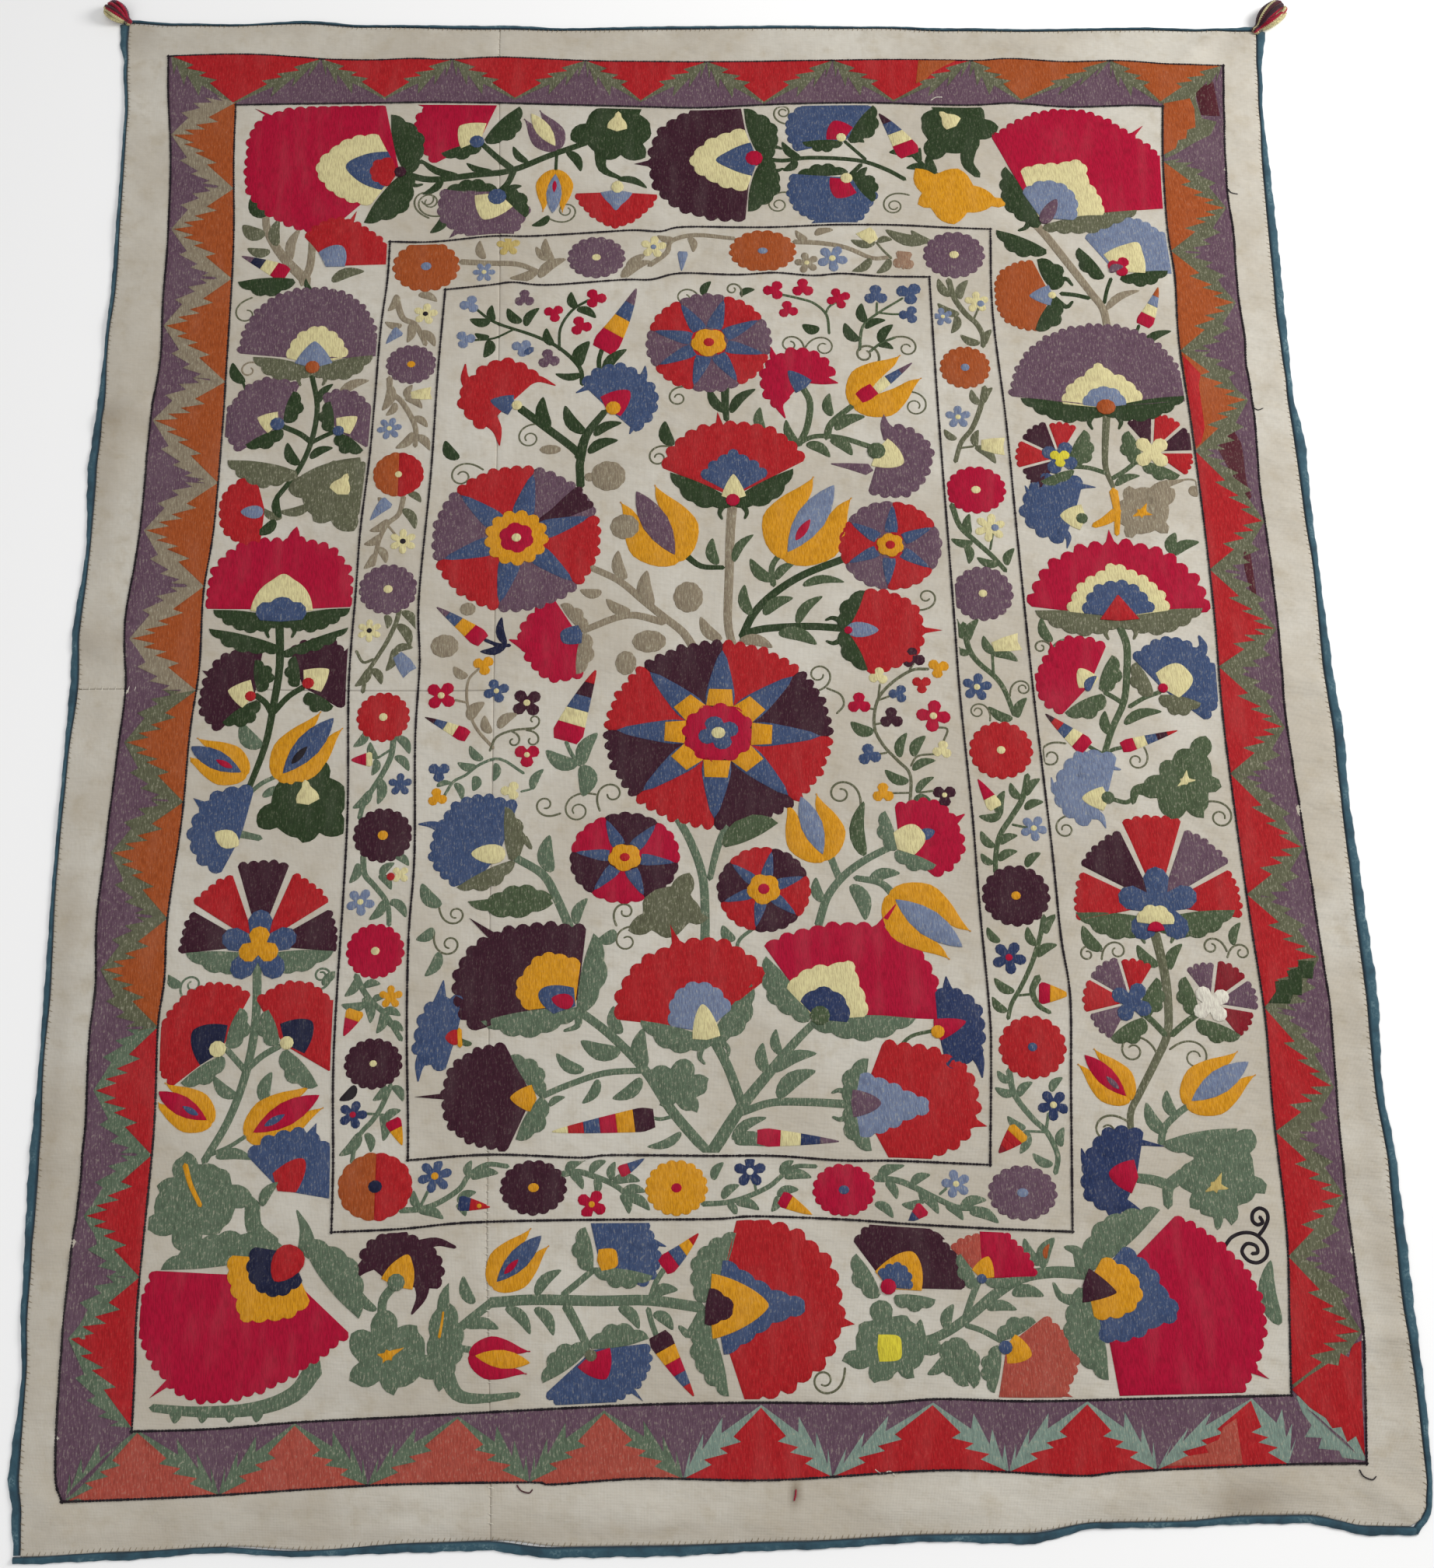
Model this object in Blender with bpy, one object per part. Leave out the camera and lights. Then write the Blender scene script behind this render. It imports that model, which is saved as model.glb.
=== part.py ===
"""Embroidered textile laid flat: three lengths of ground cotton, four edge bindings and two corner tassels.

It lies on its back on the plane z = 0, tasselled edge towards +Y, with the middle of its box on the Z axis.
Places on the cloth are in centimetres from the foot of its middle line, and heights are in millimetres.
"""

import math
from collections import namedtuple

import bmesh
import bpy
from mathutils import Matrix, Vector

CM = 0.01
MM = 0.001

# Driving sizes
CLOTH_WIDE = 123.0
CLOTH_LONG = 159.0
CLOTH_THICK_MM = 2.0
SEWN_GAP = 0.03
BINDING_RIM_MM = 2.2
BINDING_CROWN_MM = 3.0
BINDING_LIP_MM = 1.3
FLAT_WITHIN = 0.2

# Spacing of the mesh lines, wide over the flat middle and close where the margins ripple
MARGIN = 7.0
MARGIN_STEP = 1.35
CLOSER_AT_RIM = 1.3
MIDDLE_STEP = 3.4
ROW_STEP = 2.05

# Each edge from its low end to its high one: where along it, where the cotton ends, how much binding shows
Station = namedtuple("Station", "at edge band")
LEFT = (
    Station(-1.8, -60.0, 0.6),
    Station(1.5, -60.2, 0.8),
    Station(5.0, -60.7, 0.9),
    Station(13.0, -60.8, 0.4),
    Station(20.0, -61.2, 0.6),
    Station(33.0, -61.3, 0.9),
    Station(43.0, -61.7, 0.4),
    Station(48.0, -61.6, 0.6),
    Station(60.0, -62.0, 0.35),
    Station(72.0, -61.9, 0.4),
    Station(80.0, -61.5, 0.8),
    Station(86.0, -61.8, 0.7),
    Station(95.0, -61.5, 0.4),
    Station(104.0, -61.5, 0.9),
    Station(112.0, -61.3, 0.7),
    Station(118.0, -61.5, 0.3),
    Station(126.0, -61.2, 0.45),
    Station(147.0, -61.5, 0.3),
    Station(154.0, -62.0, 0.4),
    Station(157.0, -62.2, 0.8),
    Station(159.3, -62.2, 1.0),
)
RIGHT = (
    Station(-0.9, 60.2, 0.7),
    Station(-0.4, 61.1, 0.6),
    Station(0.8, 61.7, 0.5),
    Station(3.0, 62.0, 0.5),
    Station(10.0, 62.0, 0.7),
    Station(20.0, 61.6, 1.0),
    Station(31.0, 61.7, 0.8),
    Station(38.0, 61.3, 0.7),
    Station(47.0, 61.4, 1.1),
    Station(57.0, 61.2, 1.0),
    Station(67.0, 61.1, 0.8),
    Station(73.0, 61.1, 1.0),
    Station(80.0, 60.8, 0.9),
    Station(90.0, 60.9, 0.6),
    Station(98.0, 60.6, 0.8),
    Station(105.0, 60.4, 1.1),
    Station(111.0, 60.2, 0.6),
    Station(120.0, 60.0, 0.9),
    Station(130.0, 60.1, 0.9),
    Station(138.0, 60.2, 0.8),
    Station(145.0, 60.5, 0.4),
    Station(151.0, 60.8, 0.5),
    Station(156.0, 61.1, 1.0),
)
BOTTOM = (
    Station(-60.0, -1.8, 0.6),
    Station(-52.0, -1.5, 0.7),
    Station(-43.0, -1.2, 0.5),
    Station(-36.0, -1.6, 0.5),
    Station(-26.0, -1.1, 0.8),
    Station(-20.0, -1.0, 0.8),
    Station(-14.0, -1.6, 0.9),
    Station(-5.0, -1.6, 0.9),
    Station(7.0, -1.4, 0.7),
    Station(19.0, -1.0, 0.6),
    Station(27.0, -1.0, 0.9),
    Station(33.0, -0.2, 0.5),
    Station(40.0, -0.2, 0.5),
    Station(46.0, 0.2, 0.7),
    Station(51.0, 0.2, 0.7),
    Station(57.0, -0.8, 0.8),
    Station(60.2, -0.9, 0.7),
)
TOP = (
    Station(-62.2, 159.3, 0.4),
    Station(-57.0, 158.9, 0.3),
    Station(-50.0, 158.7, 0.25),
    Station(-43.0, 158.9, 0.4),
    Station(-36.0, 158.3, 0.3),
    Station(-21.0, 157.8, 0.5),
    Station(-14.0, 157.5, 0.3),
    Station(-5.0, 157.5, 0.4),
    Station(8.0, 157.4, 0.4),
    Station(20.0, 157.2, 0.25),
    Station(28.0, 156.7, 0.4),
    Station(37.0, 156.5, 0.3),
    Station(48.0, 156.5, 0.35),
    Station(56.0, 156.2, 0.3),
    Station(61.1, 156.1, 0.6),
)
# The long seam, by height, and the seam across the left strip, by place from left to right
Point = namedtuple("Point", "at edge")
LONG_SEAM = (Point(-2.0, -19.4), Point(30.0, -20.3), Point(60.0, -20.6), Point(120.0, -20.9), Point(158.0, -21.5))
CROSS_SEAM = (Point(-62.0, 79.7), Point(-20.0, 79.0))

# Main folds of the margins: middle, turn from the X axis in degrees, length and width in cm, rise in mm
Fold = namedtuple("Fold", "x y turn long wide rise")
FOLDS = (
    Fold(-59.2, 146.0, 0, 7.0, 8.0, 1.5),
    Fold(-59.2, 133.0, 0, 7.0, 8.0, 2.0),
    Fold(-59.2, 121.0, 0, 7.0, 5.0, 2.5),
    Fold(-59.2, 110.6, 26, 7.0, 2.8, 5.0),
    Fold(-59.0, 104.8, 8, 7.0, 3.4, 3.0),
    Fold(-59.0, 94.0, 30, 6.0, 3.2, 2.5),
    Fold(-59.2, 84.0, -35, 7.0, 3.2, 4.5),
    Fold(-59.0, 66.0, 0, 7.0, 5.0, 2.5),
    Fold(-58.8, 51.5, 0, 6.5, 4.6, 2.5),
    Fold(-58.8, 33.4, 0, 6.5, 3.6, 4.0),
    Fold(-58.8, 25.2, 5, 6.5, 3.0, 4.0),
    Fold(-58.6, 18.0, 10, 6.0, 3.4, 2.5),
    Fold(-58.0, 2.4, -40, 6.0, 3.4, 3.0),
    Fold(58.0, 144.0, -15, 6.0, 3.2, 3.0),
    Fold(57.8, 138.6, 20, 6.0, 3.0, 3.0),
    Fold(57.8, 124.4, 0, 6.0, 3.0, 2.5),
    Fold(57.8, 117.2, 5, 6.0, 3.4, 3.0),
    Fold(57.8, 112.4, 10, 6.0, 3.0, 3.5),
    Fold(58.4, 103.0, 0, 6.0, 4.0, 2.0),
    Fold(58.4, 92.0, 8, 6.0, 3.4, 2.5),
    Fold(58.4, 78.6, -10, 6.0, 3.0, 3.5),
    Fold(58.8, 72.0, 25, 6.0, 3.2, 3.0),
    Fold(58.6, 66.0, 20, 6.0, 3.0, 3.0),
    Fold(58.8, 58.4, 25, 6.0, 2.8, 2.5),
    Fold(59.0, 46.0, 10, 6.0, 3.4, 2.0),
    Fold(59.2, 31.0, 0, 6.0, 3.6, 2.5),
    Fold(59.4, 23.0, 5, 6.0, 3.4, 2.5),
    Fold(59.4, 15.4, 0, 6.0, 2.8, 3.0),
    Fold(-36.0, 1.9, 2, 30.0, 3.0, 4.0),
    Fold(-12.0, 1.6, -2, 18.0, 3.2, 2.5),
    Fold(19.0, 1.4, 0, 16.0, 2.8, 2.5),
    Fold(36.0, 1.8, 12, 12.0, 3.0, 3.0),
    Fold(58.6, 1.6, -30, 6.0, 3.0, 3.0),
    Fold(-48.0, 156.8, 0, 14.0, 3.2, 2.0),
    Fold(-24.0, 155.6, 0, 16.0, 3.0, 1.8),
    Fold(10.0, 155.2, 0, 18.0, 3.0, 1.8),
    Fold(36.0, 154.8, -6, 12.0, 2.8, 2.5),
    Fold(55.0, 154.2, 35, 7.0, 2.8, 2.5),
)
LEAST_RISE_MM = 0.12

# Tassels: the corner they hang from, which way they point, and their size
Tassel = namedtuple("Tassel", "name x y turn long fat lobes")
TASSELS = (
    Tassel("tassel_left", -62.2, 159.3, 141.0, 3.0, 1.15, 6),
    Tassel("tassel_right", 61.1, 156.1, 43.0, 4.1, 1.3, 7),
)
# Half width along a tassel, as shares of its length and of its fattest half width
Ring = namedtuple("Ring", "share fat")
TASSEL_PROFILE = (
    Ring(0.0, 0.08),
    Ring(0.06, 0.22),
    Ring(0.16, 0.30),
    Ring(0.24, 0.42),
    Ring(0.36, 0.74),
    Ring(0.52, 0.95),
    Ring(0.68, 1.0),
    Ring(0.84, 0.90),
    Ring(0.95, 0.58),
    Ring(1.0, 0.0),
)
TASSEL_FLATTEN = 0.72
TASSEL_SIDES = 24
LOBE_DEPTH = 0.08
LOBE_TWIST = 1.6
BINDING_OVER_CORNER = 0.1

COTTON = (0.50, 0.46, 0.39, 1.0)
TEAL = (0.05, 0.12, 0.15, 1.0)
YARN = (0.36, 0.03, 0.06, 1.0)


def clear_scene():
    """Remove whatever the file opened with."""
    for old in list(bpy.data.objects):
        bpy.data.objects.remove(old, do_unlink=True)


def new_collection(name):
    """A collection of the given name, linked to the scene."""
    made = bpy.data.collections.new(name)
    bpy.context.scene.collection.children.link(made)
    return made


def fabric(name, colour, roughness):
    """A plain Principled material."""
    made = bpy.data.materials.new(name)
    made.use_nodes = True
    shader = made.node_tree.nodes["Principled BSDF"]
    shader.inputs["Base Color"].default_value = colour
    shader.inputs["Roughness"].default_value = roughness
    shader.inputs["Metallic"].default_value = 0.0
    return made


def read(table, at, column):
    """A column of a table at a place between its rows, eased from row to row."""
    if at <= table[0].at:
        return getattr(table[0], column)
    for low, high in zip(table, table[1:]):
        if at <= high.at:
            share = (at - low.at) / (high.at - low.at)
            eased = share * share * (3.0 - 2.0 * share)
            start = getattr(low, column)
            return start + (getattr(high, column) - start) * eased
    return getattr(table[-1], column)


def left_edge(y):
    return read(LEFT, y, "edge")


def right_edge(y):
    return read(RIGHT, y, "edge")


def bottom_edge(x):
    return read(BOTTOM, x, "edge")


def top_edge(x):
    return read(TOP, x, "edge")


def left_of_seam(y):
    return read(LONG_SEAM, y, "edge") - SEWN_GAP / 2


def right_of_seam(y):
    return read(LONG_SEAM, y, "edge") + SEWN_GAP / 2


def under_cross_seam(x):
    return read(CROSS_SEAM, x, "edge") - SEWN_GAP / 2


def over_cross_seam(x):
    return read(CROSS_SEAM, x, "edge") + SEWN_GAP / 2


def lift(x, y):
    """How far the cloth's underside stands off the surface, in mm, from all the folds there."""
    total = 0.0
    for fold in FOLDS:
        turn = math.radians(fold.turn)
        right = (x - fold.x) * math.cos(turn) + (y - fold.y) * math.sin(turn)
        up = (y - fold.y) * math.cos(turn) - (x - fold.x) * math.sin(turn)
        reach = (2.0 * right / fold.long) ** 4 + (2.0 * up / fold.wide) ** 2
        total += fold.rise * math.exp(-1.6 * reach)
    return total if total > LEAST_RISE_MM else 0.0


def lines(low, high, close_low, close_high, step):
    """Places from low to high, close together within a margin of an end that ripples, closest at its rim."""
    count = round(MARGIN / MARGIN_STEP)
    from_rim = [MARGIN * (k / count) ** CLOSER_AT_RIM for k in range(count)]
    start = low + MARGIN if close_low else low
    stop = high - MARGIN if close_high else high
    places = [low + off for off in from_rim] if close_low else []
    count = max(1, round((stop - start) / step))
    places += [start + (stop - start) * k / count for k in range(count)]
    if close_high:
        return places + [stop] + [high - off for off in reversed(from_rim)]
    return places + [high]


def sheet_of_points(name, columns, rows, spot, collection, material):
    """A closed sheet: a grid moved point by point to spot(column, row), then drawn up to its thickness.

    spot gives a place in cm and the sheet's thickness there in mm."""
    mesh = bpy.data.meshes.new(name)
    bm = bmesh.new()
    bmesh.ops.create_grid(bm, x_segments=columns - 1, y_segments=rows - 1, size=0.5)
    under = sorted(bm.verts, key=lambda v: (round(v.co.y, 5), round(v.co.x, 5)))
    thick = {}
    for number, vert in enumerate(under):
        place, thick_mm = spot(number % columns, number // columns)
        vert.co = Vector((place.x * CM, place.y * CM, lift(place.x, place.y) * MM))
        thick[vert.co.xy.to_tuple(6)] = thick_mm * MM
    raised = bmesh.ops.extrude_face_region(bm, geom=list(bm.faces), use_keep_orig=True)
    for item in raised["geom"]:
        if isinstance(item, bmesh.types.BMVert):
            item.co.z += thick[item.co.xy.to_tuple(6)]
    bmesh.ops.recalc_face_normals(bm, faces=bm.faces)
    bmesh.ops.dissolve_limit(bm, angle_limit=math.radians(FLAT_WITHIN), verts=bm.verts, edges=bm.edges)
    bm.to_mesh(mesh)
    bm.free()
    made = bpy.data.objects.new(name, mesh)
    mesh.materials.append(material)
    collection.objects.link(made)
    return made


def spread_between(columns, rows, left, right, bottom, top):
    """A function that gives the x and y of a column and row of a length of cloth between four edges."""
    wide = columns[-1] - columns[0]
    high = rows[-1] - rows[0]

    def place(column, row):
        x = columns[column]
        y = bottom(x) + (top(x) - bottom(x)) * (rows[row] - rows[0]) / high
        x = left(y) + (right(y) - left(y)) * (columns[column] - columns[0]) / wide
        return Vector((x, y))

    return place


def ground(name, columns, rows, place, collection):
    """One length of ground cotton."""
    material = fabric(name + "_cotton", COTTON, 0.9)

    def spot(column, row):
        return place(column, row), CLOTH_THICK_MM

    return sheet_of_points(name, len(columns), len(rows), spot, collection, material)


def outward_normals(path, side):
    """Unit normals along a path, to its right where side is 1 and to its left where it is -1."""
    normals = []
    for number in range(len(path)):
        before = path[max(number - 1, 0)]
        after = path[min(number + 1, len(path) - 1)]
        ahead = (after - before).normalized()
        normals.append(Vector((ahead.y, -ahead.x)) * side)
    return normals


def binding(name, path, table, axis, side, collection):
    """A strip beside the cloth's own edge points, a low crown across it, as wide as the table says there.

    axis is 0 for an edge whose table runs along X, and 1 along Y."""
    material = fabric(name + "_cotton", TEAL, 0.8)
    normals = outward_normals(path, side)
    heights = (BINDING_RIM_MM, BINDING_CROWN_MM, BINDING_LIP_MM)

    def spot(column, row):
        band = read(table, path[row][axis], "band")
        return path[row] + normals[row] * (SEWN_GAP + band * column / 2), heights[column]

    return sheet_of_points(name, 3, len(path), spot, collection, material)


def towards(start, end, distance):
    """The point at a distance from start on the way to end."""
    return start + (end - start).normalized() * distance


def half_width(tassel, share):
    """A tassel's half width at a share of its length, in cm."""
    for low, high in zip(TASSEL_PROFILE, TASSEL_PROFILE[1:]):
        if share <= high.share:
            part = (share - low.share) / (high.share - low.share)
            return tassel.fat * (low.fat + (high.fat - low.fat) * part)
    return 0.0


def yarn_tassel(tassel, collection):
    """A turned form that lies on its side, its lobes twisted a little, its underside on the surface."""
    mesh = bpy.data.meshes.new(tassel.name)
    bm = bmesh.new()
    points = [bm.verts.new((ring.share * tassel.long, ring.fat * tassel.fat, 0)) for ring in TASSEL_PROFILE]
    edges = [bm.edges.new(pair) for pair in zip(points, points[1:])]
    bmesh.ops.spin(
        bm,
        geom=points + edges,
        cent=(0, 0, 0),
        axis=(1, 0, 0),
        angle=math.tau,
        steps=TASSEL_SIDES,
    )
    bmesh.ops.remove_doubles(bm, verts=bm.verts, dist=1e-5)
    start = [edge for edge in bm.edges if edge.is_boundary]
    bmesh.ops.holes_fill(bm, edges=start, sides=TASSEL_SIDES)
    for vert in bm.verts:
        around = math.atan2(vert.co.z, vert.co.y)
        share = vert.co.x / tassel.long
        wide = half_width(tassel, share)
        lobe = 1.0 + LOBE_DEPTH * math.cos(tassel.lobes * around + LOBE_TWIST * share) * min(1.0, 3.0 * share)
        vert.co.y *= lobe
        vert.co.z = TASSEL_FLATTEN * (vert.co.z * lobe + wide * (1.0 + LOBE_DEPTH))
    bmesh.ops.recalc_face_normals(bm, faces=bm.faces)
    ahead = Vector((math.cos(math.radians(tassel.turn)), math.sin(math.radians(tassel.turn)), 0))
    corner = Vector((tassel.x, tassel.y, 0)) + ahead * SEWN_GAP
    turn = Matrix.Rotation(math.radians(tassel.turn), 4, "Z")
    bmesh.ops.transform(bm, matrix=Matrix.Scale(CM, 4) @ Matrix.Translation(corner) @ turn, verts=bm.verts)
    bm.to_mesh(mesh)
    bm.free()
    made = bpy.data.objects.new(tassel.name, mesh)
    mesh.materials.append(fabric(tassel.name + "_yarn", YARN, 0.7))
    collection.objects.link(made)
    return made


def middle_of_box(objects):
    """The middle of the objects' box seen from above."""
    corners = [v.co for o in objects for v in o.data.vertices]
    low = Vector((min(c.x for c in corners), min(c.y for c in corners), 0))
    high = Vector((max(c.x for c in corners), max(c.y for c in corners), 0))
    return (low + high) / 2


def cotton_lengths(collection):
    """The three lengths of ground, and the points of the cloth's four edges."""
    seam = read(LONG_SEAM, CLOTH_LONG / 2, "edge")
    cross = read(CROSS_SEAM, (seam - CLOTH_WIDE / 2) / 2, "edge")
    left_columns = lines(-CLOTH_WIDE / 2, seam, True, False, MIDDLE_STEP)
    right_columns = lines(seam, CLOTH_WIDE / 2, False, True, MIDDLE_STEP)
    lower_rows = lines(0.0, cross, True, False, ROW_STEP)
    upper_rows = lines(cross, CLOTH_LONG, False, True, ROW_STEP)
    all_rows = lower_rows[:-1] + upper_rows
    upper = spread_between(left_columns, upper_rows, left_edge, left_of_seam, over_cross_seam, top_edge)
    lower = spread_between(left_columns, lower_rows, left_edge, left_of_seam, bottom_edge, under_cross_seam)
    wide = spread_between(right_columns, all_rows, right_of_seam, right_edge, bottom_edge, top_edge)
    pieces = [
        ground("ground_left_upper", left_columns, upper_rows, upper, collection),
        ground("ground_left_lower", left_columns, lower_rows, lower, collection),
        ground("ground_right", right_columns, all_rows, wide, collection),
    ]
    narrow = range(len(left_columns))
    broad = range(1, len(right_columns))
    edges = {
        "left": [lower(0, row) for row in range(len(lower_rows))]
        + [upper(0, row) for row in range(1, len(upper_rows))],
        "right": [wide(len(right_columns) - 1, row) for row in range(len(all_rows))],
        "bottom": [lower(column, 0) for column in narrow] + [wide(column, 0) for column in broad],
        "top": [upper(column, len(upper_rows) - 1) for column in narrow]
        + [wide(column, len(all_rows) - 1) for column in broad],
    }
    return pieces, edges


def edge_bindings(edges, collection):
    """The four bindings. They stop short of the two tassels, and the bottom one runs under the left one."""
    left, right, bottom, top = (edges[name] for name in ("left", "right", "bottom", "top"))
    left[0] = towards(left[0], left[1], BINDING_OVER_CORNER)
    bottom.insert(0, towards(bottom[0], bottom[1], -LEFT[0].band - SEWN_GAP))
    return [
        binding("binding_left", left[:-1], LEFT, 1, -1, collection),
        binding("binding_right", right[:-1], RIGHT, 1, 1, collection),
        binding("binding_bottom", bottom, BOTTOM, 0, 1, collection),
        binding("binding_top", top[1:-1], TOP, 0, -1, collection),
    ]


def build():
    clear_scene()
    collection = new_collection("embroidered_textile")
    pieces, edges = cotton_lengths(collection)
    pieces += edge_bindings(edges, collection)
    for tassel in TASSELS:
        pieces.append(yarn_tassel(tassel, collection))
    carrier = bpy.data.objects.new("textile", None)
    bpy.context.scene.collection.objects.link(carrier)
    carrier.location = -middle_of_box(pieces)
    for piece in pieces:
        piece.parent = carrier


build()
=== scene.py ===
"""Embroidered textile lying flat on a pale floor, seen from above its foot.

The cotton is three lengths of thin cloth, and each motif is a low pad of thread that follows the cloth.
Places on the cloth are in centimetres from the foot of its middle line, turns are in degrees from the
X axis, and heights are in millimetres.
"""

import math
from collections import namedtuple

import bmesh
import bpy
import numpy as np
from mathutils import Matrix, Vector
from mathutils.geometry import delaunay_2d_cdt

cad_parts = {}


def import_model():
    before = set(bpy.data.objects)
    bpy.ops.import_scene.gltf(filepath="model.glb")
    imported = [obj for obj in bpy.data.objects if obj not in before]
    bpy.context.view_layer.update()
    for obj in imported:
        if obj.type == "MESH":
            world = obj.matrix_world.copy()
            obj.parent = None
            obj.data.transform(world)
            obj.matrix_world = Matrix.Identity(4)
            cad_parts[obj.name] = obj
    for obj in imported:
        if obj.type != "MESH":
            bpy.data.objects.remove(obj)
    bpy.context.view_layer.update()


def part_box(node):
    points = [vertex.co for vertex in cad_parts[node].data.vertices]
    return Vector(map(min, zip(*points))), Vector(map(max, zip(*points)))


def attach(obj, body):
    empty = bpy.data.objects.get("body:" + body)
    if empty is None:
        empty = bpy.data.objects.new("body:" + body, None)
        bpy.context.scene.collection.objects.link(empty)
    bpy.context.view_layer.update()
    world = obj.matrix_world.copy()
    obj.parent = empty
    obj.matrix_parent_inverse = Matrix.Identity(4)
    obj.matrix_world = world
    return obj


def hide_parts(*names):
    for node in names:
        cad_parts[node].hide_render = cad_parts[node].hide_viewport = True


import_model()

CM = 0.01
MM = 0.001

# The cloth's own places, from the corners of two CAD pieces
RIGHT_RIM = 62.0
TOP_RIM = 159.3
SHIFT_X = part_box("ground_right")[1][0] - RIGHT_RIM * CM
SHIFT_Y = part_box("ground_left_upper")[1][1] - TOP_RIM * CM

# Camera, solved from the straight ruled lines of the embroidery
CAMERA_PLACE = (0.011, -0.181, 2.242)
CAMERA_DOWN = 68.8
CAMERA_ROLL = -0.81
CAMERA_LENS = 57.14
SENSOR_HEIGHT = 36.0

# Cloth
CLOTH_WIDE = 123.0
CLOTH_LONG = 159.0
COTTON_THICK = 1.1
SEWN_GAP = 0.03
LONG_SEAM_HALF_GAP = SEWN_GAP / 8
CROSS_SEAM_HALF_GAP = SEWN_GAP / 2
MARGIN = 8.0
MARGIN_STEP = 0.36
MIDDLE_STEP = 0.8
RIM_STEPS = (0.0, 0.05, 0.12, 0.22)
RIM_ROUND = 0.22

# Embroidery pads: rim and crown above the cotton, and how much each layer adds
PAD_RIM = 0.16
PAD_CROWN = 0.5
PAD_LAYER = 0.32
PAD_EDGE = 0.05
PAD_GRID = 1.25
PAD_FOOT = -0.2
PAD_STAGGER = 0.04
PAD_CLEAR = 0.35
# Beyond these places the cloth is rumpled, and the pads' inner points stand closer by this share
RUMPLED_BESIDE = 53.0
RUMPLED_BELOW = 7.0
RUMPLED_ABOVE = 151.0
RUMPLED_STEP = 0.55

Station = namedtuple("Station", "at edge band")
LEFT = tuple(
    Station(*row)
    for row in (
        (-1.8, -60.0, 0.6), (1.5, -60.2, 0.8), (5.0, -60.7, 0.9), (13.0, -60.8, 0.4), (20.0, -61.2, 0.6),
        (33.0, -61.3, 0.9), (43.0, -61.7, 0.4), (48.0, -61.6, 0.6), (60.0, -62.0, 0.35), (72.0, -61.9, 0.4),
        (80.0, -61.5, 0.8), (86.0, -61.8, 0.7), (95.0, -61.5, 0.4), (104.0, -61.5, 0.9), (112.0, -61.3, 0.7),
        (118.0, -61.5, 0.3), (126.0, -61.2, 0.45), (147.0, -61.5, 0.3), (154.0, -62.0, 0.4),
        (157.0, -62.2, 0.8), (159.3, -62.2, 1.0),
    )
)
RIGHT = tuple(
    Station(*row)
    for row in (
        (-0.9, 60.2, 0.7), (-0.4, 61.1, 0.6), (0.8, 61.7, 0.5), (3.0, 62.0, 0.5), (10.0, 62.0, 0.7),
        (20.0, 61.6, 1.0), (31.0, 61.7, 0.8), (38.0, 61.3, 0.7), (47.0, 61.4, 1.1), (57.0, 61.2, 1.0),
        (67.0, 61.1, 0.8), (73.0, 61.1, 1.0), (80.0, 60.8, 0.9), (90.0, 60.9, 0.6), (98.0, 60.6, 0.8),
        (105.0, 60.4, 1.1), (111.0, 60.2, 0.6), (120.0, 60.0, 0.9), (130.0, 60.1, 0.9), (138.0, 60.2, 0.8),
        (145.0, 60.5, 0.4), (151.0, 60.8, 0.5), (156.0, 61.1, 1.0),
    )
)
BOTTOM = tuple(
    Station(*row)
    for row in (
        (-60.0, -1.8, 0.6), (-52.0, -1.5, 0.7), (-43.0, -1.2, 0.5), (-36.0, -1.6, 0.5), (-26.0, -1.1, 0.8),
        (-20.0, -1.0, 0.8), (-14.0, -1.6, 0.9), (-5.0, -1.6, 0.9), (7.0, -1.4, 0.7), (19.0, -1.0, 0.6),
        (27.0, -1.0, 0.9), (33.0, -0.2, 0.5), (40.0, -0.2, 0.5), (46.0, 0.2, 0.7), (51.0, 0.2, 0.7),
        (57.0, -0.8, 0.8), (60.2, -0.9, 0.7),
    )
)
TOP = tuple(
    Station(*row)
    for row in (
        (-62.2, 159.3, 0.4), (-57.0, 158.9, 0.3), (-50.0, 158.7, 0.25), (-43.0, 158.9, 0.4),
        (-36.0, 158.3, 0.3), (-21.0, 157.8, 0.5), (-14.0, 157.5, 0.3), (-5.0, 157.5, 0.4), (8.0, 157.4, 0.4),
        (20.0, 157.2, 0.25), (28.0, 156.7, 0.4), (37.0, 156.5, 0.3), (48.0, 156.5, 0.35), (56.0, 156.2, 0.3),
        (61.1, 156.1, 0.6),
    )
)
Point = namedtuple("Point", "at edge")
LONG_SEAM = tuple(
    Point(*row)
    for row in ((-2.0, -19.4), (30.0, -20.3), (60.0, -20.6), (120.0, -20.9), (158.0, -21.5),)
)
CROSS_SEAM = (Point(-62.0, 79.7), Point(-20.0, 79.0))

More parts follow.
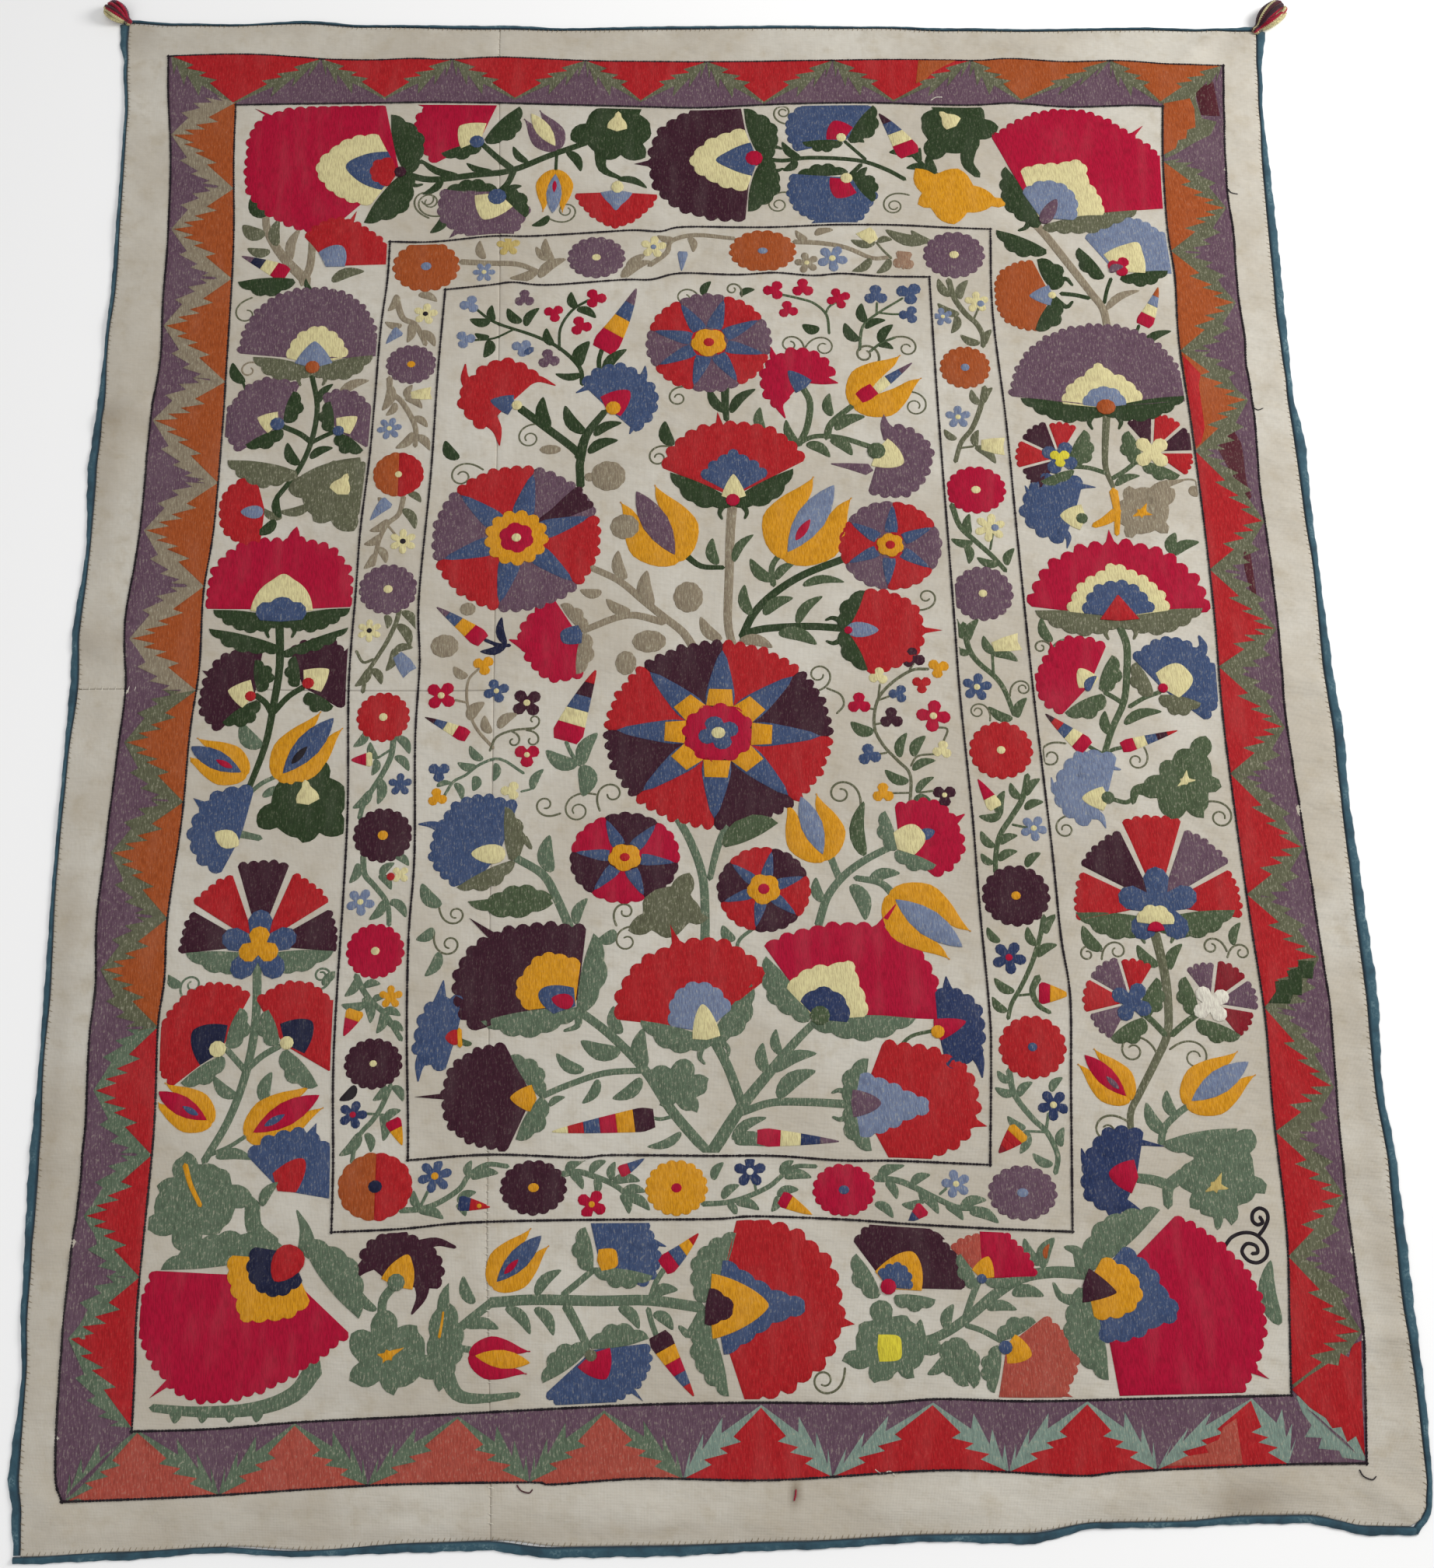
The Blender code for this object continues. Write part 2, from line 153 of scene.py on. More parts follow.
# Main folds of the margins: middle, turn, length and width, rise
Fold = namedtuple("Fold", "x y turn long wide rise")
FOLDS = tuple(
    Fold(*row)
    for row in (
        (-59.2, 146.0, 0, 7.0, 8.0, 1.5), (-59.2, 133.0, 0, 7.0, 8.0, 2.0), (-59.2, 121.0, 0, 7.0, 5.0, 2.5),
        (-59.2, 110.6, 26, 7.0, 2.8, 5.0), (-59.0, 104.8, 8, 7.0, 3.4, 3.0),
        (-59.0, 94.0, 30, 6.0, 3.2, 2.5), (-59.2, 84.0, -35, 7.0, 3.2, 4.5), (-59.0, 66.0, 0, 7.0, 5.0, 2.5),
        (-58.8, 51.5, 0, 6.5, 4.6, 2.5), (-58.8, 33.4, 0, 6.5, 3.6, 4.0), (-58.8, 25.2, 5, 6.5, 3.0, 4.0),
        (-58.6, 18.0, 10, 6.0, 3.4, 2.5), (-58.0, 2.4, -40, 6.0, 3.4, 3.0),
        (58.0, 144.0, -15, 6.0, 3.2, 3.0), (57.8, 138.6, 20, 6.0, 3.0, 3.0), (57.8, 124.4, 0, 6.0, 3.0, 2.5),
        (57.8, 117.2, 5, 6.0, 3.4, 3.0), (57.8, 112.4, 10, 6.0, 3.0, 3.5), (58.4, 103.0, 0, 6.0, 4.0, 2.0),
        (58.4, 92.0, 8, 6.0, 3.4, 2.5), (58.4, 78.6, -10, 6.0, 3.0, 3.5), (58.8, 72.0, 25, 6.0, 3.2, 3.0),
        (58.6, 66.0, 20, 6.0, 3.0, 3.0), (58.8, 58.4, 25, 6.0, 2.8, 2.5), (59.0, 46.0, 10, 6.0, 3.4, 2.0),
        (59.2, 31.0, 0, 6.0, 3.6, 2.5), (59.4, 23.0, 5, 6.0, 3.4, 2.5), (59.4, 15.4, 0, 6.0, 2.8, 3.0),
        (-36.0, 1.9, 2, 30.0, 3.0, 4.0), (-12.0, 1.6, -2, 18.0, 3.2, 2.5), (19.0, 1.4, 0, 16.0, 2.8, 2.5),
        (36.0, 1.8, 12, 12.0, 3.0, 3.0), (58.6, 1.6, -30, 6.0, 3.0, 3.0), (-48.0, 156.8, 0, 14.0, 3.2, 2.0),
        (-24.0, 155.6, 0, 16.0, 3.0, 1.8), (10.0, 155.2, 0, 18.0, 3.0, 1.8),
        (36.0, 154.8, -6, 12.0, 2.8, 2.5), (55.0, 154.2, 35, 7.0, 2.8, 2.5),
    )
)
# Small folds and creases between them, too fine for the CAD sheet
CREASES = tuple(
    Fold(*row)
    for row in (
        (-60.3, 116.3, -15, 3.0, 1.2, 0.8), (-59.4, 112.6, 22, 5.0, 0.9, 0.8),
        (-59.0, 99.5, 10, 5.0, 1.8, 0.7), (-58.8, 79.4, 0, 6.0, 1.0, 1.5), (-58.6, 77.6, -50, 3.2, 1.3, 1.0),
        (-58.3, 57.5, -40, 4.0, 1.6, 0.8), (-58.5, 44.8, 40, 5.0, 1.8, 0.9), (-58.5, 38.5, 5, 5.0, 2.0, 0.7),
        (-58.4, 29.2, -12, 5.0, 1.2, 0.7), (-58.6, 13.2, 15, 5.5, 1.6, 1.0),
        (-58.6, 10.6, 10, 5.0, 1.3, 0.8), (-58.6, 8.0, 5, 5.0, 1.5, 1.0), (-58.9, 138.5, 12, 5.0, 1.8, 0.6),
        (-58.8, 127.0, -10, 5.0, 1.6, 0.6), (58.0, 149.0, 10, 5.0, 1.8, 0.7),
        (58.0, 136.0, 25, 4.0, 1.6, 0.8), (57.5, 131.5, -5, 5.0, 1.8, 0.8), (58.3, 108.8, 0, 5.0, 1.7, 0.8),
        (58.6, 96.0, 20, 5.0, 1.8, 0.8), (58.4, 86.0, -8, 5.0, 1.8, 0.7), (59.0, 75.6, -30, 4.0, 1.2, 0.9),
        (58.5, 62.5, -15, 5.0, 1.5, 0.8), (58.8, 52.2, 20, 5.0, 1.7, 0.8), (59.2, 38.0, -20, 5.0, 1.8, 0.8),
        (59.2, 8.5, -20, 5.0, 1.8, 0.9), (-56.5, -0.2, 4, 7.0, 1.0, 1.2), (-36.5, 0.4, 0, 14.0, 1.1, 1.0),
        (-27.0, 0.4, 5, 10.0, 1.4, 0.8), (-3.0, 0.4, 8, 10.0, 1.6, 0.9), (5.0, 2.2, 12, 7.0, 1.4, 0.7),
        (23.0, 2.8, 0, 12.0, 1.2, 0.6), (31.0, 1.6, 6, 8.0, 1.7, 0.8), (41.5, 0.8, 20, 5.0, 1.3, 0.9),
        (51.0, 2.2, -8, 8.0, 1.6, 0.8), (60.0, 0.5, 40, 3.0, 1.3, 0.8), (-36.0, 156.6, 3, 9.0, 1.6, 0.7),
        (-4.0, 155.8, -2, 11.0, 1.6, 0.7), (46.0, 154.6, 4, 8.0, 1.6, 0.8),
        (59.0, 154.5, -30, 4.0, 1.4, 0.9),
    )
)

# Long soft puckers over the worked middle, where the thread draws the cotton in: waves per cm and height
Pucker = namedtuple("Pucker", "across along start rise")
PUCKERS = tuple(
    Pucker(*row)
    for row in (
        (0.052, 0.031, 0.4, 0.26), (-0.038, 0.071, 1.9, 0.22), (0.121, 0.016, 2.7, 0.14),
        (0.083, -0.104, 0.9, 0.12), (-0.017, 0.163, 5.1, 0.10), (0.231, 0.094, 3.3, 0.07),
        (-0.149, 0.217, 4.2, 0.07),
    )
)


def eased(table, at, column="edge"):
    """A column of a table at places between its rows, eased from row to row as the CAD edges are."""
    places = np.array([row.at for row in table])
    values = np.array([getattr(row, column) for row in table])
    high = np.clip(np.searchsorted(places, at), 1, len(places) - 1)
    share = np.clip((at - places[high - 1]) / (places[high] - places[high - 1]), 0.0, 1.0)
    share = share * share * (3.0 - 2.0 * share)
    return values[high - 1] + (values[high] - values[high - 1]) * share


def lift(x, y):
    """How far the underside of the cloth stands off the floor."""
    total = np.zeros(np.shape(x))
    for fold in FOLDS + CREASES:
        turn = math.radians(fold.turn)
        right = (x - fold.x) * math.cos(turn) + (y - fold.y) * math.sin(turn)
        up = (y - fold.y) * math.cos(turn) - (x - fold.x) * math.sin(turn)
        reach = (2.0 * right / fold.long) ** 4 + (2.0 * up / fold.wide) ** 2
        total += fold.rise * np.exp(-1.6 * reach)
    return total


def drawn_in(x, y):
    """How the thread's pull raises and sinks the face of the cotton."""
    total = np.zeros(np.shape(x))
    for wave in PUCKERS:
        total += wave.rise * np.sin(math.tau * (wave.across * x + wave.along * y) + wave.start)
    groove = np.exp(-(((x - eased(LONG_SEAM, y)) / 0.16) ** 2))
    return total - 0.35 * groove


def face(x, y):
    """The height of the cotton's face."""
    return lift(x, y) + COTTON_THICK + 0.45 + drawn_in(x, y) * 0.6


def world(x, y, height):
    """Places on the cloth, in cm and mm, as points of the frame in metres."""
    return np.stack([x * CM + SHIFT_X, y * CM + SHIFT_Y, height * MM + 0 * x], -1)


def mesh_object(name, points, faces, materials):
    """A smooth-shaded mesh of these points and faces."""
    mesh = bpy.data.meshes.new(name)
    mesh.from_pydata([tuple(point) for point in points], [], [tuple(face) for face in faces])
    mesh.update()
    for material in materials:
        mesh.materials.append(material)
    mesh.polygons.foreach_set("use_smooth", np.ones(len(mesh.polygons), bool))
    made = bpy.data.objects.new(name, mesh)
    bpy.context.scene.collection.objects.link(made)
    return made


def linear(colour):
    """A colour of 0 to 255 values as the shader's numbers."""
    shares = [value / 255.0 for value in colour]
    return tuple(s / 12.92 if s <= 0.04045 else ((s + 0.055) / 1.055) ** 2.4 for s in shares) + (1.0,)


def new_material(name):
    """A Principled material, its node tree and its shader."""
    made = bpy.data.materials.new(name)
    made.use_nodes = True
    return made, made.node_tree, made.node_tree.nodes["Principled BSDF"]


def node(tree, kind, inputs=None, prefix="ShaderNode", **settings):
    """A node with its settings made and its inputs set to values or joined to other nodes' outputs."""
    made = tree.nodes.new(prefix + kind)
    for name, value in settings.items():
        setattr(made, name, value)
    for name, value in (inputs or {}).items():
        if isinstance(value, bpy.types.NodeSocket):
            tree.links.new(value, made.inputs[name])
        else:
            made.inputs[name].default_value = value
    return made


def object_places(tree, scale=(1.0, 1.0, 1.0), turn=0.0):
    """The piece's own coordinates, scaled along each axis and turned about Z."""
    places = node(tree, "TexCoord")
    turned = node(
        tree, "Mapping", {"Vector": places.outputs["Object"], "Rotation": (0.0, 0.0, math.radians(turn))},
    )
    return node(tree, "Mapping", {"Vector": turned.outputs["Vector"], "Scale": scale}).outputs["Vector"]


def noise(tree, vector, scale, detail=2.0, roughness=0.5):
    """A noise from 0 to 1 about the middle."""
    inputs = {"Vector": vector, "Scale": scale, "Detail": detail, "Roughness": roughness}
    return node(tree, "TexNoise", inputs).outputs["Fac"]


def ramp(tree, value, low, high, start=0.0, end=1.0):
    """A value eased from start at low to end at high."""
    inputs = {"Value": value, "From Min": low, "From Max": high, "To Min": start, "To Max": end}
    return node(tree, "MapRange", inputs, interpolation_type="SMOOTHSTEP").outputs["Result"]


def sum_of(tree, first, second, share=1.0):
    """first plus second times a share."""
    inputs = {0: second, 1: share, 2: first}
    return node(tree, "Math", inputs, operation="MULTIPLY_ADD").outputs["Value"]


def product(tree, first, second):
    return node(tree, "Math", {0: first, 1: second}, operation="MULTIPLY").outputs["Value"]


def blend_colours(tree, share, first, second, kind="MIX"):
    """Two colours mixed in a share."""
    made = tree.nodes.new("ShaderNodeMix")
    made.data_type = "RGBA"
    made.blend_type = kind
    for socket, value in ((made.inputs[0], share), (made.inputs[6], first), (made.inputs[7], second)):
        if isinstance(value, bpy.types.NodeSocket):
            tree.links.new(value, socket)
        else:
            socket.default_value = value
    return made.outputs[2]


def attribute(tree, name, output="Fac"):
    return node(tree, "Attribute", attribute_name=name).outputs[output]


def waves(tree, vector, period, along="X", distortion=0.6):
    """Ridges a period apart in metres, along one axis."""
    inputs = {"Vector": vector, "Scale": math.tau / (20.0 * period), "Distortion": distortion, "Detail": 1.0}
    settings = {"wave_type": "BANDS", "bands_direction": along}
    return node(tree, "TexWave", inputs, **settings).outputs["Fac"]


def bump(tree, height, distance, strength=1.0, over=None):
    """A bump of some depth in metres, over another one where it is given."""
    inputs = {"Height": height, "Distance": distance, "Strength": strength}
    if over:
        inputs["Normal"] = over
    return node(tree, "Bump", inputs).outputs["Normal"]


def finish_fabric(tree, shader, colour, normal, roughness=0.85, sheen=0.15, gloss=0.25):
    """Joins the colour and the bump to the shader, and sets a cloth's finish."""
    tree.links.new(colour, shader.inputs["Base Color"])
    tree.links.new(normal, shader.inputs["Normal"])
    shader.inputs["Roughness"].default_value = roughness
    shader.inputs["Specular IOR Level"].default_value = gloss
    shader.inputs["Sheen Weight"].default_value = sheen
    shader.inputs["Sheen Roughness"].default_value = 0.5


COTTON = (190, 182, 168)
COTTON_PALE = (206, 201, 190)
COTTON_AGED = (172, 158, 132)
COTTON_DARK = (120, 104, 84)
WEAVE_PERIOD = 0.0009


def cotton_material():
    """Hand-woven cotton: uneven threads both ways, slubs, age, and darker patches that are partly real
    stains and dirt and partly painted shade on the largest margin folds.
    """
    made, tree, shader = new_material("hand_woven_cotton")
    plain = object_places(tree)
    warp = waves(tree, plain, WEAVE_PERIOD, "X")
    weft = waves(tree, plain, WEAVE_PERIOD, "Y")
    slubs = noise(tree, object_places(tree, (60.0, 900.0, 1.0)), 1.0)
    uprights = noise(tree, object_places(tree, (900.0, 45.0, 1.0)), 1.0)
    cloudy = noise(tree, plain, 5.0, 4.0, 0.6)
    smudges = noise(tree, plain, 44.0, 4.0, 0.65)
    colour = blend_colours(tree, ramp(tree, cloudy, 0.35, 0.62), linear(COTTON_PALE), linear(COTTON))
    colour = blend_colours(tree, ramp(tree, smudges, 0.46, 0.8, 0.0, 0.45), colour, linear(COTTON_AGED))
    threads = ramp(tree, sum_of(tree, slubs, uprights), 0.7, 1.3, 0.0, 0.16)
    colour = blend_colours(tree, threads, colour, linear(COTTON_AGED))
    # Darkens the cotton towards COTTON_DARK: real stains and dirt, and painted shade laid on the largest
    # margin folds.
    colour = blend_colours(tree, attribute(tree, "stain_and_fold_shade"), colour, linear(COTTON_DARK))
    height = sum_of(tree, sum_of(tree, warp, weft), slubs, 1.4)
    crumple = noise(tree, object_places(tree, (13.0, 24.0, 1.0), 8.0), 1.0, 4.0, 0.55)
    normal = bump(tree, height, 0.00012, 1.0, bump(tree, crumple, 0.006))
    finish_fabric(tree, shader, colour, normal, 0.92, 0.1)
    return made


def silk_material():
    """Couched silk: strands along Y held by slanting stitches, with the cotton showing in worn places.

    The thread attribute gives the colour, and the worn attribute how much of the cotton shows."""
    made, tree, shader = new_material("couched_silk")
    plain = object_places(tree)
    strands = noise(tree, object_places(tree, (900.0, 110.0, 1.0), -4.0), 1.0, 3.0, 0.6)
    couching = noise(tree, object_places(tree, (520.0, 300.0, 1.0), 24.0), 1.0, 2.0, 0.6)
    shades = noise(tree, object_places(tree, (60.0, 14.0, 1.0)), 1.0, 2.0)
    ridges = waves(tree, plain, 0.0008, "X", 1.6)
    thread = attribute(tree, "thread", "Color")
    worn = attribute(tree, "worn")
    deep = blend_colours(tree, 1.0, thread, (0.72, 0.68, 0.70, 1.0), "MULTIPLY")
    light = blend_colours(tree, 0.10, thread, (0.75, 0.70, 0.62, 1.0))
    colour = blend_colours(tree, ramp(tree, strands, 0.36, 0.60), deep, thread)
    colour = blend_colours(tree, ramp(tree, shades, 0.42, 0.75, 0.0, 0.22), colour, light)
    flecks = product(tree, ramp(tree, sum_of(tree, strands, couching), 1.04, 1.26), worn)
    colour = blend_colours(tree, flecks, colour, linear((176, 170, 150)))
    height = sum_of(tree, sum_of(tree, ridges, strands, 1.5), couching, 1.8)
    finish_fabric(tree, shader, colour, bump(tree, height, 0.0002), 0.6, 0.0, 0.1)
    return made


def lines(low, high, close_low, close_high):
    """Places from low to high, close by both rims and all over a margin that ripples."""
    def from_rim(close):
        places = list(RIM_STEPS)
        count = round((MARGIN - RIM_STEPS[-1]) / MARGIN_STEP) if close else 0
        return places + [RIM_STEPS[-1] + (MARGIN - RIM_STEPS[-1]) * k / count for k in range(1, count + 1)]

    start = [low + off for off in from_rim(close_low)]
    stop = [high - off for off in reversed(from_rim(close_high))]
    count = round((stop[0] - start[-1]) / MIDDLE_STEP)
    return np.array(start + [start[-1] + (stop[0] - start[-1]) * k / count for k in range(1, count)] + stop)


def rounding(places):
    """How far the face drops where a sheet's rim is turned in, for each place of a grid line."""
    off = np.minimum(places - places[0], places[-1] - places)
    away = np.clip(1.0 - off / RIM_ROUND, 0.0, 1.0)
    return 1.0 - np.sqrt(1.0 - away ** 2)


# Darker patches of the cotton: real stains, dirt along the rims, and painted shade laid on the largest folds
# of the margins (near x -59 at y 84 and 110, x -37 at the foot, x 59 at the top). Each row is its middle,
# length, width and strength.
StainAndShade = namedtuple("StainAndShade", "x y long wide strength")
STAINS_AND_FOLD_SHADE = tuple(
    StainAndShade(*row)
    for row in (
        (46.5, 1.4, 3.6, 1.6, 0.45), (7.0, 2.6, 0.35, 1.1, 0.8), (-37.0, 2.2, 10.0, 1.4, 0.14),
        (-60.6, 40.0, 1.4, 20.0, 0.22), (-60.6, 104.0, 1.4, 16.0, 0.18), (-59.0, 84.5, 3.4, 1.8, 0.22),
        (-59.5, 110.0, 3.0, 1.6, 0.22), (60.4, 34.0, 1.2, 22.0, 0.14), (59.0, 155.0, 3.0, 1.6, 0.2),
        (-61.0, 157.6, 2.0, 2.0, 0.25), (-20.0, -0.6, 34.0, 0.8, 0.2), (-10.0, 8.0, 30.0, 3.0, 0.08),
        (-33.0, 12.0, 9.0, 2.0, 0.14),
    )
)


def stains_and_fold_shade_at(x, y):
    """How dark the stains, and the painted shade on the largest margin folds, are."""
    total = np.zeros(np.shape(x))
    for stain_and_fold_shade in STAINS_AND_FOLD_SHADE:
        reach = ((x - stain_and_fold_shade.x) / stain_and_fold_shade.long) ** 2 + ((y - stain_and_fold_shade.y) / stain_and_fold_shade.wide) ** 2
        total += stain_and_fold_shade.strength * np.exp(-reach)
    return np.clip(total, 0.0, 1.0)


def left_of_seam(y):
    return eased(LONG_SEAM, y) - LONG_SEAM_HALF_GAP


def right_of_seam(y):
    return eased(LONG_SEAM, y) + LONG_SEAM_HALF_GAP


def cotton_length(name, columns, rows, left, right, bottom, top, material):
    """One length of cotton between four edges: a thin closed sheet with its rims turned in."""
    along_x, along_y = np.meshgrid(columns, rows)
    share_y = (along_y - rows[0]) / (rows[-1] - rows[0])
    y = bottom(along_x) + (top(along_x) - bottom(along_x)) * share_y
    x = left(y) + (right(y) - left(y)) * (along_x - columns[0]) / (columns[-1] - columns[0])
    drop = np.maximum(rounding(columns)[None, :], rounding(rows)[:, None])
    upper = world(x, y, face(x, y) - drop).reshape(-1, 3)
    under = world(x, y, lift(x, y)).reshape(-1, 3)
    count = x.size
    number = np.arange(count).reshape(x.shape)
    quads = np.stack([number[:-1, :-1], number[:-1, 1:], number[1:, 1:], number[1:, :-1]], -1).reshape(-1, 4)
    ring = np.concatenate([number[0, :], number[1:, -1], number[-1, -2::-1], number[-2:0:-1, 0]])
    after = np.roll(ring, -1)
    walls = np.stack([ring, ring + count, after + count, after], -1)
    faces = np.concatenate([quads, quads[:, ::-1] + count, walls])
    made = mesh_object(name, np.concatenate([upper, under]), faces.tolist(), [material])
    # Per point: real stains and dirt, and painted shade on the largest margin folds.
    marks = made.data.attributes.new("stain_and_fold_shade", "FLOAT", "POINT")
    marks.data.foreach_set("value", np.tile(stains_and_fold_shade_at(x, y).ravel(), 2).astype(np.float32))
    return made


def cotton_ground():
    """The three lengths, in place of their CAD sheets."""
    material = cotton_material()
    seam = float(eased(LONG_SEAM, CLOTH_LONG / 2))
    cross = float(eased(CROSS_SEAM, (seam - CLOTH_WIDE / 2) / 2))
    narrow = lines(-CLOTH_WIDE / 2, seam, True, False)
    broad = lines(seam, CLOTH_WIDE / 2, False, True)
    lower = lines(0.0, cross, True, False)
    upper = lines(cross, CLOTH_LONG, False, True)
    whole = lines(0.0, CLOTH_LONG, True, True)

    def left(y):
        return eased(LEFT, y)

    def right(y):
        return eased(RIGHT, y)

    def bottom(x):
        return eased(BOTTOM, x)

    def top(x):
        return eased(TOP, x)

    def under_cross(x):
        return eased(CROSS_SEAM, x) - CROSS_SEAM_HALF_GAP

    def over_cross(x):
        return eased(CROSS_SEAM, x) + CROSS_SEAM_HALF_GAP

    return {
        "ground_left_upper": cotton_length(
            "cotton_left_upper", narrow, upper, left, left_of_seam, over_cross, top, material
        ),
        "ground_left_lower": cotton_length(
            "cotton_left_lower", narrow, lower, left, left_of_seam, bottom, under_cross, material
        ),
        "ground_right": cotton_length(
            "cotton_right", broad, whole, right_of_seam, right, bottom, top, material
        ),
    }


def set_camera():
    """The photograph's camera: its place, its downward look and its small roll."""
    down = math.radians(CAMERA_DOWN)
    roll = math.radians(CAMERA_ROLL)
    ahead = Vector((0.0, math.cos(down), -math.sin(down)))
    right = Vector((1.0, 0.0, 0.0))
    up = right.cross(ahead)
    across = right * math.cos(roll) + up * math.sin(roll)
    over = up * math.cos(roll) - right * math.sin(roll)
    turned = Matrix((across, over, -ahead)).transposed().to_4x4()
    lens = bpy.data.cameras.new("camera")
    lens.sensor_fit = "VERTICAL"
    lens.sensor_height = SENSOR_HEIGHT
    lens.lens = CAMERA_LENS
    made = bpy.data.objects.new("camera", lens)
    place = Vector(CAMERA_PLACE) + Vector((SHIFT_X, SHIFT_Y, 0.0))
    made.matrix_world = Matrix.Translation(place) @ turned
    bpy.context.scene.collection.objects.link(made)
    bpy.context.scene.camera = made


def area_light(name, place, aim, size, watts, colour):
    """A square soft light that looks at a point."""
    lamp = bpy.data.lights.new(name, "AREA")
    lamp.shape = "SQUARE"
    lamp.size = size
    lamp.energy = watts
    lamp.color = colour
    made = bpy.data.objects.new(name, lamp)
    made.location = place
    made.rotation_euler = (Vector(aim) - Vector(place)).to_track_quat("-Z", "Y").to_euler()
    bpy.context.scene.collection.objects.link(made)


def set_studio():
    """A pale floor, a large window-like light from the upper right and a weak fill."""
    made, _, shader = new_material("pale_floor")
    shader.inputs["Base Color"].default_value = (0.97, 0.97, 0.97, 1.0)
    shader.inputs["Roughness"].default_value = 0.9
    half = 6.0
    corners = [(-half, -half, 0), (half, -half, 0), (half, half, 0), (-half, half, 0)]
    floor = mesh_object("floor", corners, [(0, 1, 2, 3)], [made])
    floor.location.z = -0.0004
    area_light("key", (2.3, 0.9, 1.6), (0.1, 0.0, 0.0), 1.1, 58.0, (1.0, 0.99, 0.97))
    area_light("fill", (-1.8, -1.4, 2.4), (0.0, 0.0, 0.0), 2.4, 16.0, (0.97, 0.98, 1.0))
    backdrop = bpy.data.worlds.new("studio")
    backdrop.use_nodes = True
    backdrop.node_tree.nodes["Background"].inputs["Color"].default_value = (1.0, 1.0, 1.0, 1.0)
    backdrop.node_tree.nodes["Background"].inputs["Strength"].default_value = 0.55
    bpy.context.scene.world = backdrop
    bpy.context.scene.view_settings.view_transform = "Standard"


# Silk colours as they look on the cloth, and how worn each is
Silk = namedtuple("Silk", "colour worn")
SILKS = {
    "crimson": Silk((176, 10, 52), 0.0),
    "red": Silk((178, 30, 36), 0.05),
    "maroon_red": Silk((134, 22, 36), 0.05),
    "rust": Silk((168, 82, 36), 0.1),
    "terracotta": Silk((176, 80, 66), 0.2),
    "mauve": Silk((104, 78, 94), 0.35),
    "rose": Silk((196, 104, 122), 0.1),
    "aubergine": Silk((62, 26, 42), 0.1),
    "maroon": Silk((84, 34, 44), 0.2),
    "olive": Silk((100, 102, 78), 0.5),
    "sage": Silk((96, 114, 92), 0.55),
    "green": Silk((46, 64, 36), 0.15),
    "moss": Silk((76, 92, 64), 0.4),
    "taupe": Silk((146, 134, 112), 0.6),
    "fawn": Silk((158, 126, 102), 0.5),
    "blue": Silk((64, 82, 118), 0.3),
    "pale_blue": Silk((118, 132, 160), 0.45),
    "navy_blue": Silk((44, 58, 96), 0.2),
    "navy": Silk((30, 34, 62), 0.1),
    "gold": Silk((218, 152, 28), 0.1),
    "cream": Silk((222, 212, 158), 0.05),
    "white": Silk((228, 224, 208), 0.0),
    "straw": Silk((198, 176, 106), 0.1),
    "lemon": Silk((222, 208, 62), 0.0),
    "teal_grey": Silk((128, 150, 138), 0.5),
    "ink": Silk((36, 30, 36), 0.0),
}

Patch = namedtuple("Patch", "outline silk level")
# The patches of the border at hand, until needlework makes a piece of them
PATCHES = []


def turned_area(outline):
    """Twice the area inside an outline, negative where it runs clockwise."""
    after = np.roll(outline, -1, 0)
    return float(np.sum(outline[:, 0] * after[:, 1] - after[:, 0] * outline[:, 1]))


def patch(silk, level, outline):
    """One area of a single thread."""
    outline = np.asarray(outline, float)
    apart = np.hypot(*(outline - np.roll(outline, 1, 0)).T)
    outline = outline[apart > 0.012]
    if turned_area(outline) < 0:
        outline = outline[::-1]
    PATCHES.append(Patch(outline, silk, level))


def inset(outline, distance):
    """An outline drawn in by a distance along its points' own normals."""
    ahead = np.roll(outline, -1, 0) - outline
    ahead /= np.maximum(np.hypot(*ahead.T), 1e-9)[:, None]
    inward = np.stack([-ahead[:, 1], ahead[:, 0]], -1)
    meeting = inward + np.roll(inward, 1, 0)
    meeting /= np.maximum(np.hypot(*meeting.T), 0.6)[:, None]
    return outline + meeting * distance


def inside(points, outline):
    """Which points lie inside an outline."""
    x, y = points[:, 0][:, None], points[:, 1][:, None]
    x0, y0 = outline[:, 0][None, :], outline[:, 1][None, :]
    x1, y1 = np.roll(outline[:, 0], -1)[None, :], np.roll(outline[:, 1], -1)[None, :]
    crossing = (y0 > y) != (y1 > y)
    rise = np.where(np.abs(y1 - y0) < 1e-12, 1e-12, y1 - y0)
    return np.sum(crossing & (x < (x1 - x0) * (y - y0) / rise + x0), 1) % 2 == 1


def middle_points(ring):
    """Grid points well inside a patch, so that a broad one can follow the cloth."""
    low, high = ring.min(0), ring.max(0)
    if min(high - low) < 2.0 * PAD_GRID:
        return np.zeros((0, 2))
    rumpled = max(-low[0], high[0]) > RUMPLED_BESIDE or low[1] < RUMPLED_BELOW or high[1] > RUMPLED_ABOVE
    grid_step = PAD_GRID * (RUMPLED_STEP if rumpled else 1.0)
    steps = [
        np.arange(math.ceil(a / grid_step), math.floor(b / grid_step) + 1) * grid_step
        for a, b in zip(low, high)
    ]
    grid = np.stack(np.meshgrid(*steps), -1).reshape(-1, 2)
    grid = grid[inside(grid, ring)]
    apart = np.min(np.hypot(*(grid[:, None, :] - ring[None, :, :]).transpose(2, 0, 1)), 1)
    return grid[apart > PAD_CLEAR * grid_step]


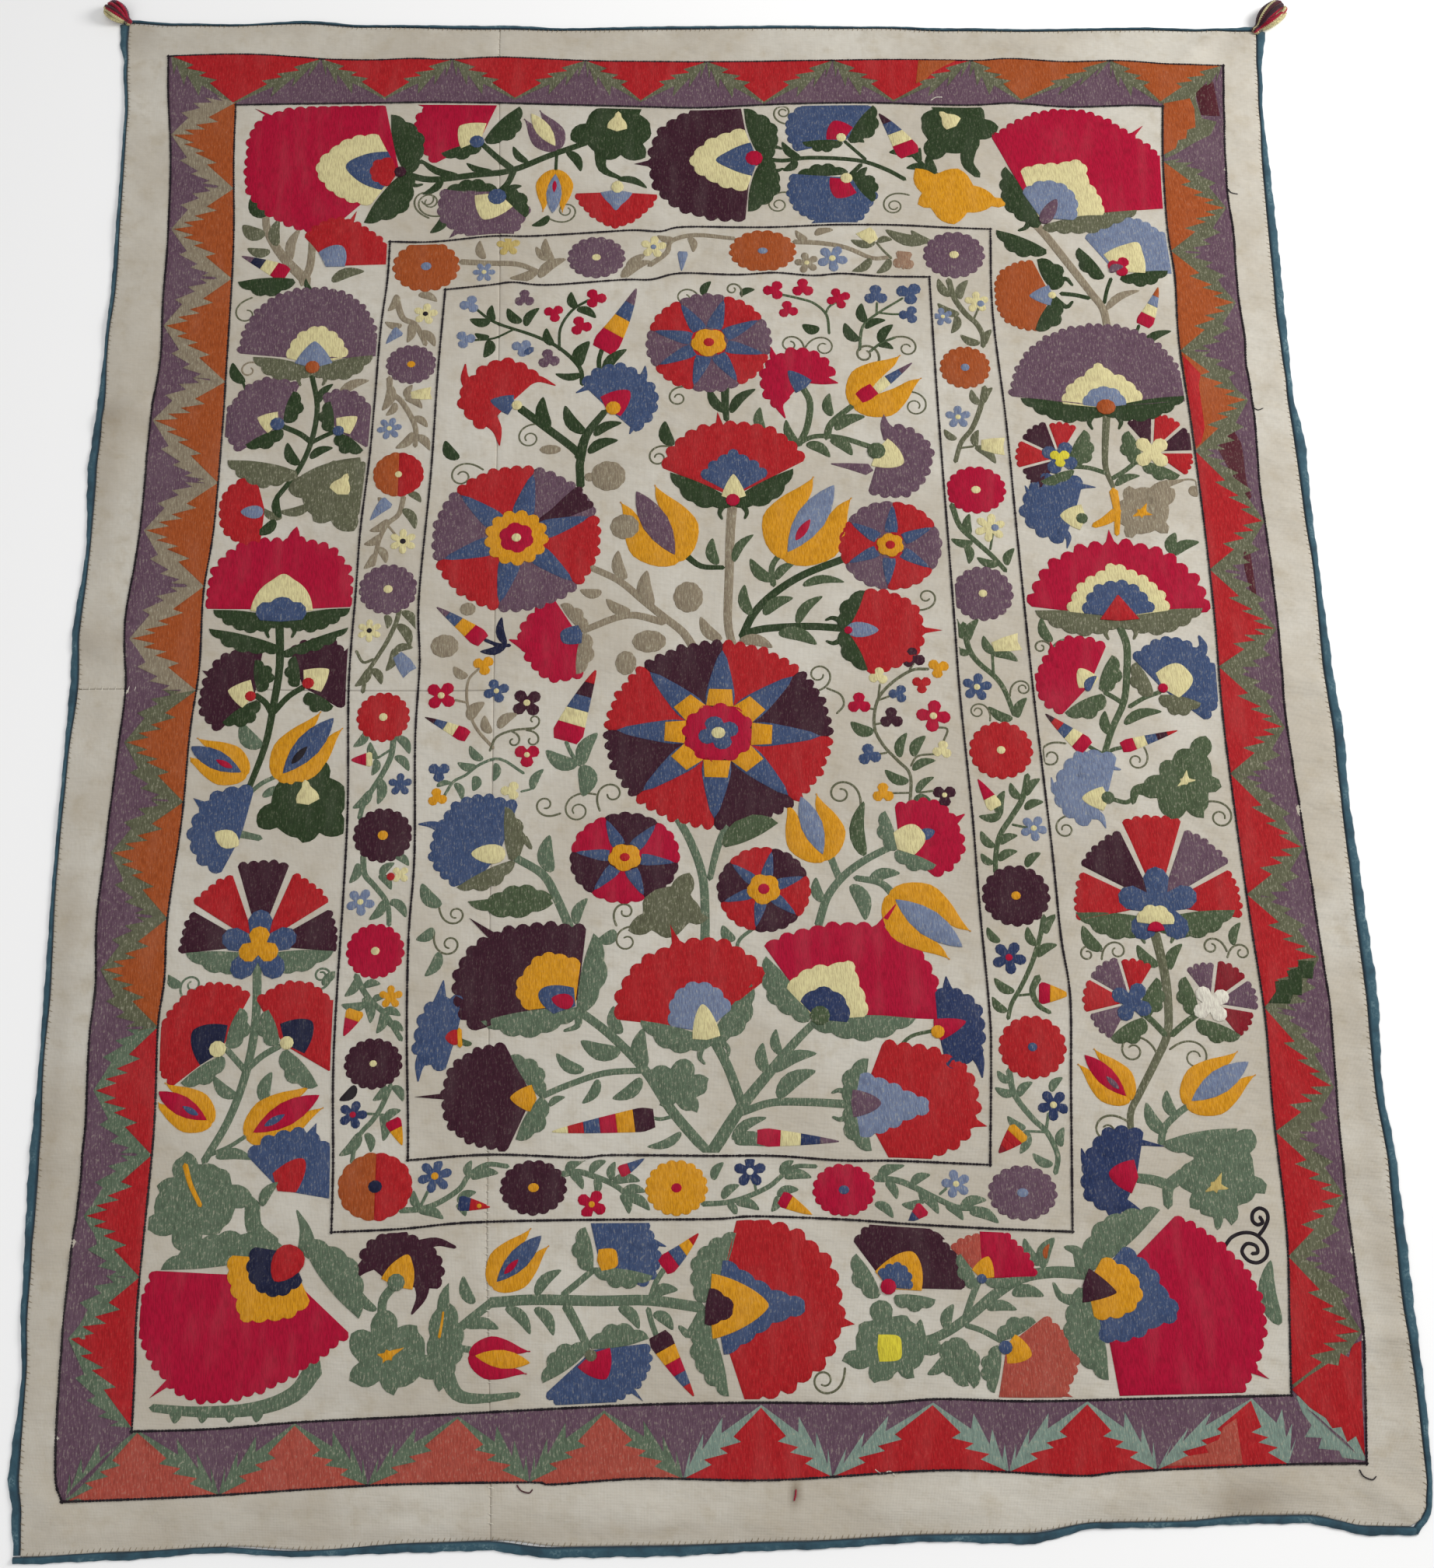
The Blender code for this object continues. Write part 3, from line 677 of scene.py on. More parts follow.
def pad(outline):
    """Triangles that fill an outline, with a ring of points just inside it.

    Returns the points, which of them are on the rim, and the faces."""
    ring = inset(outline, PAD_EDGE)
    points = np.concatenate([outline, ring, middle_points(ring)])
    count = len(outline)
    loop = list(range(count))
    edges = [(count + a, count + (a + 1) % count) for a in loop]
    places, _, faces, origins, _, _ = delaunay_2d_cdt(
        [Vector(point) for point in points], edges, [loop], 1, 1e-5
    )
    rim = np.array([any(origin < count for origin in origins[a]) for a in range(len(places))])
    return np.array(places), rim, faces


def needlework(name, materials):
    """The patches drawn so far as a single mesh of closed pads that follow the cloth."""
    flat, heights, faces, silks = [], [], [], []
    total = 0
    for order, item in enumerate(PATCHES):
        places, rim, top = pad(item.outline)
        if not top:
            continue
        base = item.level * PAD_LAYER + PAD_STAGGER * (order % 3)
        count = len(places)
        flat += [places, places]
        heights += [np.where(rim, PAD_RIM, PAD_CROWN) + base, np.full(count, PAD_FOOT)]
        directed = {(face[k], face[(k + 1) % 3]) for face in top for k in range(3)}
        walls = [(a, b) for a, b in directed if (b, a) not in directed]
        faces += [(a + total, b + total, c + total) for a, b, c in top]
        faces += [(c + total + count, b + total + count, a + total + count) for a, b, c in top]
        faces += [(b + total, a + total, a + total + count, b + total + count) for a, b in walls]
        silks += [item.silk] * (2 * count)
        total += 2 * count
    flat = np.concatenate(flat)
    x, y = flat[:, 0], flat[:, 1]
    made = mesh_object(name, world(x, y, face(x, y) + np.concatenate(heights)), faces, materials)
    thread = made.data.attributes.new("thread", "FLOAT_COLOR", "POINT")
    thread.data.foreach_set(
        "color", np.array([linear(SILKS[silk].colour) for silk in silks], np.float32).ravel(),
    )
    worn = made.data.attributes.new("worn", "FLOAT", "POINT")
    worn.data.foreach_set("value", np.array([SILKS[silk].worn for silk in silks], np.float32))
    PATCHES.clear()
    return made


def through(points, closed=False, steps=5):
    """Points along a smooth curve through the given ones."""
    points = np.asarray(points, float)
    if closed:
        points = np.concatenate([points[-1:], points, points[:2]])
    else:
        points = np.concatenate([2 * points[:1] - points[1:2], points, 2 * points[-1:] - points[-2:-1]])
    share = (np.arange(steps) / steps)[:, None]
    found = []
    for p0, p1, p2, p3 in zip(points, points[1:], points[2:], points[3:]):
        bend = (2 * p1) + (p2 - p0) * share + (2 * p0 - 5 * p1 + 4 * p2 - p3) * share ** 2
        found.append(0.5 * (bend + (3 * p1 - p0 - 3 * p2 + p3) * share ** 3))
    if not closed:
        found.append(points[-2:-1])
    return np.concatenate(found)


def placed(points, x, y, turn, size=1.0, side=1.0):
    """Points drawn ahead along X and left along Y, taken to a place on the cloth and turned."""
    points = np.asarray(points, float) * (size, size * side)
    c, s = math.cos(math.radians(turn)), math.sin(math.radians(turn))
    return np.stack([x + points[:, 0] * c - points[:, 1] * s, y + points[:, 0] * s + points[:, 1] * c], -1)


def evenly(path, count):
    """A path cut into count equal lengths."""
    far = np.concatenate([[0.0], np.cumsum(np.hypot(*np.diff(path, axis=0).T))])
    places = np.linspace(0.0, far[-1], count + 1)
    return np.stack([np.interp(places, far, path[:, 0]), np.interp(places, far, path[:, 1])], -1)


def scalloped(path, lobes, deep, lean=0.0):
    """A path whose line is broken into small round lobes to its right, or leaning ones."""
    steps = 4
    cut = evenly(path, lobes * steps)
    ahead = np.gradient(cut, axis=0)
    ahead /= np.maximum(np.hypot(*ahead.T), 1e-9)[:, None]
    out = np.stack([ahead[:, 1], -ahead[:, 0]], -1)
    share = (np.arange(len(cut)) % steps) / steps
    swell = np.sin(np.pi * share) ** 0.7
    uneven = 1.0 + 0.25 * np.sin(np.arange(len(cut)) // steps * 2.4 + lobes)
    return cut + out * (deep * swell * uneven)[:, None] + ahead * (lean * deep * swell)[:, None]


def stroke(silk, points, wide, tip=None, level=-0.5, smooth=4):
    """A stem: a strip along a smooth curve, from one width to another, with rounded ends."""
    path = through(points, steps=smooth)
    tip = wide if tip is None else tip
    ahead = np.gradient(path, axis=0)
    ahead /= np.maximum(np.hypot(*ahead.T), 1e-9)[:, None]
    left = np.stack([-ahead[:, 1], ahead[:, 0]], -1)
    half = np.linspace(wide, tip, len(path))[:, None] / 2
    ends = [path[:1] - ahead[:1] * half[:1], path[-1:] + ahead[-1:] * half[-1:]]
    patch(silk, level, np.concatenate([ends[0], path - left * half, ends[1], (path + left * half)[::-1]]))


def leaf(silk, x, y, turn, long, wide, level=-0.4, bend=0.12, blunt=0.62):
    """A leaf that grows ahead of its foot, fullest past the middle, bent a little to one side."""
    share = 0.5 - 0.5 * np.cos(np.linspace(0.0, math.pi, 9))
    half = np.sin(np.pi * share ** (0.45 / blunt)) ** (1.45 - 1.4 * blunt) * wide / 2
    middle = bend * long * np.sin(np.pi * share)
    upper = np.stack([share * long, middle + half], -1)
    lower = np.stack([share * long, middle - half], -1)
    patch(silk, level, placed(np.concatenate([lower, upper[-2:0:-1]]), x, y, turn))


def tendril(silk, x, y, turn, long, curl, wide=0.2, level=-0.6):
    """A fine scroll that leaves its foot nearly straight and winds up at its end.

    A negative curl winds to the right."""
    count = max(14, int(abs(curl) / 26))
    share = np.linspace(0.0, 1.0, count)
    heading = np.radians(turn + curl * share ** 1.4)
    step = 1.25 * long / (count - 1) * (1.0 - 0.5 * share)
    x_at = x + np.concatenate([[0.0], np.cumsum(np.cos(heading) * step)[:-1]])
    y_at = y + np.concatenate([[0.0], np.cumsum(np.sin(heading) * step)[:-1]])
    stroke(silk, np.stack([x_at, y_at], -1), wide, wide * 0.8, level, smooth=2)


def sprig(
    silk, points, wide, leaves=4, leaf_long=2.4, leaf_wide=1.1, tip=None, leaf_silk=None, spread=42.0,
    first=0.2, level=-0.5,
):
    """A stem with leaves set one after another to its left and right."""
    stroke(silk, points, wide, tip, level)
    path = evenly(through(points), 40)
    for number in range(leaves):
        at = int(40 * (first + (0.97 - first) * number / max(1, leaves - 1)))
        ahead = path[min(at + 1, 40)] - path[max(at - 1, 0)]
        side = 1 if number % 2 else -1
        turn = math.degrees(math.atan2(ahead[1], ahead[0])) + side * spread
        size = 1.0 - 0.15 * (number % 3)
        leaf(
            leaf_silk or silk, path[at][0], path[at][1], turn, leaf_long * size, leaf_wide * size,
            level + 0.1, -0.1 * side,
        )


def disc(silk, level, x, y, radius, lobes=0, deep=0.0, turn=0.0, tall=1.0):
    """A round or scalloped disc."""
    count = max(10, lobes * 4)
    around = np.linspace(0.0, math.tau, count, endpoint=False)
    reach = np.full(count, radius)
    if lobes:
        reach = radius * (1.0 - deep + deep * np.abs(np.sin(lobes * around / 2)) ** 0.8)
    points = np.stack(
        [reach * np.cos(around + math.radians(turn)), reach * tall * np.sin(around + math.radians(turn))],
        -1,
    )
    patch(silk, level, points + (x, y))


def petals(silk, level, x, y, radius, count, turn=0.0, waist=0.45, tall=1.0):
    """A small open flower of round petals."""
    around = np.linspace(0.0, math.tau, count * 6, endpoint=False)
    reach = radius * (waist + (1.0 - waist) * np.abs(np.cos(count * around / 2)) ** 0.7)
    angle = around + math.radians(turn)
    patch(silk, level, np.stack([reach * np.cos(angle), reach * tall * np.sin(angle)], -1) + (x, y))


def fan(
    silk, x, y, turn, long, wide, start=-80, stop=80, square=2.0, lobes=14, deep=0.3, tip=0.0, thorn=None,
    level=0.0
):
    """A palmette's broad petal: it opens ahead of its foot between two angles, its edge in round lobes.

    wide and square may be pairs, for the right side and the left. A higher square makes the petal boxier,
    tip draws its middle out to a point, and thorn is the angle and length of one spike of its edge."""
    angles = np.radians(np.linspace(start, stop, 60))
    wide = wide if isinstance(wide, tuple) else (wide, wide)
    square = square if isinstance(square, tuple) else (square, square)
    half = np.where(angles < 0.0, wide[0], wide[1])
    power = np.where(angles < 0.0, square[0], square[1])
    reach = (
        (np.abs(np.cos(angles)) / long) ** power + (np.abs(np.sin(angles)) / half) ** power
    ) ** (-1.0 / power)
    reach *= 1.0 + tip * np.exp(-((angles / 0.2) ** 2))
    edge = np.stack([reach * np.cos(angles), reach * np.sin(angles)], -1)
    if lobes:
        edge = scalloped(edge, lobes, deep)
    if thorn:
        at = np.argmin(np.abs(np.degrees(np.arctan2(edge[:, 1], edge[:, 0])) - thorn[0]))
        at = min(max(at, 1), len(edge) - 2)
        edge[at] *= 1.0 + thorn[1] / np.hypot(*edge[at])
    patch(silk, level, placed(np.concatenate([[(-0.1, 0.0)], edge]), x, y, turn))


def inner_fan(silk, level, x, y, turn, long, wide, start, stop, square, tip=0.0):
    """A small fan with a plain edge, over the foot of a larger one."""
    fan(silk, x, y, turn, long, wide, start, stop, square, 0, 0.0, tip, None, level)


def sepal(silk, x, y, turn, long, wide, side=1, lobes=4, deep=0.28, level=0.5, hook=0.0):
    """A leaf with one plain edge and one lobed edge, to the left of its line where side is 1."""
    outer = through(
        [(1.0, 0.0), (0.86, 0.42), (0.52, 0.98), (0.2, 0.72), (-0.04, 0.2)], steps=6,
    ) * (long, wide)
    if lobes:
        outer = scalloped(outer, lobes, deep)
    inner = through(
        [(0.0, -0.06), (0.3, hook - 0.2), (0.66, hook - 0.18), (1.0, 0.0)], steps=4,
    ) * (long, wide)
    patch(silk, level, placed(np.concatenate([inner[:-1], outer]), x, y, turn, 1.0, side))


def sector(silk, level, x, y, radius, tall, low, high, lobes):
    """A slice of a rosette between two angles, its rim in round lobes."""
    angles = np.radians(np.linspace(low, high, 16))
    edge = np.stack([radius * np.cos(angles), radius * tall * np.sin(angles)], -1)
    edge = scalloped(edge, lobes, radius * 0.045)
    patch(silk, level, np.concatenate([[(0.0, 0.0)], edge]) + (x, y))


def dart(silk, level, x, y, turn, near, far, wide, tall=1.0, foot=None):
    """A pointed wedge between two slices, broad near the middle, with an arched foot of another silk."""
    def shape(start, stop, start_wide, stop_wide):
        return np.array([(start, -start_wide), (stop, -stop_wide), (stop, stop_wide), (start, start_wide)])

    middle = near + (far - near) * 0.3
    body = through(
        [(near, -wide / 2), (middle, -wide / 2), (far, 0.0), (middle, wide / 2), (near, wide / 2)], steps=3,
    )
    body = placed(body, 0.0, 0.0, turn) * (1.0, tall) + (x, y)
    patch(silk, level, body)
    if foot:
        base = shape(near, middle, wide * 0.5, wide * 0.42)
        patch(foot, level + 0.9, placed(base, 0.0, 0.0, turn) * (1.0, tall) + (x, y))


def rosette(x, y, radius, tall, slices, turn=0.0, darts="blue", feet=None, rings=(), level=0.0, lobes=None):
    """A round flower of slices, with darts between them and rings of silk in its middle.

    Each ring is a silk, its radius as a share, and its number of lobes or petals."""
    each = 360.0 / len(slices)
    lobes = lobes or max(3, round(radius * 0.62 * 8 / len(slices)))
    for number, silk in enumerate(slices):
        low = turn + number * each
        sector(silk, level, x, y, radius, tall, low, low + each, lobes)
        if darts:
            dart(darts, level + 1.0, x, y, low, radius * 0.3, radius * 0.93, radius * 0.25, tall, feet)
    for number, (silk, share, count) in enumerate(rings):
        height = level + 2.2 + number
        if count > 4:
            disc(silk, height, x, y, radius * share, count, 0.14, 10.0, tall)
        elif count:
            petals(silk, height, x, y, radius * share, count, 20.0, 0.62, tall)
        else:
            disc(silk, height, x, y, radius * share, tall=tall)


def button(x, y, radius, silk, dot, tall=1.0, lobes=17, dot_size=0.16, half=None):
    """A scalloped disc with a dot, one side of it in a second silk where half names one."""
    if half:
        for number, part in enumerate((silk, half)):
            sector(part, 0.0, x, y, radius, tall, 90 + 180 * number, 270 + 180 * number, lobes // 2)
    else:
        disc(silk, 0.0, x, y, radius, lobes, 0.09, 5.0, tall)
    if dot:
        disc(dot, 1.0, x, y, radius * dot_size, tall=tall)


TULIP_PETAL = (
    (0.0, 0.0), (0.06, 0.2), (0.32, 0.36), (0.6, 0.33), (0.84, 0.24), (1.0, 0.19), (1.0, 0.19), (0.86, 0.13),
    (0.62, 0.1), (0.3, 0.03),
)


def tulip(x, y, turn, long, petal="gold", seed="mauve", heart="crimson", wide=1.0):
    """Two curved petals that nearly meet at their tips, with a pointed seed between them."""
    for side in (1, -1):
        shape = through(TULIP_PETAL, closed=True, steps=3) * (1.0, wide)
        patch(petal, 0.0, placed(shape, x, y, turn, long, side))
    if seed:
        leaf(
            seed, *placed([(0.1, 0.0)], x, y, turn, long)[0], turn, long * 0.95, long * 0.32, 1.0, 0.0, 0.44,
        )
    if heart:
        leaf(heart, *placed([(0.26, 0.0)], x, y, turn, long)[0], turn, long * 0.3, long * 0.1, 2.0, 0.0, 0.5)


def carnation(
    x, y, turn, long, silks, spread=196, base=("blue", "gold"), lobes=5, deep=0.3, waist=0.2, gap=5.0,
):
    """Fan-shaped petals set round a foot, each narrow at its root and lobed along its rim."""
    each = spread / len(silks)
    for number, silk in enumerate(silks):
        middle = -spread / 2 + each * (number + 0.5)
        angles = np.radians(np.linspace(middle - each / 2 + gap / 2, middle + each / 2 - gap / 2, 14))
        size = long * (1.0 - 0.14 * abs(math.sin(math.radians(middle))))
        edge = scalloped(np.stack([size * np.cos(angles), size * np.sin(angles)], -1), lobes, deep)
        root = math.radians(middle)
        foot = [
            (long * waist * math.cos(root + k * 0.22), long * waist * math.sin(root + k * 0.22))
            for k in (1, -1)
        ]
        patch(silk, 0.0, placed(np.concatenate([foot, edge]), x, y, turn))
    for number, silk in enumerate(base):
        size = long * (0.44 - 0.2 * number)
        petals(silk, 1.0 + number, x, y, size, len(silks) if number == 0 else 3, turn, 0.42)


def leaf_flower(silk, x, y, turn, long, arms=4, crown_silk="cream"):
    """A flower like a lobed leaf, with a small pointed crown in its middle."""
    x, y = placed([(long * 0.42, 0.0)], x, y, turn)[0]
    reaches = [long * (0.86, 0.68, 0.95, 0.66)[number % 4] for number in range(arms + 1)]
    star(silk, 0.0, x, y, turn, reaches, 0.74, 2, 0.24)
    if crown_silk:
        fan(crown_silk, x, y, turn + 20, long * 0.3, long * 0.2, -75, 75, 2.0, 3, 0.1, 0.5, level=1.2)


def bud(x, y, turn, long, wide, bands, bend=0.12):
    """A pointed bud in bands of silk from its foot to its tip."""
    stops = np.linspace(0.0, 1.0, len(bands) + 1) ** 0.9
    for silk, low, high in zip(bands, stops, stops[1:]):
        share = np.linspace(low, high, 5)
        half = wide / 2 * np.clip(1.02 - share, 0.02, 1.0) ** 0.75 * np.where(
            share < 0.12, 0.7 + 2.5 * share, 1.0,
        )
        middle = bend * long * share ** 2
        upper = np.stack([share * long, middle + half], -1)
        lower = np.stack([share * long, middle - half], -1)
        patch(silk, 0.0, placed(np.concatenate([lower, upper[::-1]]), x, y, turn))


def star(silk, level, x, y, turn, arms, waist=0.45, lobes=2, deep=0.16):
    """A star-shaped leaf with an arm of each length in turn, its sides a little lobed."""
    count = len(arms)
    points = []
    for number, arm in enumerate(arms):
        angle = math.radians(turn + 360.0 * number / count)
        between = math.radians(turn + 360.0 * (number + 0.5) / count)
        near = waist * (arm + arms[(number + 1) % count]) / 2
        points += [
            (arm * math.cos(angle), arm * math.sin(angle)),
            (near * math.cos(between), near * math.sin(between)),
        ]
    path = np.array(points + points[:1])
    patch(silk, level, scalloped(path, lobes * count, deep * 1.8) + (x, y))


def calyx(silk, x, y, turn, long, wide, open_by=60, lobes=5, hook=0.9, level=0.4, sides=(1, -1)):
    """The two leaves that hold a palmette, each with its lobes outside and a small hook at its foot."""
    for side in sides:
        sepal(silk, x, y, turn + side * open_by, long, wide, side, lobes, 0.26, level)
        if hook:
            stroke(
                silk, placed([(0.1, 0.2), (-0.4, 0.9), (-1.1, 1.25), (-1.7, 1.05)], x, y, turn, hook, side),
                0.75 * hook, 0.25, level - 0.1,
            )


def wide_border_top():
    """The top of the wide border, from its left corner to its right one."""
    fan("crimson", -32.0, 139.4, 180, 16.2, (8.5, 8.4), -79, 46, (5.0, 2.2), 27, 0.36, 0.0, (-28, 1.6))
    fan("cream", -32.2, 139.5, 176, 7.6, (4.6, 4.4), -62, 62, 2.6, 11, 0.25, 0.12, level=1)
    inner_fan("blue", 2, -32.2, 139.5, 172, 4.9, (2.4, 2.6), -60, 66, 2.2, 0.12)
    fan("red", -32.2, 139.4, 176, 2.7, 1.7, -70, 70, 2.6, 5, 0.2, level=3)
    disc("aubergine", 4, -31.8, 139.4, 0.65)
    calyx("green", -31.2, 139.4, 170, 7.6, 2.7, 66, 5, 1.2)
    stroke(
        "green",
        [(-31.4, 139.2), (-28.5, 138.4), (-24.0, 138.9), (-20.0, 139.4), (-16.0, 141.2), (-12.0, 142.8)],
        0.8, 0.7,
    )
    leaf("green", -25.6, 138.9, 153, 4.6, 0.9)
    leaf("green", -27.2, 138.5, 222, 2.9, 0.9)
    leaf("green", -22.0, 139.3, 158, 3.0, 0.9)
    leaf("green", -18.2, 140.4, 128, 2.6, 0.9)
    stroke("green", [(-20.0, 139.7), (-21.6, 141.2), (-23.2, 142.9)], 0.8, 0.6)
    fan("crimson", -23.5, 143.3, 142, 7.2, (5.2, 5.0), -72, 70, (3.4, 2.6), 14, 0.32, 0.0, (0, 1.1))
    inner_fan("cream", 1, -23.4, 143.3, 140, 2.9, 2.4, -68, 68, 1.4)
    disc("blue", 2, -23.7, 143.1, 0.8)
    sepal("green", -22.8, 143.3, 50, 5.6, 2.0, -1, 4)
    sepal("green", -23.4, 142.9, 196, 4.3, 1.3, 1, 3)
    stroke("green", [(-19.7, 139.3), (-20.3, 137.8), (-21.2, 136.8)], 0.7, 0.6)
    fan("mauve", -21.3, 136.6, 250, 5.9, (5.6, 3.8), -76, 82, (3.6, 3.0), 14, 0.26, 0.0, (-22, 1.0))
    inner_fan("cream", 1, -21.4, 136.5, 246, 3.5, 2.4, -62, 70, 1.5)
    disc("blue", 2, -21.4, 136.1, 1.0)
    sepal("green", -21.6, 136.9, 178, 5.2, 1.2, -1, 4)
    sepal("green", -20.9, 136.9, 306, 4.3, 1.5, 1, 3)
    leaf("green", -20.6, 136.6, 25, 2.0, 0.8)
    tulip(-15.0, 142.0, 122, 5.2, "mauve", "cream", None)
    tulip(-15.2, 139.4, 267, 5.2, "gold", "pale_blue", "crimson", 1.05)
    stroke("green", [(-15.2, 139.2), (-15.1, 142.0)], 0.35)
    leaf("green", -26.8, 133.9, 234, 2.7, 1.1)
    tendril("olive", -26.9, 133.9, 188, 9.5, -520, 0.22)
    tendril("olive", -28.6, 133.6, 150, 8.0, -430, 0.22)
    leaf("green", -15.8, 133.6, 212, 2.2, 0.9)
    tendril("olive", -16.0, 133.4, 330, 9.0, 560, 0.22)
    leaf_flower("green", -9.6, 142.2, 66, 5.4, 5, "cream")
    stroke("green", [(-10.4, 142.0), (-10.2, 139.5), (-8.2, 138.2)], 1.5, 0.4)
    leaf("green", -8.6, 138.2, 338, 3.4, 0.9)
    leaf("green", -14.0, 141.8, 300, 3.0, 1.1)
    fan("red", -8.7, 136.4, 268, 4.2, (4.3, 4.3), -88, 88, 1.5, 13, 0.24)
    inner_fan("pale_blue", 1, -8.7, 136.7, 268, 2.1, 1.8, -80, 80, 1.4, 0.2)
    disc("cream", 2, -8.6, 137.1, 0.65, tall=1.2)
    fan("aubergine", 5.6, 140.3, 181, 10.6, (7.2, 7.4), -84, 84, 2.4, 19, 0.42, 0.0, (0, 1.4))
    fan("cream", 6.2, 140.4, 181, 6.5, (3.8, 3.9), -74, 74, 1.9, 9, 0.28, 0.06, level=1)
    inner_fan("blue", 2, 6.3, 140.4, 181, 4.0, 2.2, -74, 74, 1.5, 0.1)
    disc("crimson", 3, 6.0, 140.5, 0.95)
    calyx("green", 7.0, 140.4, 181, 6.8, 2.5, 74, 5, 1.2)
    stroke(
        "green", [(6.8, 140.6), (9.0, 140.2), (12.0, 140.5), (17.0, 140.1), (20.0, 138.9), (22.0, 137.6)],
        0.5,
    )
    leaf("green", 10.9, 140.5, 132, 2.8, 1.0)
    leaf("green", 10.6, 140.2, 220, 2.0, 1.0)
    tendril("olive", 10.2, 144.8, 176, 8.4, -620, 0.22)
    tendril("olive", 10.0, 136.1, 170, 8.8, 560, 0.22)
    fan("blue", 15.7, 142.6, 122, 6.2, (4.8, 5.0), -76, 72, 3.2, 15, 0.26)
    inner_fan("crimson", 1, 15.6, 142.8, 112, 2.5, 1.8, -60, 70, 1.6)
    disc("cream", 2, 15.4, 143.0, 0.55)
    sepal("green", 16.2, 142.7, 58, 5.2, 1.8, -1, 4)
    sepal("green", 15.4, 142.5, 180, 4.2, 1.1, 1, 4)
    leaf("green", 16.2, 143.0, 340, 1.8, 0.9)
    stroke("green", [(15.8, 142.5), (17.0, 141.2), (17.9, 140.2)], 0.4)
    fan("blue", 15.9, 137.8, 245, 6.2, (5.6, 3.6), -72, 84, 3.0, 16, 0.26, 0.0, (-8, 0.9))
    inner_fan("crimson", 1, 15.9, 137.6, 240, 2.6, 1.9, -70, 60, 1.6)
    disc("cream", 2, 15.8, 137.8, 0.65)
    sepal("green", 15.8, 138.4, 180, 5.2, 1.1, -1, 4)
    sepal("green", 16.4, 138.2, 300, 4.0, 1.7, 1, 4)
    leaf("green", 17.2, 137.6, 62, 1.8, 0.9)
    stroke("green", [(16.2, 138.2), (17.4, 139.5)], 0.5)
    bud(22.7, 140.6, 113, 6.2, 2.9, ("crimson", "cream", "blue", "aubergine"))
    sprig("green", [(26.0, 137.8), (24.4, 139.0), (22.9, 140.8)], 0.5, 4, 2.6, 1.1)
    tendril("olive", 22.4, 135.6, 164, 10.0, 640, 0.22)
    star("gold", 0, 26.0, 135.6, 62, (3.7, 4.4, 2.8, 3.8, 6.6), 0.62, 2, 0.2)
    leaf_flower("green", 28.6, 142.2, 112, 5.4, 5, "cream")
    stroke("green", [(29.2, 142.2), (28.8, 139.6), (29.8, 138.0)], 1.9, 0.8)
    fan("crimson", 36.0, 132.7, 52, 14.4, (12.2, 10.0), -49, 62, (3.2, 2.3), 27, 0.36, 0.0, (-8, 1.4))
    fan("cream", 36.0, 132.7, 54, 6.6, (6.4, 5.2), -54, 52, 2.4, 10, 0.22, 0.26, level=1)
    fan("pale_blue", 36.2, 132.6, 58, 4.6, 3.2, -66, 62, 2.4, 7, 0.22, level=2)
    leaf("mauve", 36.3, 131.8, 60, 3.4, 1.5, 3, 0.0)
    sepal("green", 36.1, 131.7, 114, 8.0, 2.2, 1, 6)
    sepal("olive", 36.6, 131.6, 10, 10.0, 1.7, -1, 7)
    stroke("green", [(35.2, 132.6), (34.6, 131.4), (33.8, 131.0)], 0.8, 0.3)


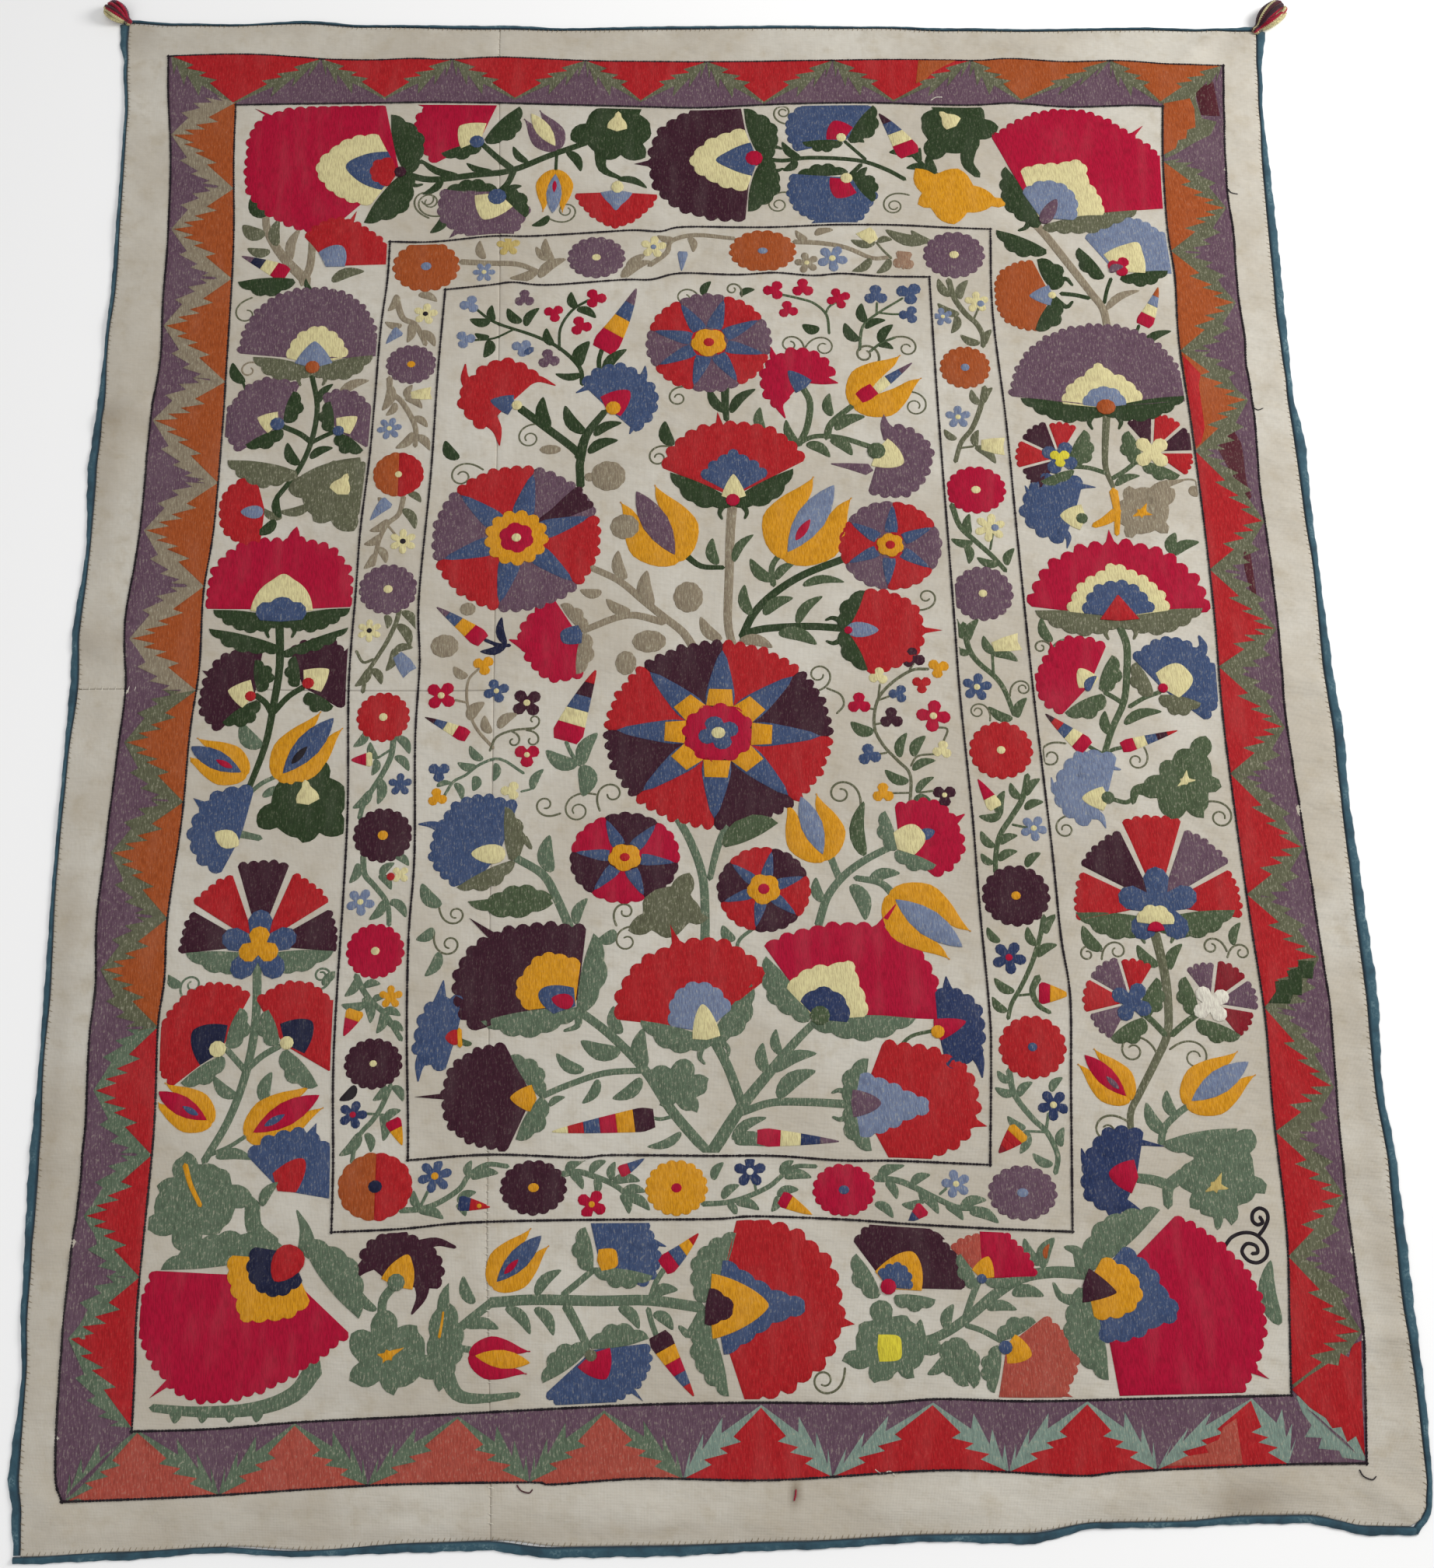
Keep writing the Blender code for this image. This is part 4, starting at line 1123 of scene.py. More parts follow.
def wide_border_left():
    """The left side of the wide border, from the top down."""
    stroke("taupe", [(-41.2, 126.0), (-43.8, 129.0), (-45.6, 132.2), (-46.0, 135.4)], 1.2, 0.7)
    leaf("green", -45.9, 134.0, 125, 3.0, 1.5)
    leaf("olive", -45.9, 131.6, 150, 2.8, 1.7)
    leaf("olive", -44.6, 130.3, 88, 3.4, 1.3)
    leaf("taupe", -43.0, 128.6, 78, 4.0, 1.1)
    leaf("olive", -45.2, 129.6, 168, 2.5, 1.2)
    stroke("taupe", [(-41.6, 125.8), (-40.9, 128.0), (-40.8, 131.6)], 0.9, 0.8)
    fan("red", -38.7, 127.9, 56, 5.6, (5.6, 4.4), -56, 74, 2.8, 13, 0.3, 0.0, (14, 1.2))
    inner_fan("pale_blue", 1, -39.2, 127.8, 58, 2.9, 1.8, -60, 60, 1.8)
    leaf("olive", -38.6, 126.0, 18, 3.6, 1.3)
    bud(-43.3, 126.8, 151, 5.4, 2.2, ("crimson", "cream", "navy", "mauve"), 0.05)
    sepal("green", -42.6, 126.2, 182, 5.8, 1.7, 1, 4)
    tendril("olive", -46.8, 124.1, 205, 6.4, 360, 0.22)
    leaf("green", -40.7, 124.9, 112, 1.6, 0.6)
    fan("mauve", -40.3, 116.6, 90, 8.4, (6.8, 7.4), -88, 84, 2.3, 25, 0.34)
    fan("cream", -39.8, 116.0, 90, 4.1, (3.2, 3.0), -76, 76, 2.2, 8, 0.24, 0.08, level=1)
    inner_fan("pale_blue", 2, -40.0, 115.6, 90, 3.1, 2.1, -76, 76, 1.3)
    disc("rust", 3, -40.1, 115.6, 0.75)
    calyx("olive", -40.1, 115.4, 90, 6.4, 1.9, 76, 5, 1.1)
    stroke("green", [(-40.2, 115.0), (-39.4, 111.0), (-39.8, 107.0), (-41.0, 103.6), (-43.0, 100.6)], 0.55)
    leaf("green", -39.4, 111.4, 56, 2.7, 0.9)
    stroke("olive", [(-37.4, 111.9), (-36.6, 113.0), (-35.4, 113.9)], 0.35)
    leaf("taupe", -37.2, 112.4, 28, 3.4, 1.1)
    stroke("green", [(-46.6, 112.4), (-47.3, 114.2)], 0.3)
    leaf("green", -47.1, 113.8, 118, 2.8, 1.2)
    tendril("taupe", -45.0, 115.4, 130, 5.6, 400, 0.22)
    fan("mauve", -43.2, 108.9, 148, 5.5, (4.8, 4.6), -80, 70, 2.6, 14, 0.28)
    inner_fan("cream", 1, -43.4, 109.0, 160, 2.2, 1.5, -70, 70, 1.3)
    disc("blue", 2, -43.4, 109.0, 0.75)
    sepal("green", -42.7, 109.3, 78, 3.6, 1.4, -1, 3)
    sepal("green", -43.0, 108.4, 206, 4.0, 1.3, 1, 3)
    fan("mauve", -37.3, 108.4, 36, 4.1, (3.6, 4.0), -72, 78, 2.8, 11, 0.26)
    inner_fan("cream", 1, -37.2, 108.2, 38, 2.5, 1.4, -60, 60, 1.3)
    disc("blue", 2, -37.1, 108.1, 0.6)
    sepal("green", -37.7, 108.2, 96, 3.4, 1.2, 1, 3)
    sepal("green", -37.0, 107.8, 322, 3.2, 1.4, -1, 3)
    stroke("green", [(-39.8, 106.8), (-41.0, 107.8), (-42.8, 108.7)], 0.6)
    stroke("green", [(-39.8, 106.8), (-38.6, 107.5), (-37.4, 108.1)], 0.5)
    leaf("green", -41.0, 104.2, 116, 2.9, 1.2)
    leaf("green", -39.9, 105.0, 27, 2.6, 1.0)
    sepal("olive", -41.2, 103.4, 168, 7.2, 2.2, 1, 6)
    sepal("olive", -40.6, 102.9, 20, 6.2, 2.4, -1, 6)
    fan("red", -44.3, 99.2, 188, 4.3, (3.8, 3.8), -84, 80, 2.4, 11, 0.3, 0.0, (-70, 0.8))
    leaf("pale_blue", -44.3, 98.9, 178, 2.3, 1.5, 1.0, 0.0)
    leaf("green", -42.6, 98.2, 96, 2.9, 0.9)
    leaf("olive", -42.4, 98.2, 150, 2.4, 0.9)
    leaf("green", -43.0, 98.0, 218, 2.6, 1.2)
    leaf_flower("olive", -38.4, 99.2, 48, 5.4, 5, "cream")
    leaf("olive", -39.6, 99.6, 192, 3.2, 1.1)
    fan("crimson", -42.1, 88.1, 90, 7.5, (7.0, 7.2), -89, 89, 2.8, 20, 0.5)
    leaf("crimson", -42.0, 94.6, 66, 2.9, 1.2, 0.2, -0.1, 0.4)
    inner_fan("cream", 1, -41.9, 87.6, 90, 3.9, 3.1, -84, 84, 2.0, 0.12)
    fan("blue", -41.9, 86.8, 90, 2.2, 2.1, -88, 88, 2.6, 3, 0.5, level=2)
    calyx("green", -41.9, 86.9, 90, 6.9, 1.7, 80, 6, 1.1)
    stroke("green", [(-42.1, 87.2), (-41.8, 82.0), (-42.2, 77.6), (-42.8, 73.4), (-44.2, 68.8)], 0.85, 0.6)
    sepal("green", -41.9, 84.0, 164, 7.4, 1.4, 1, 5)
    sepal("green", -41.6, 83.4, 22, 6.9, 1.0, -1, 5)
    fan("aubergine", -44.2, 78.8, 166, 5.0, (4.6, 4.4), -84, 64, 2.6, 12, 0.34, 0.0, (-12, 0.8))
    inner_fan("cream", 1, -44.2, 78.8, 168, 2.6, 1.8, -66, 66, 1.3)
    disc("red", 2, -44.5, 78.7, 0.55)
    sepal("green", -43.7, 79.2, 100, 3.4, 1.5, -1, 4)
    sepal("green", -43.8, 78.2, 214, 4.0, 1.5, 1, 4)
    fan("aubergine", -39.3, 79.7, 32, 5.2, (3.8, 4.2), -66, 80, 3.0, 13, 0.3, 0.0, (10, 0.6))
    inner_fan("cream", 1, -39.2, 79.7, 38, 2.9, 1.8, -60, 60, 1.3)
    disc("red", 2, -38.9, 80.0, 0.6)
    sepal("green", -39.8, 79.8, 98, 3.2, 1.1, 1, 3)
    sepal("green", -38.9, 79.0, 330, 3.0, 1.3, -1, 3)
    stroke("green", [(-42.3, 76.8), (-43.0, 78.0), (-44.0, 78.8)], 0.6)
    stroke("green", [(-42.1, 77.0), (-40.8, 78.6), (-39.4, 79.6)], 0.6)
    leaf("sage", -43.2, 73.2, 128, 3.4, 1.7)
    tulip(-44.4, 70.4, 152, 6.2, "gold", "blue", "crimson", 0.95)
    tulip(-41.4, 69.9, 51, 7.8, "gold", "blue", "ink", 0.95)
    stroke("sage", [(-44.0, 68.6), (-42.8, 69.6), (-41.2, 70.4)], 0.45)
    leaf("sage", -42.8, 68.2, 14, 2.6, 0.9)
    fan("blue", -44.7, 64.2, 163, 4.7, (4.8, 4.0), -86, 84, 2.2, 9, 0.4, 0.0, (-24, 1.0))
    leaf("cream", -44.8, 63.2, 150, 2.7, 1.9, 1.0, 0.0, 0.5)
    stroke("sage", [(-44.9, 64.4), (-42.8, 63.9)], 0.8, 0.6)
    leaf_flower("green", -38.7, 65.0, 80, 5.6, 5, "cream")
    carnation(
        -42.3, 53.0, 90, 8.4, ("aubergine", "red", "aubergine", "red", "aubergine"), 194, ("blue", "gold"),
    )
    calyx("sage", -42.2, 52.0, 90, 7.0, 1.7, 86, 4, 1.1)
    tendril("sage", -36.6, 48.6, 24, 6.6, 560, 0.24)
    leaf("sage", -36.2, 49.2, 32, 2.2, 0.9)
    tendril("sage", -49.0, 47.8, 120, 6.4, -480, 0.24)
    leaf("sage", -49.4, 49.2, 140, 1.8, 1.0)
    stroke("sage", [(-42.4, 52.0), (-42.2, 46.0), (-42.8, 41.0), (-44.2, 36.4), (-46.2, 32.6)], 0.85, 0.7)
    fan("red", -45.3, 43.2, 148, 6.0, (5.6, 5.2), -84, 72, 2.6, 18, 0.28)
    inner_fan("navy", 1, -45.2, 43.0, 146, 3.4, 2.4, -66, 70, 1.6)
    disc("cream", 2, -45.6, 43.1, 0.8)
    sepal("sage", -44.8, 43.4, 74, 3.8, 1.5, -1, 3)
    sepal("sage", -45.2, 42.4, 214, 4.4, 1.4, 1, 3)
    fan("red", -39.4, 43.5, 42, 5.8, (4.8, 5.0), -74, 82, 2.8, 16, 0.26)
    inner_fan("navy", 1, -39.3, 43.5, 42, 3.2, 2.0, -70, 66, 1.6)
    disc("cream", 2, -39.2, 43.6, 0.65)
    sepal("sage", -40.0, 43.6, 108, 3.4, 1.4, 1, 3)
    sepal("sage", -39.2, 42.9, 312, 4.6, 1.6, -1, 3)
    stroke("sage", [(-42.9, 41.0), (-43.8, 42.0), (-44.7, 43.0)], 0.6)
    stroke("sage", [(-42.7, 41.2), (-41.4, 42.4), (-39.9, 43.3)], 0.6)
    leaf("sage", -43.6, 38.5, 138, 3.0, 1.2)
    leaf("sage", -41.0, 37.9, 80, 3.0, 1.3)
    tulip(-45.7, 36.1, 150, 5.8, "gold", "crimson", "blue", 0.95)
    tulip(-42.5, 34.8, 30, 7.2, "gold", "crimson", "blue", 0.9)
    stroke("sage", [(-45.6, 33.2), (-44.0, 33.9), (-42.6, 34.8)], 0.4)
    leaf("sage", -45.2, 33.0, 355, 3.4, 1.1)
    leaf_flower("sage", -46.4, 31.2, 262, 5.4, 6, None)
    stroke("gold", [(-47.9, 32.2), (-47.3, 30.4), (-46.3, 28.5)], 0.5, 0.4, 1.4)
    fan("blue", -39.1, 29.9, 52, 5.6, (5.2, 4.4), -62, 84, 2.2, 9, 0.4, 0.0, (12, 0.9))
    inner_fan("red", 1, -39.3, 29.8, 52, 3.6, 1.5, -60, 60, 1.8)
    leaf("sage", -40.8, 28.4, 56, 2.6, 1.0, 1.4)


def wide_border_right():
    """The right side of the wide border, from the top down."""
    stroke(
        "taupe", [(35.4, 132.0), (36.8, 130.0), (39.6, 125.4), (40.9, 123.2), (42.0, 121.3), (42.3, 119.0)],
        0.9, 0.8,
    )
    sepal("green", 36.5, 128.5, 153, 5.7, 1.7, 1, 4)
    fan("pale_blue", 43.6, 125.9, 50, 6.8, (6.4, 4.8), -54, 76, (3.0, 2.4), 15, 0.24)
    inner_fan("cream", 1, 43.8, 125.9, 54, 3.8, (3.0, 2.3), -62, 70, 1.6, 0.1)
    petals("crimson", 2, 44.1, 126.4, 1.25, 3, 50, 0.5)
    leaf("mauve", 43.0, 125.8, 20, 1.6, 0.9, 3)
    sepal("green", 42.4, 125.2, 124, 4.3, 1.3, 1, 3)
    sepal("green", 44.2, 125.1, 8, 5.0, 1.3, -1, 4)
    stroke("green", [(43.1, 124.9), (42.6, 123.6), (42.2, 122.0)], 0.4)
    leaf("taupe", 42.3, 121.2, 31, 4.3, 0.9)
    fan("rust", 36.5, 123.2, 182, 5.5, (4.1, 4.3), -72, 72, 2.8, 17, 0.24)
    inner_fan("pale_blue", 1, 36.8, 123.0, 181, 2.4, 1.3, -80, 80, 1.3)
    disc("cream", 2, 36.8, 123.0, 0.42)
    sepal("green", 37.0, 123.7, 112, 4.0, 1.9, -1, 3)
    sepal("green", 37.0, 122.4, 238, 4.2, 1.7, 1, 3)
    stroke("green", [(37.0, 124.0), (38.3, 125.0), (39.0, 124.2)], 0.8, 0.3)
    stroke("green", [(37.0, 122.6), (38.2, 121.6), (38.9, 122.2)], 0.8, 0.3)
    stroke("green", [(37.8, 123.2), (39.2, 123.0), (40.6, 122.6)], 0.5)
    bud(46.0, 119.2, 60, 4.9, 2.0, ("crimson", "cream", "pale_blue", "rust"))
    stroke("green", [(45.6, 119.2), (45.2, 118.2), (44.8, 117.2)], 0.35)
    leaf("green", 45.8, 116.7, 30, 3.6, 1.0)
    fan("mauve", 41.3, 109.7, 90, 9.5, (8.5, 9.4), -87, 82, 2.2, 29, 0.36)
    fan("cream", 41.2, 109.6, 92, 4.0, 4.1, -82, 82, 2.0, 9, 0.26, 0.26, level=1)
    fan("pale_blue", 41.4, 109.6, 90, 2.3, 2.2, -84, 84, 2.0, 5, 0.16, level=2)
    disc("rust", 3, 41.5, 109.6, 1.0, tall=0.9)
    calyx("green", 41.3, 109.3, 90, 8.6, 1.9, 80, 6, 1.3)
    stroke("olive", [(41.5, 108.6), (41.1, 105.0), (41.0, 102.6), (41.6, 100.4)], 0.8, 0.5)
    carnation(
        36.4, 103.8, 150, 4.5, ("red", "aubergine", "red", "aubergine"), 182, ("blue", "lemon"), 4, 0.26,
        0.16, 4,
    )
    sepal("moss", 37.2, 102.8, 66, 4.6, 1.7, -1, 4)
    sepal("moss", 37.6, 102.4, 200, 3.6, 0.9, 1, 2)
    stroke("moss", [(37.8, 102.8), (39.4, 102.6), (41.0, 102.0)], 0.5)
    carnation(
        45.8, 104.3, 42, 4.6, ("red", "aubergine", "red", "aubergine"), 168, ("cream",), 4, 0.26, 0.2, 5,
    )
    sepal("moss", 44.8, 103.2, 108, 3.8, 1.5, 1, 3)
    sepal("moss", 45.0, 103.2, 336, 3.8, 1.2, -1, 3)
    stroke("moss", [(41.6, 101.4), (43.0, 102.3), (44.5, 103.6)], 0.5)
    leaf("moss", 41.8, 100.6, 22, 2.8, 0.9)
    fan("blue", 37.4, 97.4, 156, 5.0, (3.8, 3.4), -84, 92, 2.8, 9, 0.42)
    stroke("blue", [(33.8, 99.2), (33.1, 99.8), (32.7, 100.7)], 1.1, 0.1, 0)
    stroke("blue", [(36.6, 99.8), (38.2, 100.5), (39.8, 100.4)], 1.3, 0.1, 0)
    stroke("blue", [(36.0, 95.6), (36.7, 94.8), (36.5, 93.6)], 1.2, 0.1, 0)
    inner_fan("cream", 1, 38.5, 97.0, 174, 2.5, 1.5, -74, 74, 1.5)
    disc("moss", 2, 38.2, 96.9, 0.6)
    stroke("gold", [(41.6, 99.9), (41.8, 97.5), (41.6, 95.1)], 0.9, 0.5, 0.5)
    stroke("gold", [(39.4, 96.1), (40.5, 96.6), (41.7, 97.4)], 0.6, 1.3, 0.4)
    star("taupe", 0, 43.9, 97.6, 33, (4.6, 2.7, 2.6, 3.0, 3.4), 0.7, 2, 0.2)
    stroke("taupe", [(45.6, 99.2), (46.6, 100.5), (48.8, 101.1)], 2.0, 0.2, 0)
    star("gold", 1, 44.2, 97.4, 60, (1.3, 0.6, 1.1, 0.6, 1.2), 0.4, 1, 0.02)
    tendril("taupe", 48.6, 101.1, 8, 6.6, -500, 0.22)
    leaf("moss", 47.0, 92.7, 80, 2.5, 1.3)
    leaf("moss", 46.9, 92.7, 26, 3.2, 1.2)
    fan("crimson", 41.1, 86.0, 90, 7.9, (8.8, 8.6), -88, 82, 2.1, 16, 0.62, 0.0, (2, 1.2))
    fan("cream", 41.2, 86.0, 90, 4.9, 4.9, -84, 84, 2.0, 12, 0.36, 0.14, level=1)
    fan("blue", 41.1, 86.0, 90, 3.7, 3.4, -84, 84, 2.0, 8, 0.34, level=2)
    inner_fan("red", 3, 41.2, 85.6, 90, 2.8, 2.0, -88, 88, 1.0)
    calyx("olive", 41.2, 85.6, 90, 8.4, 2.0, 82, 6, 1.2)
    stroke(
        "moss", [(41.2, 84.8), (41.7, 82.8), (41.5, 80.1), (41.0, 76.9), (39.6, 73.9), (38.3, 70.2)], 0.8,
        0.6,
    )
    leaf("moss", 34.3, 83.3, 108, 2.8, 1.1)
    tendril("olive", 34.4, 82.6, 120, 4.2, 420, 0.22)
    tendril("olive", 34.4, 82.8, 48, 5.4, -440, 0.22)
    fan("crimson", 37.6, 78.6, 148, 4.9, (4.6, 4.0), -84, 80, 2.8, 13, 0.34)
    stroke("crimson", [(34.8, 81.0), (34.4, 82.0), (34.2, 83.3)], 1.5, 0.1, 0)
    inner_fan("cream", 1, 37.9, 78.4, 118, 2.3, 1.2, -66, 66, 1.6)
    leaf("blue", 37.4, 78.0, 56, 1.9, 0.9, 2)
    sepal("moss", 38.7, 78.2, 68, 3.9, 1.5, -1, 3)
    sepal("moss", 38.9, 77.6, 206, 4.2, 1.6, 1, 3)
    stroke("moss", [(39.2, 77.8), (40.0, 77.3), (40.8, 76.7)], 0.5)
    fan("blue", 44.9, 78.2, 44, 5.4, (5.0, 4.2), -86, 86, 2.8, 14, 0.3)
    stroke("blue", [(48.6, 81.6), (49.2, 82.6), (48.9, 83.7)], 1.5, 0.3, 0)
    inner_fan("cream", 1, 45.0, 78.2, 38, 3.1, 1.7, -76, 76, 3.2)
    disc("crimson", 2, 44.9, 78.2, 0.5)
    sepal("olive", 43.9, 77.6, 112, 3.7, 1.4, 1, 3)
    sepal("olive", 44.6, 77.4, 348, 4.0, 1.6, -1, 4)
    stroke("moss", [(44.6, 77.8), (43.0, 77.2), (41.5, 76.3)], 0.45)
    leaf("moss", 39.4, 73.3, 98, 2.6, 1.1)
    leaf("moss", 40.8, 74.5, 18, 4.0, 1.1)
    bud(37.1, 72.0, 139, 5.3, 2.1, ("crimson", "cream", "blue", "red", "aubergine"), -0.04)
    bud(40.4, 72.0, 17, 5.8, 1.5, ("crimson", "cream", "blue", "aubergine", "red"), 0.0)
    stroke("moss", [(37.2, 72.2), (37.8, 71.8), (38.6, 71.3)], 0.4)
    stroke("moss", [(40.4, 72.0), (39.6, 71.8), (38.6, 71.3)], 0.4)
    tendril("olive", 35.0, 72.5, 170, 7.8, 480, 0.22)
    tendril("olive", 42.6, 72.0, 290, 5.8, -440, 0.22)
    fan("pale_blue", 38.5, 66.8, 150, 4.9, (4.2, 3.4), -78, 86, 2.8, 9, 0.34)
    stroke("pale_blue", [(36.6, 69.4), (38.2, 70.1), (40.1, 69.7)], 1.7, 0.2, 0)
    stroke("pale_blue", [(34.3, 67.0), (33.6, 67.8), (33.4, 69.0)], 0.9, 0.1, 0)
    stroke("pale_blue", [(37.0, 65.3), (37.9, 64.8), (38.3, 63.7)], 1.4, 0.1, 0)
    inner_fan("cream", 1, 38.7, 66.7, 178, 2.5, 1.3, -70, 70, 1.5)
    disc("moss", 2, 38.7, 66.8, 0.65)
    stroke("moss", [(39.3, 66.6), (40.4, 66.3), (41.2, 66.7)], 0.45)
    star("moss", 0, 45.9, 67.9, 62, (5.9, 2.8, 4.0, 3.6, 3.6, 3.4), 0.68, 2, 0.26)
    stroke("moss", [(42.9, 67.6), (41.5, 67.5), (41.1, 66.3)], 1.5, 0.5, 0)
    star("cream", 1, 46.2, 68.4, 75, (1.2, 0.5, 1.0, 0.5, 1.2), 0.4, 1, 0.02)
    tendril("olive", 47.8, 66.2, 8, 8.6, -500, 0.22)
    tendril("olive", 35.4, 65.1, 184, 6.6, 480, 0.22)
    carnation(
        42.7, 55.8, 90, 8.9, ("red", "mauve", "red", "aubergine", "red"), 204, ("blue",), 6, 0.3, 0.12, 4,
    )
    fan("cream", 42.3, 54.0, 86, 1.7, 1.7, -88, 88, 2.2, 4, 0.2, level=3)
    inner_fan("crimson", 4, 42.3, 53.3, 90, 0.9, 0.8, -88, 88, 2.0)
    calyx("moss", 42.4, 54.2, 90, 7.6, 2.0, 82, 5, 1.2)
    stroke(
        "olive",
        [
            (42.2, 53.0), (42.5, 51.2), (42.8, 49.0), (42.9, 46.4), (42.6, 43.3), (41.2, 40.5), (39.6, 37.7),
            (38.6, 35.7), (38.6, 33.0),
        ], 0.95, 0.6,
    )
    leaf("moss", 42.2, 49.8, 130, 2.8, 1.2)
    leaf("moss", 43.2, 49.5, 60, 2.9, 1.1)
    leaf("moss", 37.0, 51.4, 122, 3.0, 1.3)
    tendril("olive", 37.0, 51.4, 140, 4.8, 440, 0.22)
    tendril("olive", 37.0, 50.6, 80, 6.0, -440, 0.22)
    leaf("moss", 49.4, 51.8, 68, 2.4, 0.9)
    tendril("olive", 48.8, 51.2, 110, 5.4, 440, 0.22)
    tendril("olive", 48.8, 50.6, 70, 5.2, -440, 0.22)
    carnation(39.5, 46.4, 148, 4.6, ("red", "mauve", "red", "mauve"), 184, ("blue",), 4, 0.26, 0.14, 4)
    sepal("moss", 40.1, 45.2, 62, 4.0, 1.5, -1, 4)
    sepal("moss", 40.4, 44.8, 210, 3.6, 1.5, 1, 3)
    stroke("moss", [(40.6, 45.2), (41.4, 44.4), (42.4, 43.2)], 0.6)
    carnation(
        46.9, 46.1, 34, 4.4, ("maroon_red", "mauve", "maroon_red", "mauve"), 180, ("white",), 4, 0.26, 0.2,
        5,
    )
    sepal("moss", 45.6, 45.3, 104, 3.6, 1.3, 1, 3)
    sepal("moss", 45.6, 44.6, 338, 4.1, 1.4, -1, 3)
    stroke("moss", [(46.0, 45.4), (44.6, 44.5), (43.0, 43.2)], 0.6)
    tendril("olive", 41.6, 41.1, 112, 9.4, 500, 0.22)
    tendril("olive", 42.7, 41.8, 34, 9.4, -500, 0.22)
    tulip(38.7, 37.0, 132, 5.6, "gold", "crimson", "mauve")
    tulip(43.7, 36.5, 33, 7.0, "gold", "pale_blue", None)
    stroke("sage", [(44.2, 36.6), (42.8, 35.6), (41.6, 34.4), (41.2, 33.0)], 0.6, 0.7)
    leaf("sage", 41.7, 33.8, 118, 3.4, 1.3)
    leaf("sage", 42.7, 35.4, 104, 2.6, 1.1)
    tendril("olive", 38.4, 35.0, 148, 8.0, 460, 0.22)
    fan("navy_blue", 38.6, 29.7, 160, 4.6, (4.4, 3.7), -84, 84, 2.8, 10, 0.34)
    stroke("navy_blue", [(36.4, 32.2), (38.6, 33.1), (41.4, 32.7)], 1.5, 0.1, 0)
    stroke("navy_blue", [(35.0, 30.2), (34.2, 31.4), (33.9, 32.6)], 1.5, 0.1, 0)
    stroke("navy_blue", [(36.8, 27.6), (38.2, 27.0), (39.6, 26.1)], 1.6, 0.1, 0)
    inner_fan("crimson", 1, 38.8, 29.9, 172, 2.6, 1.6, -76, 76, 1.6)
    stroke("sage", [(38.8, 29.8), (40.2, 29.6), (41.4, 29.2)], 0.9, 1.0)
    star("sage", 0, 45.6, 29.4, 50, (6.2, 3.4, 3.2, 3.0, 4.0, 4.6), 0.68, 2, 0.26)
    stroke("sage", [(43.0, 30.0), (41.6, 29.0), (41.4, 27.3)], 1.3, 0.8, 0)
    stroke("sage", [(44.8, 27.2), (45.8, 26.4), (45.7, 25.2)], 1.8, 0.5, 0)
    star("straw", 1, 45.8, 28.9, 62, (1.5, 0.6, 1.2, 0.6, 1.3), 0.4, 1, 0.02)
    sepal("sage", 41.6, 33.1, 10, 6.8, 1.7, -1, 4)
    stroke(
        "ink",
        [
            (49.4, 24.5), (49.9, 25.1), (50.3, 25.9), (50.2, 26.6), (49.6, 26.9), (49.0, 26.5), (48.9, 25.8),
            (49.3, 25.4), (49.8, 25.6), (49.6, 26.1),
        ],
        0.34,
    )
    stroke(
        "ink",
        [
            (46.2, 23.5), (46.9, 24.3), (48.0, 24.7), (49.1, 24.5), (49.9, 23.6), (49.9, 22.6), (49.1, 22.0),
            (48.2, 22.2), (47.7, 23.0), (48.2, 23.7), (49.0, 23.5), (49.1, 22.9), (48.6, 22.8),
        ],
        0.34,
    )


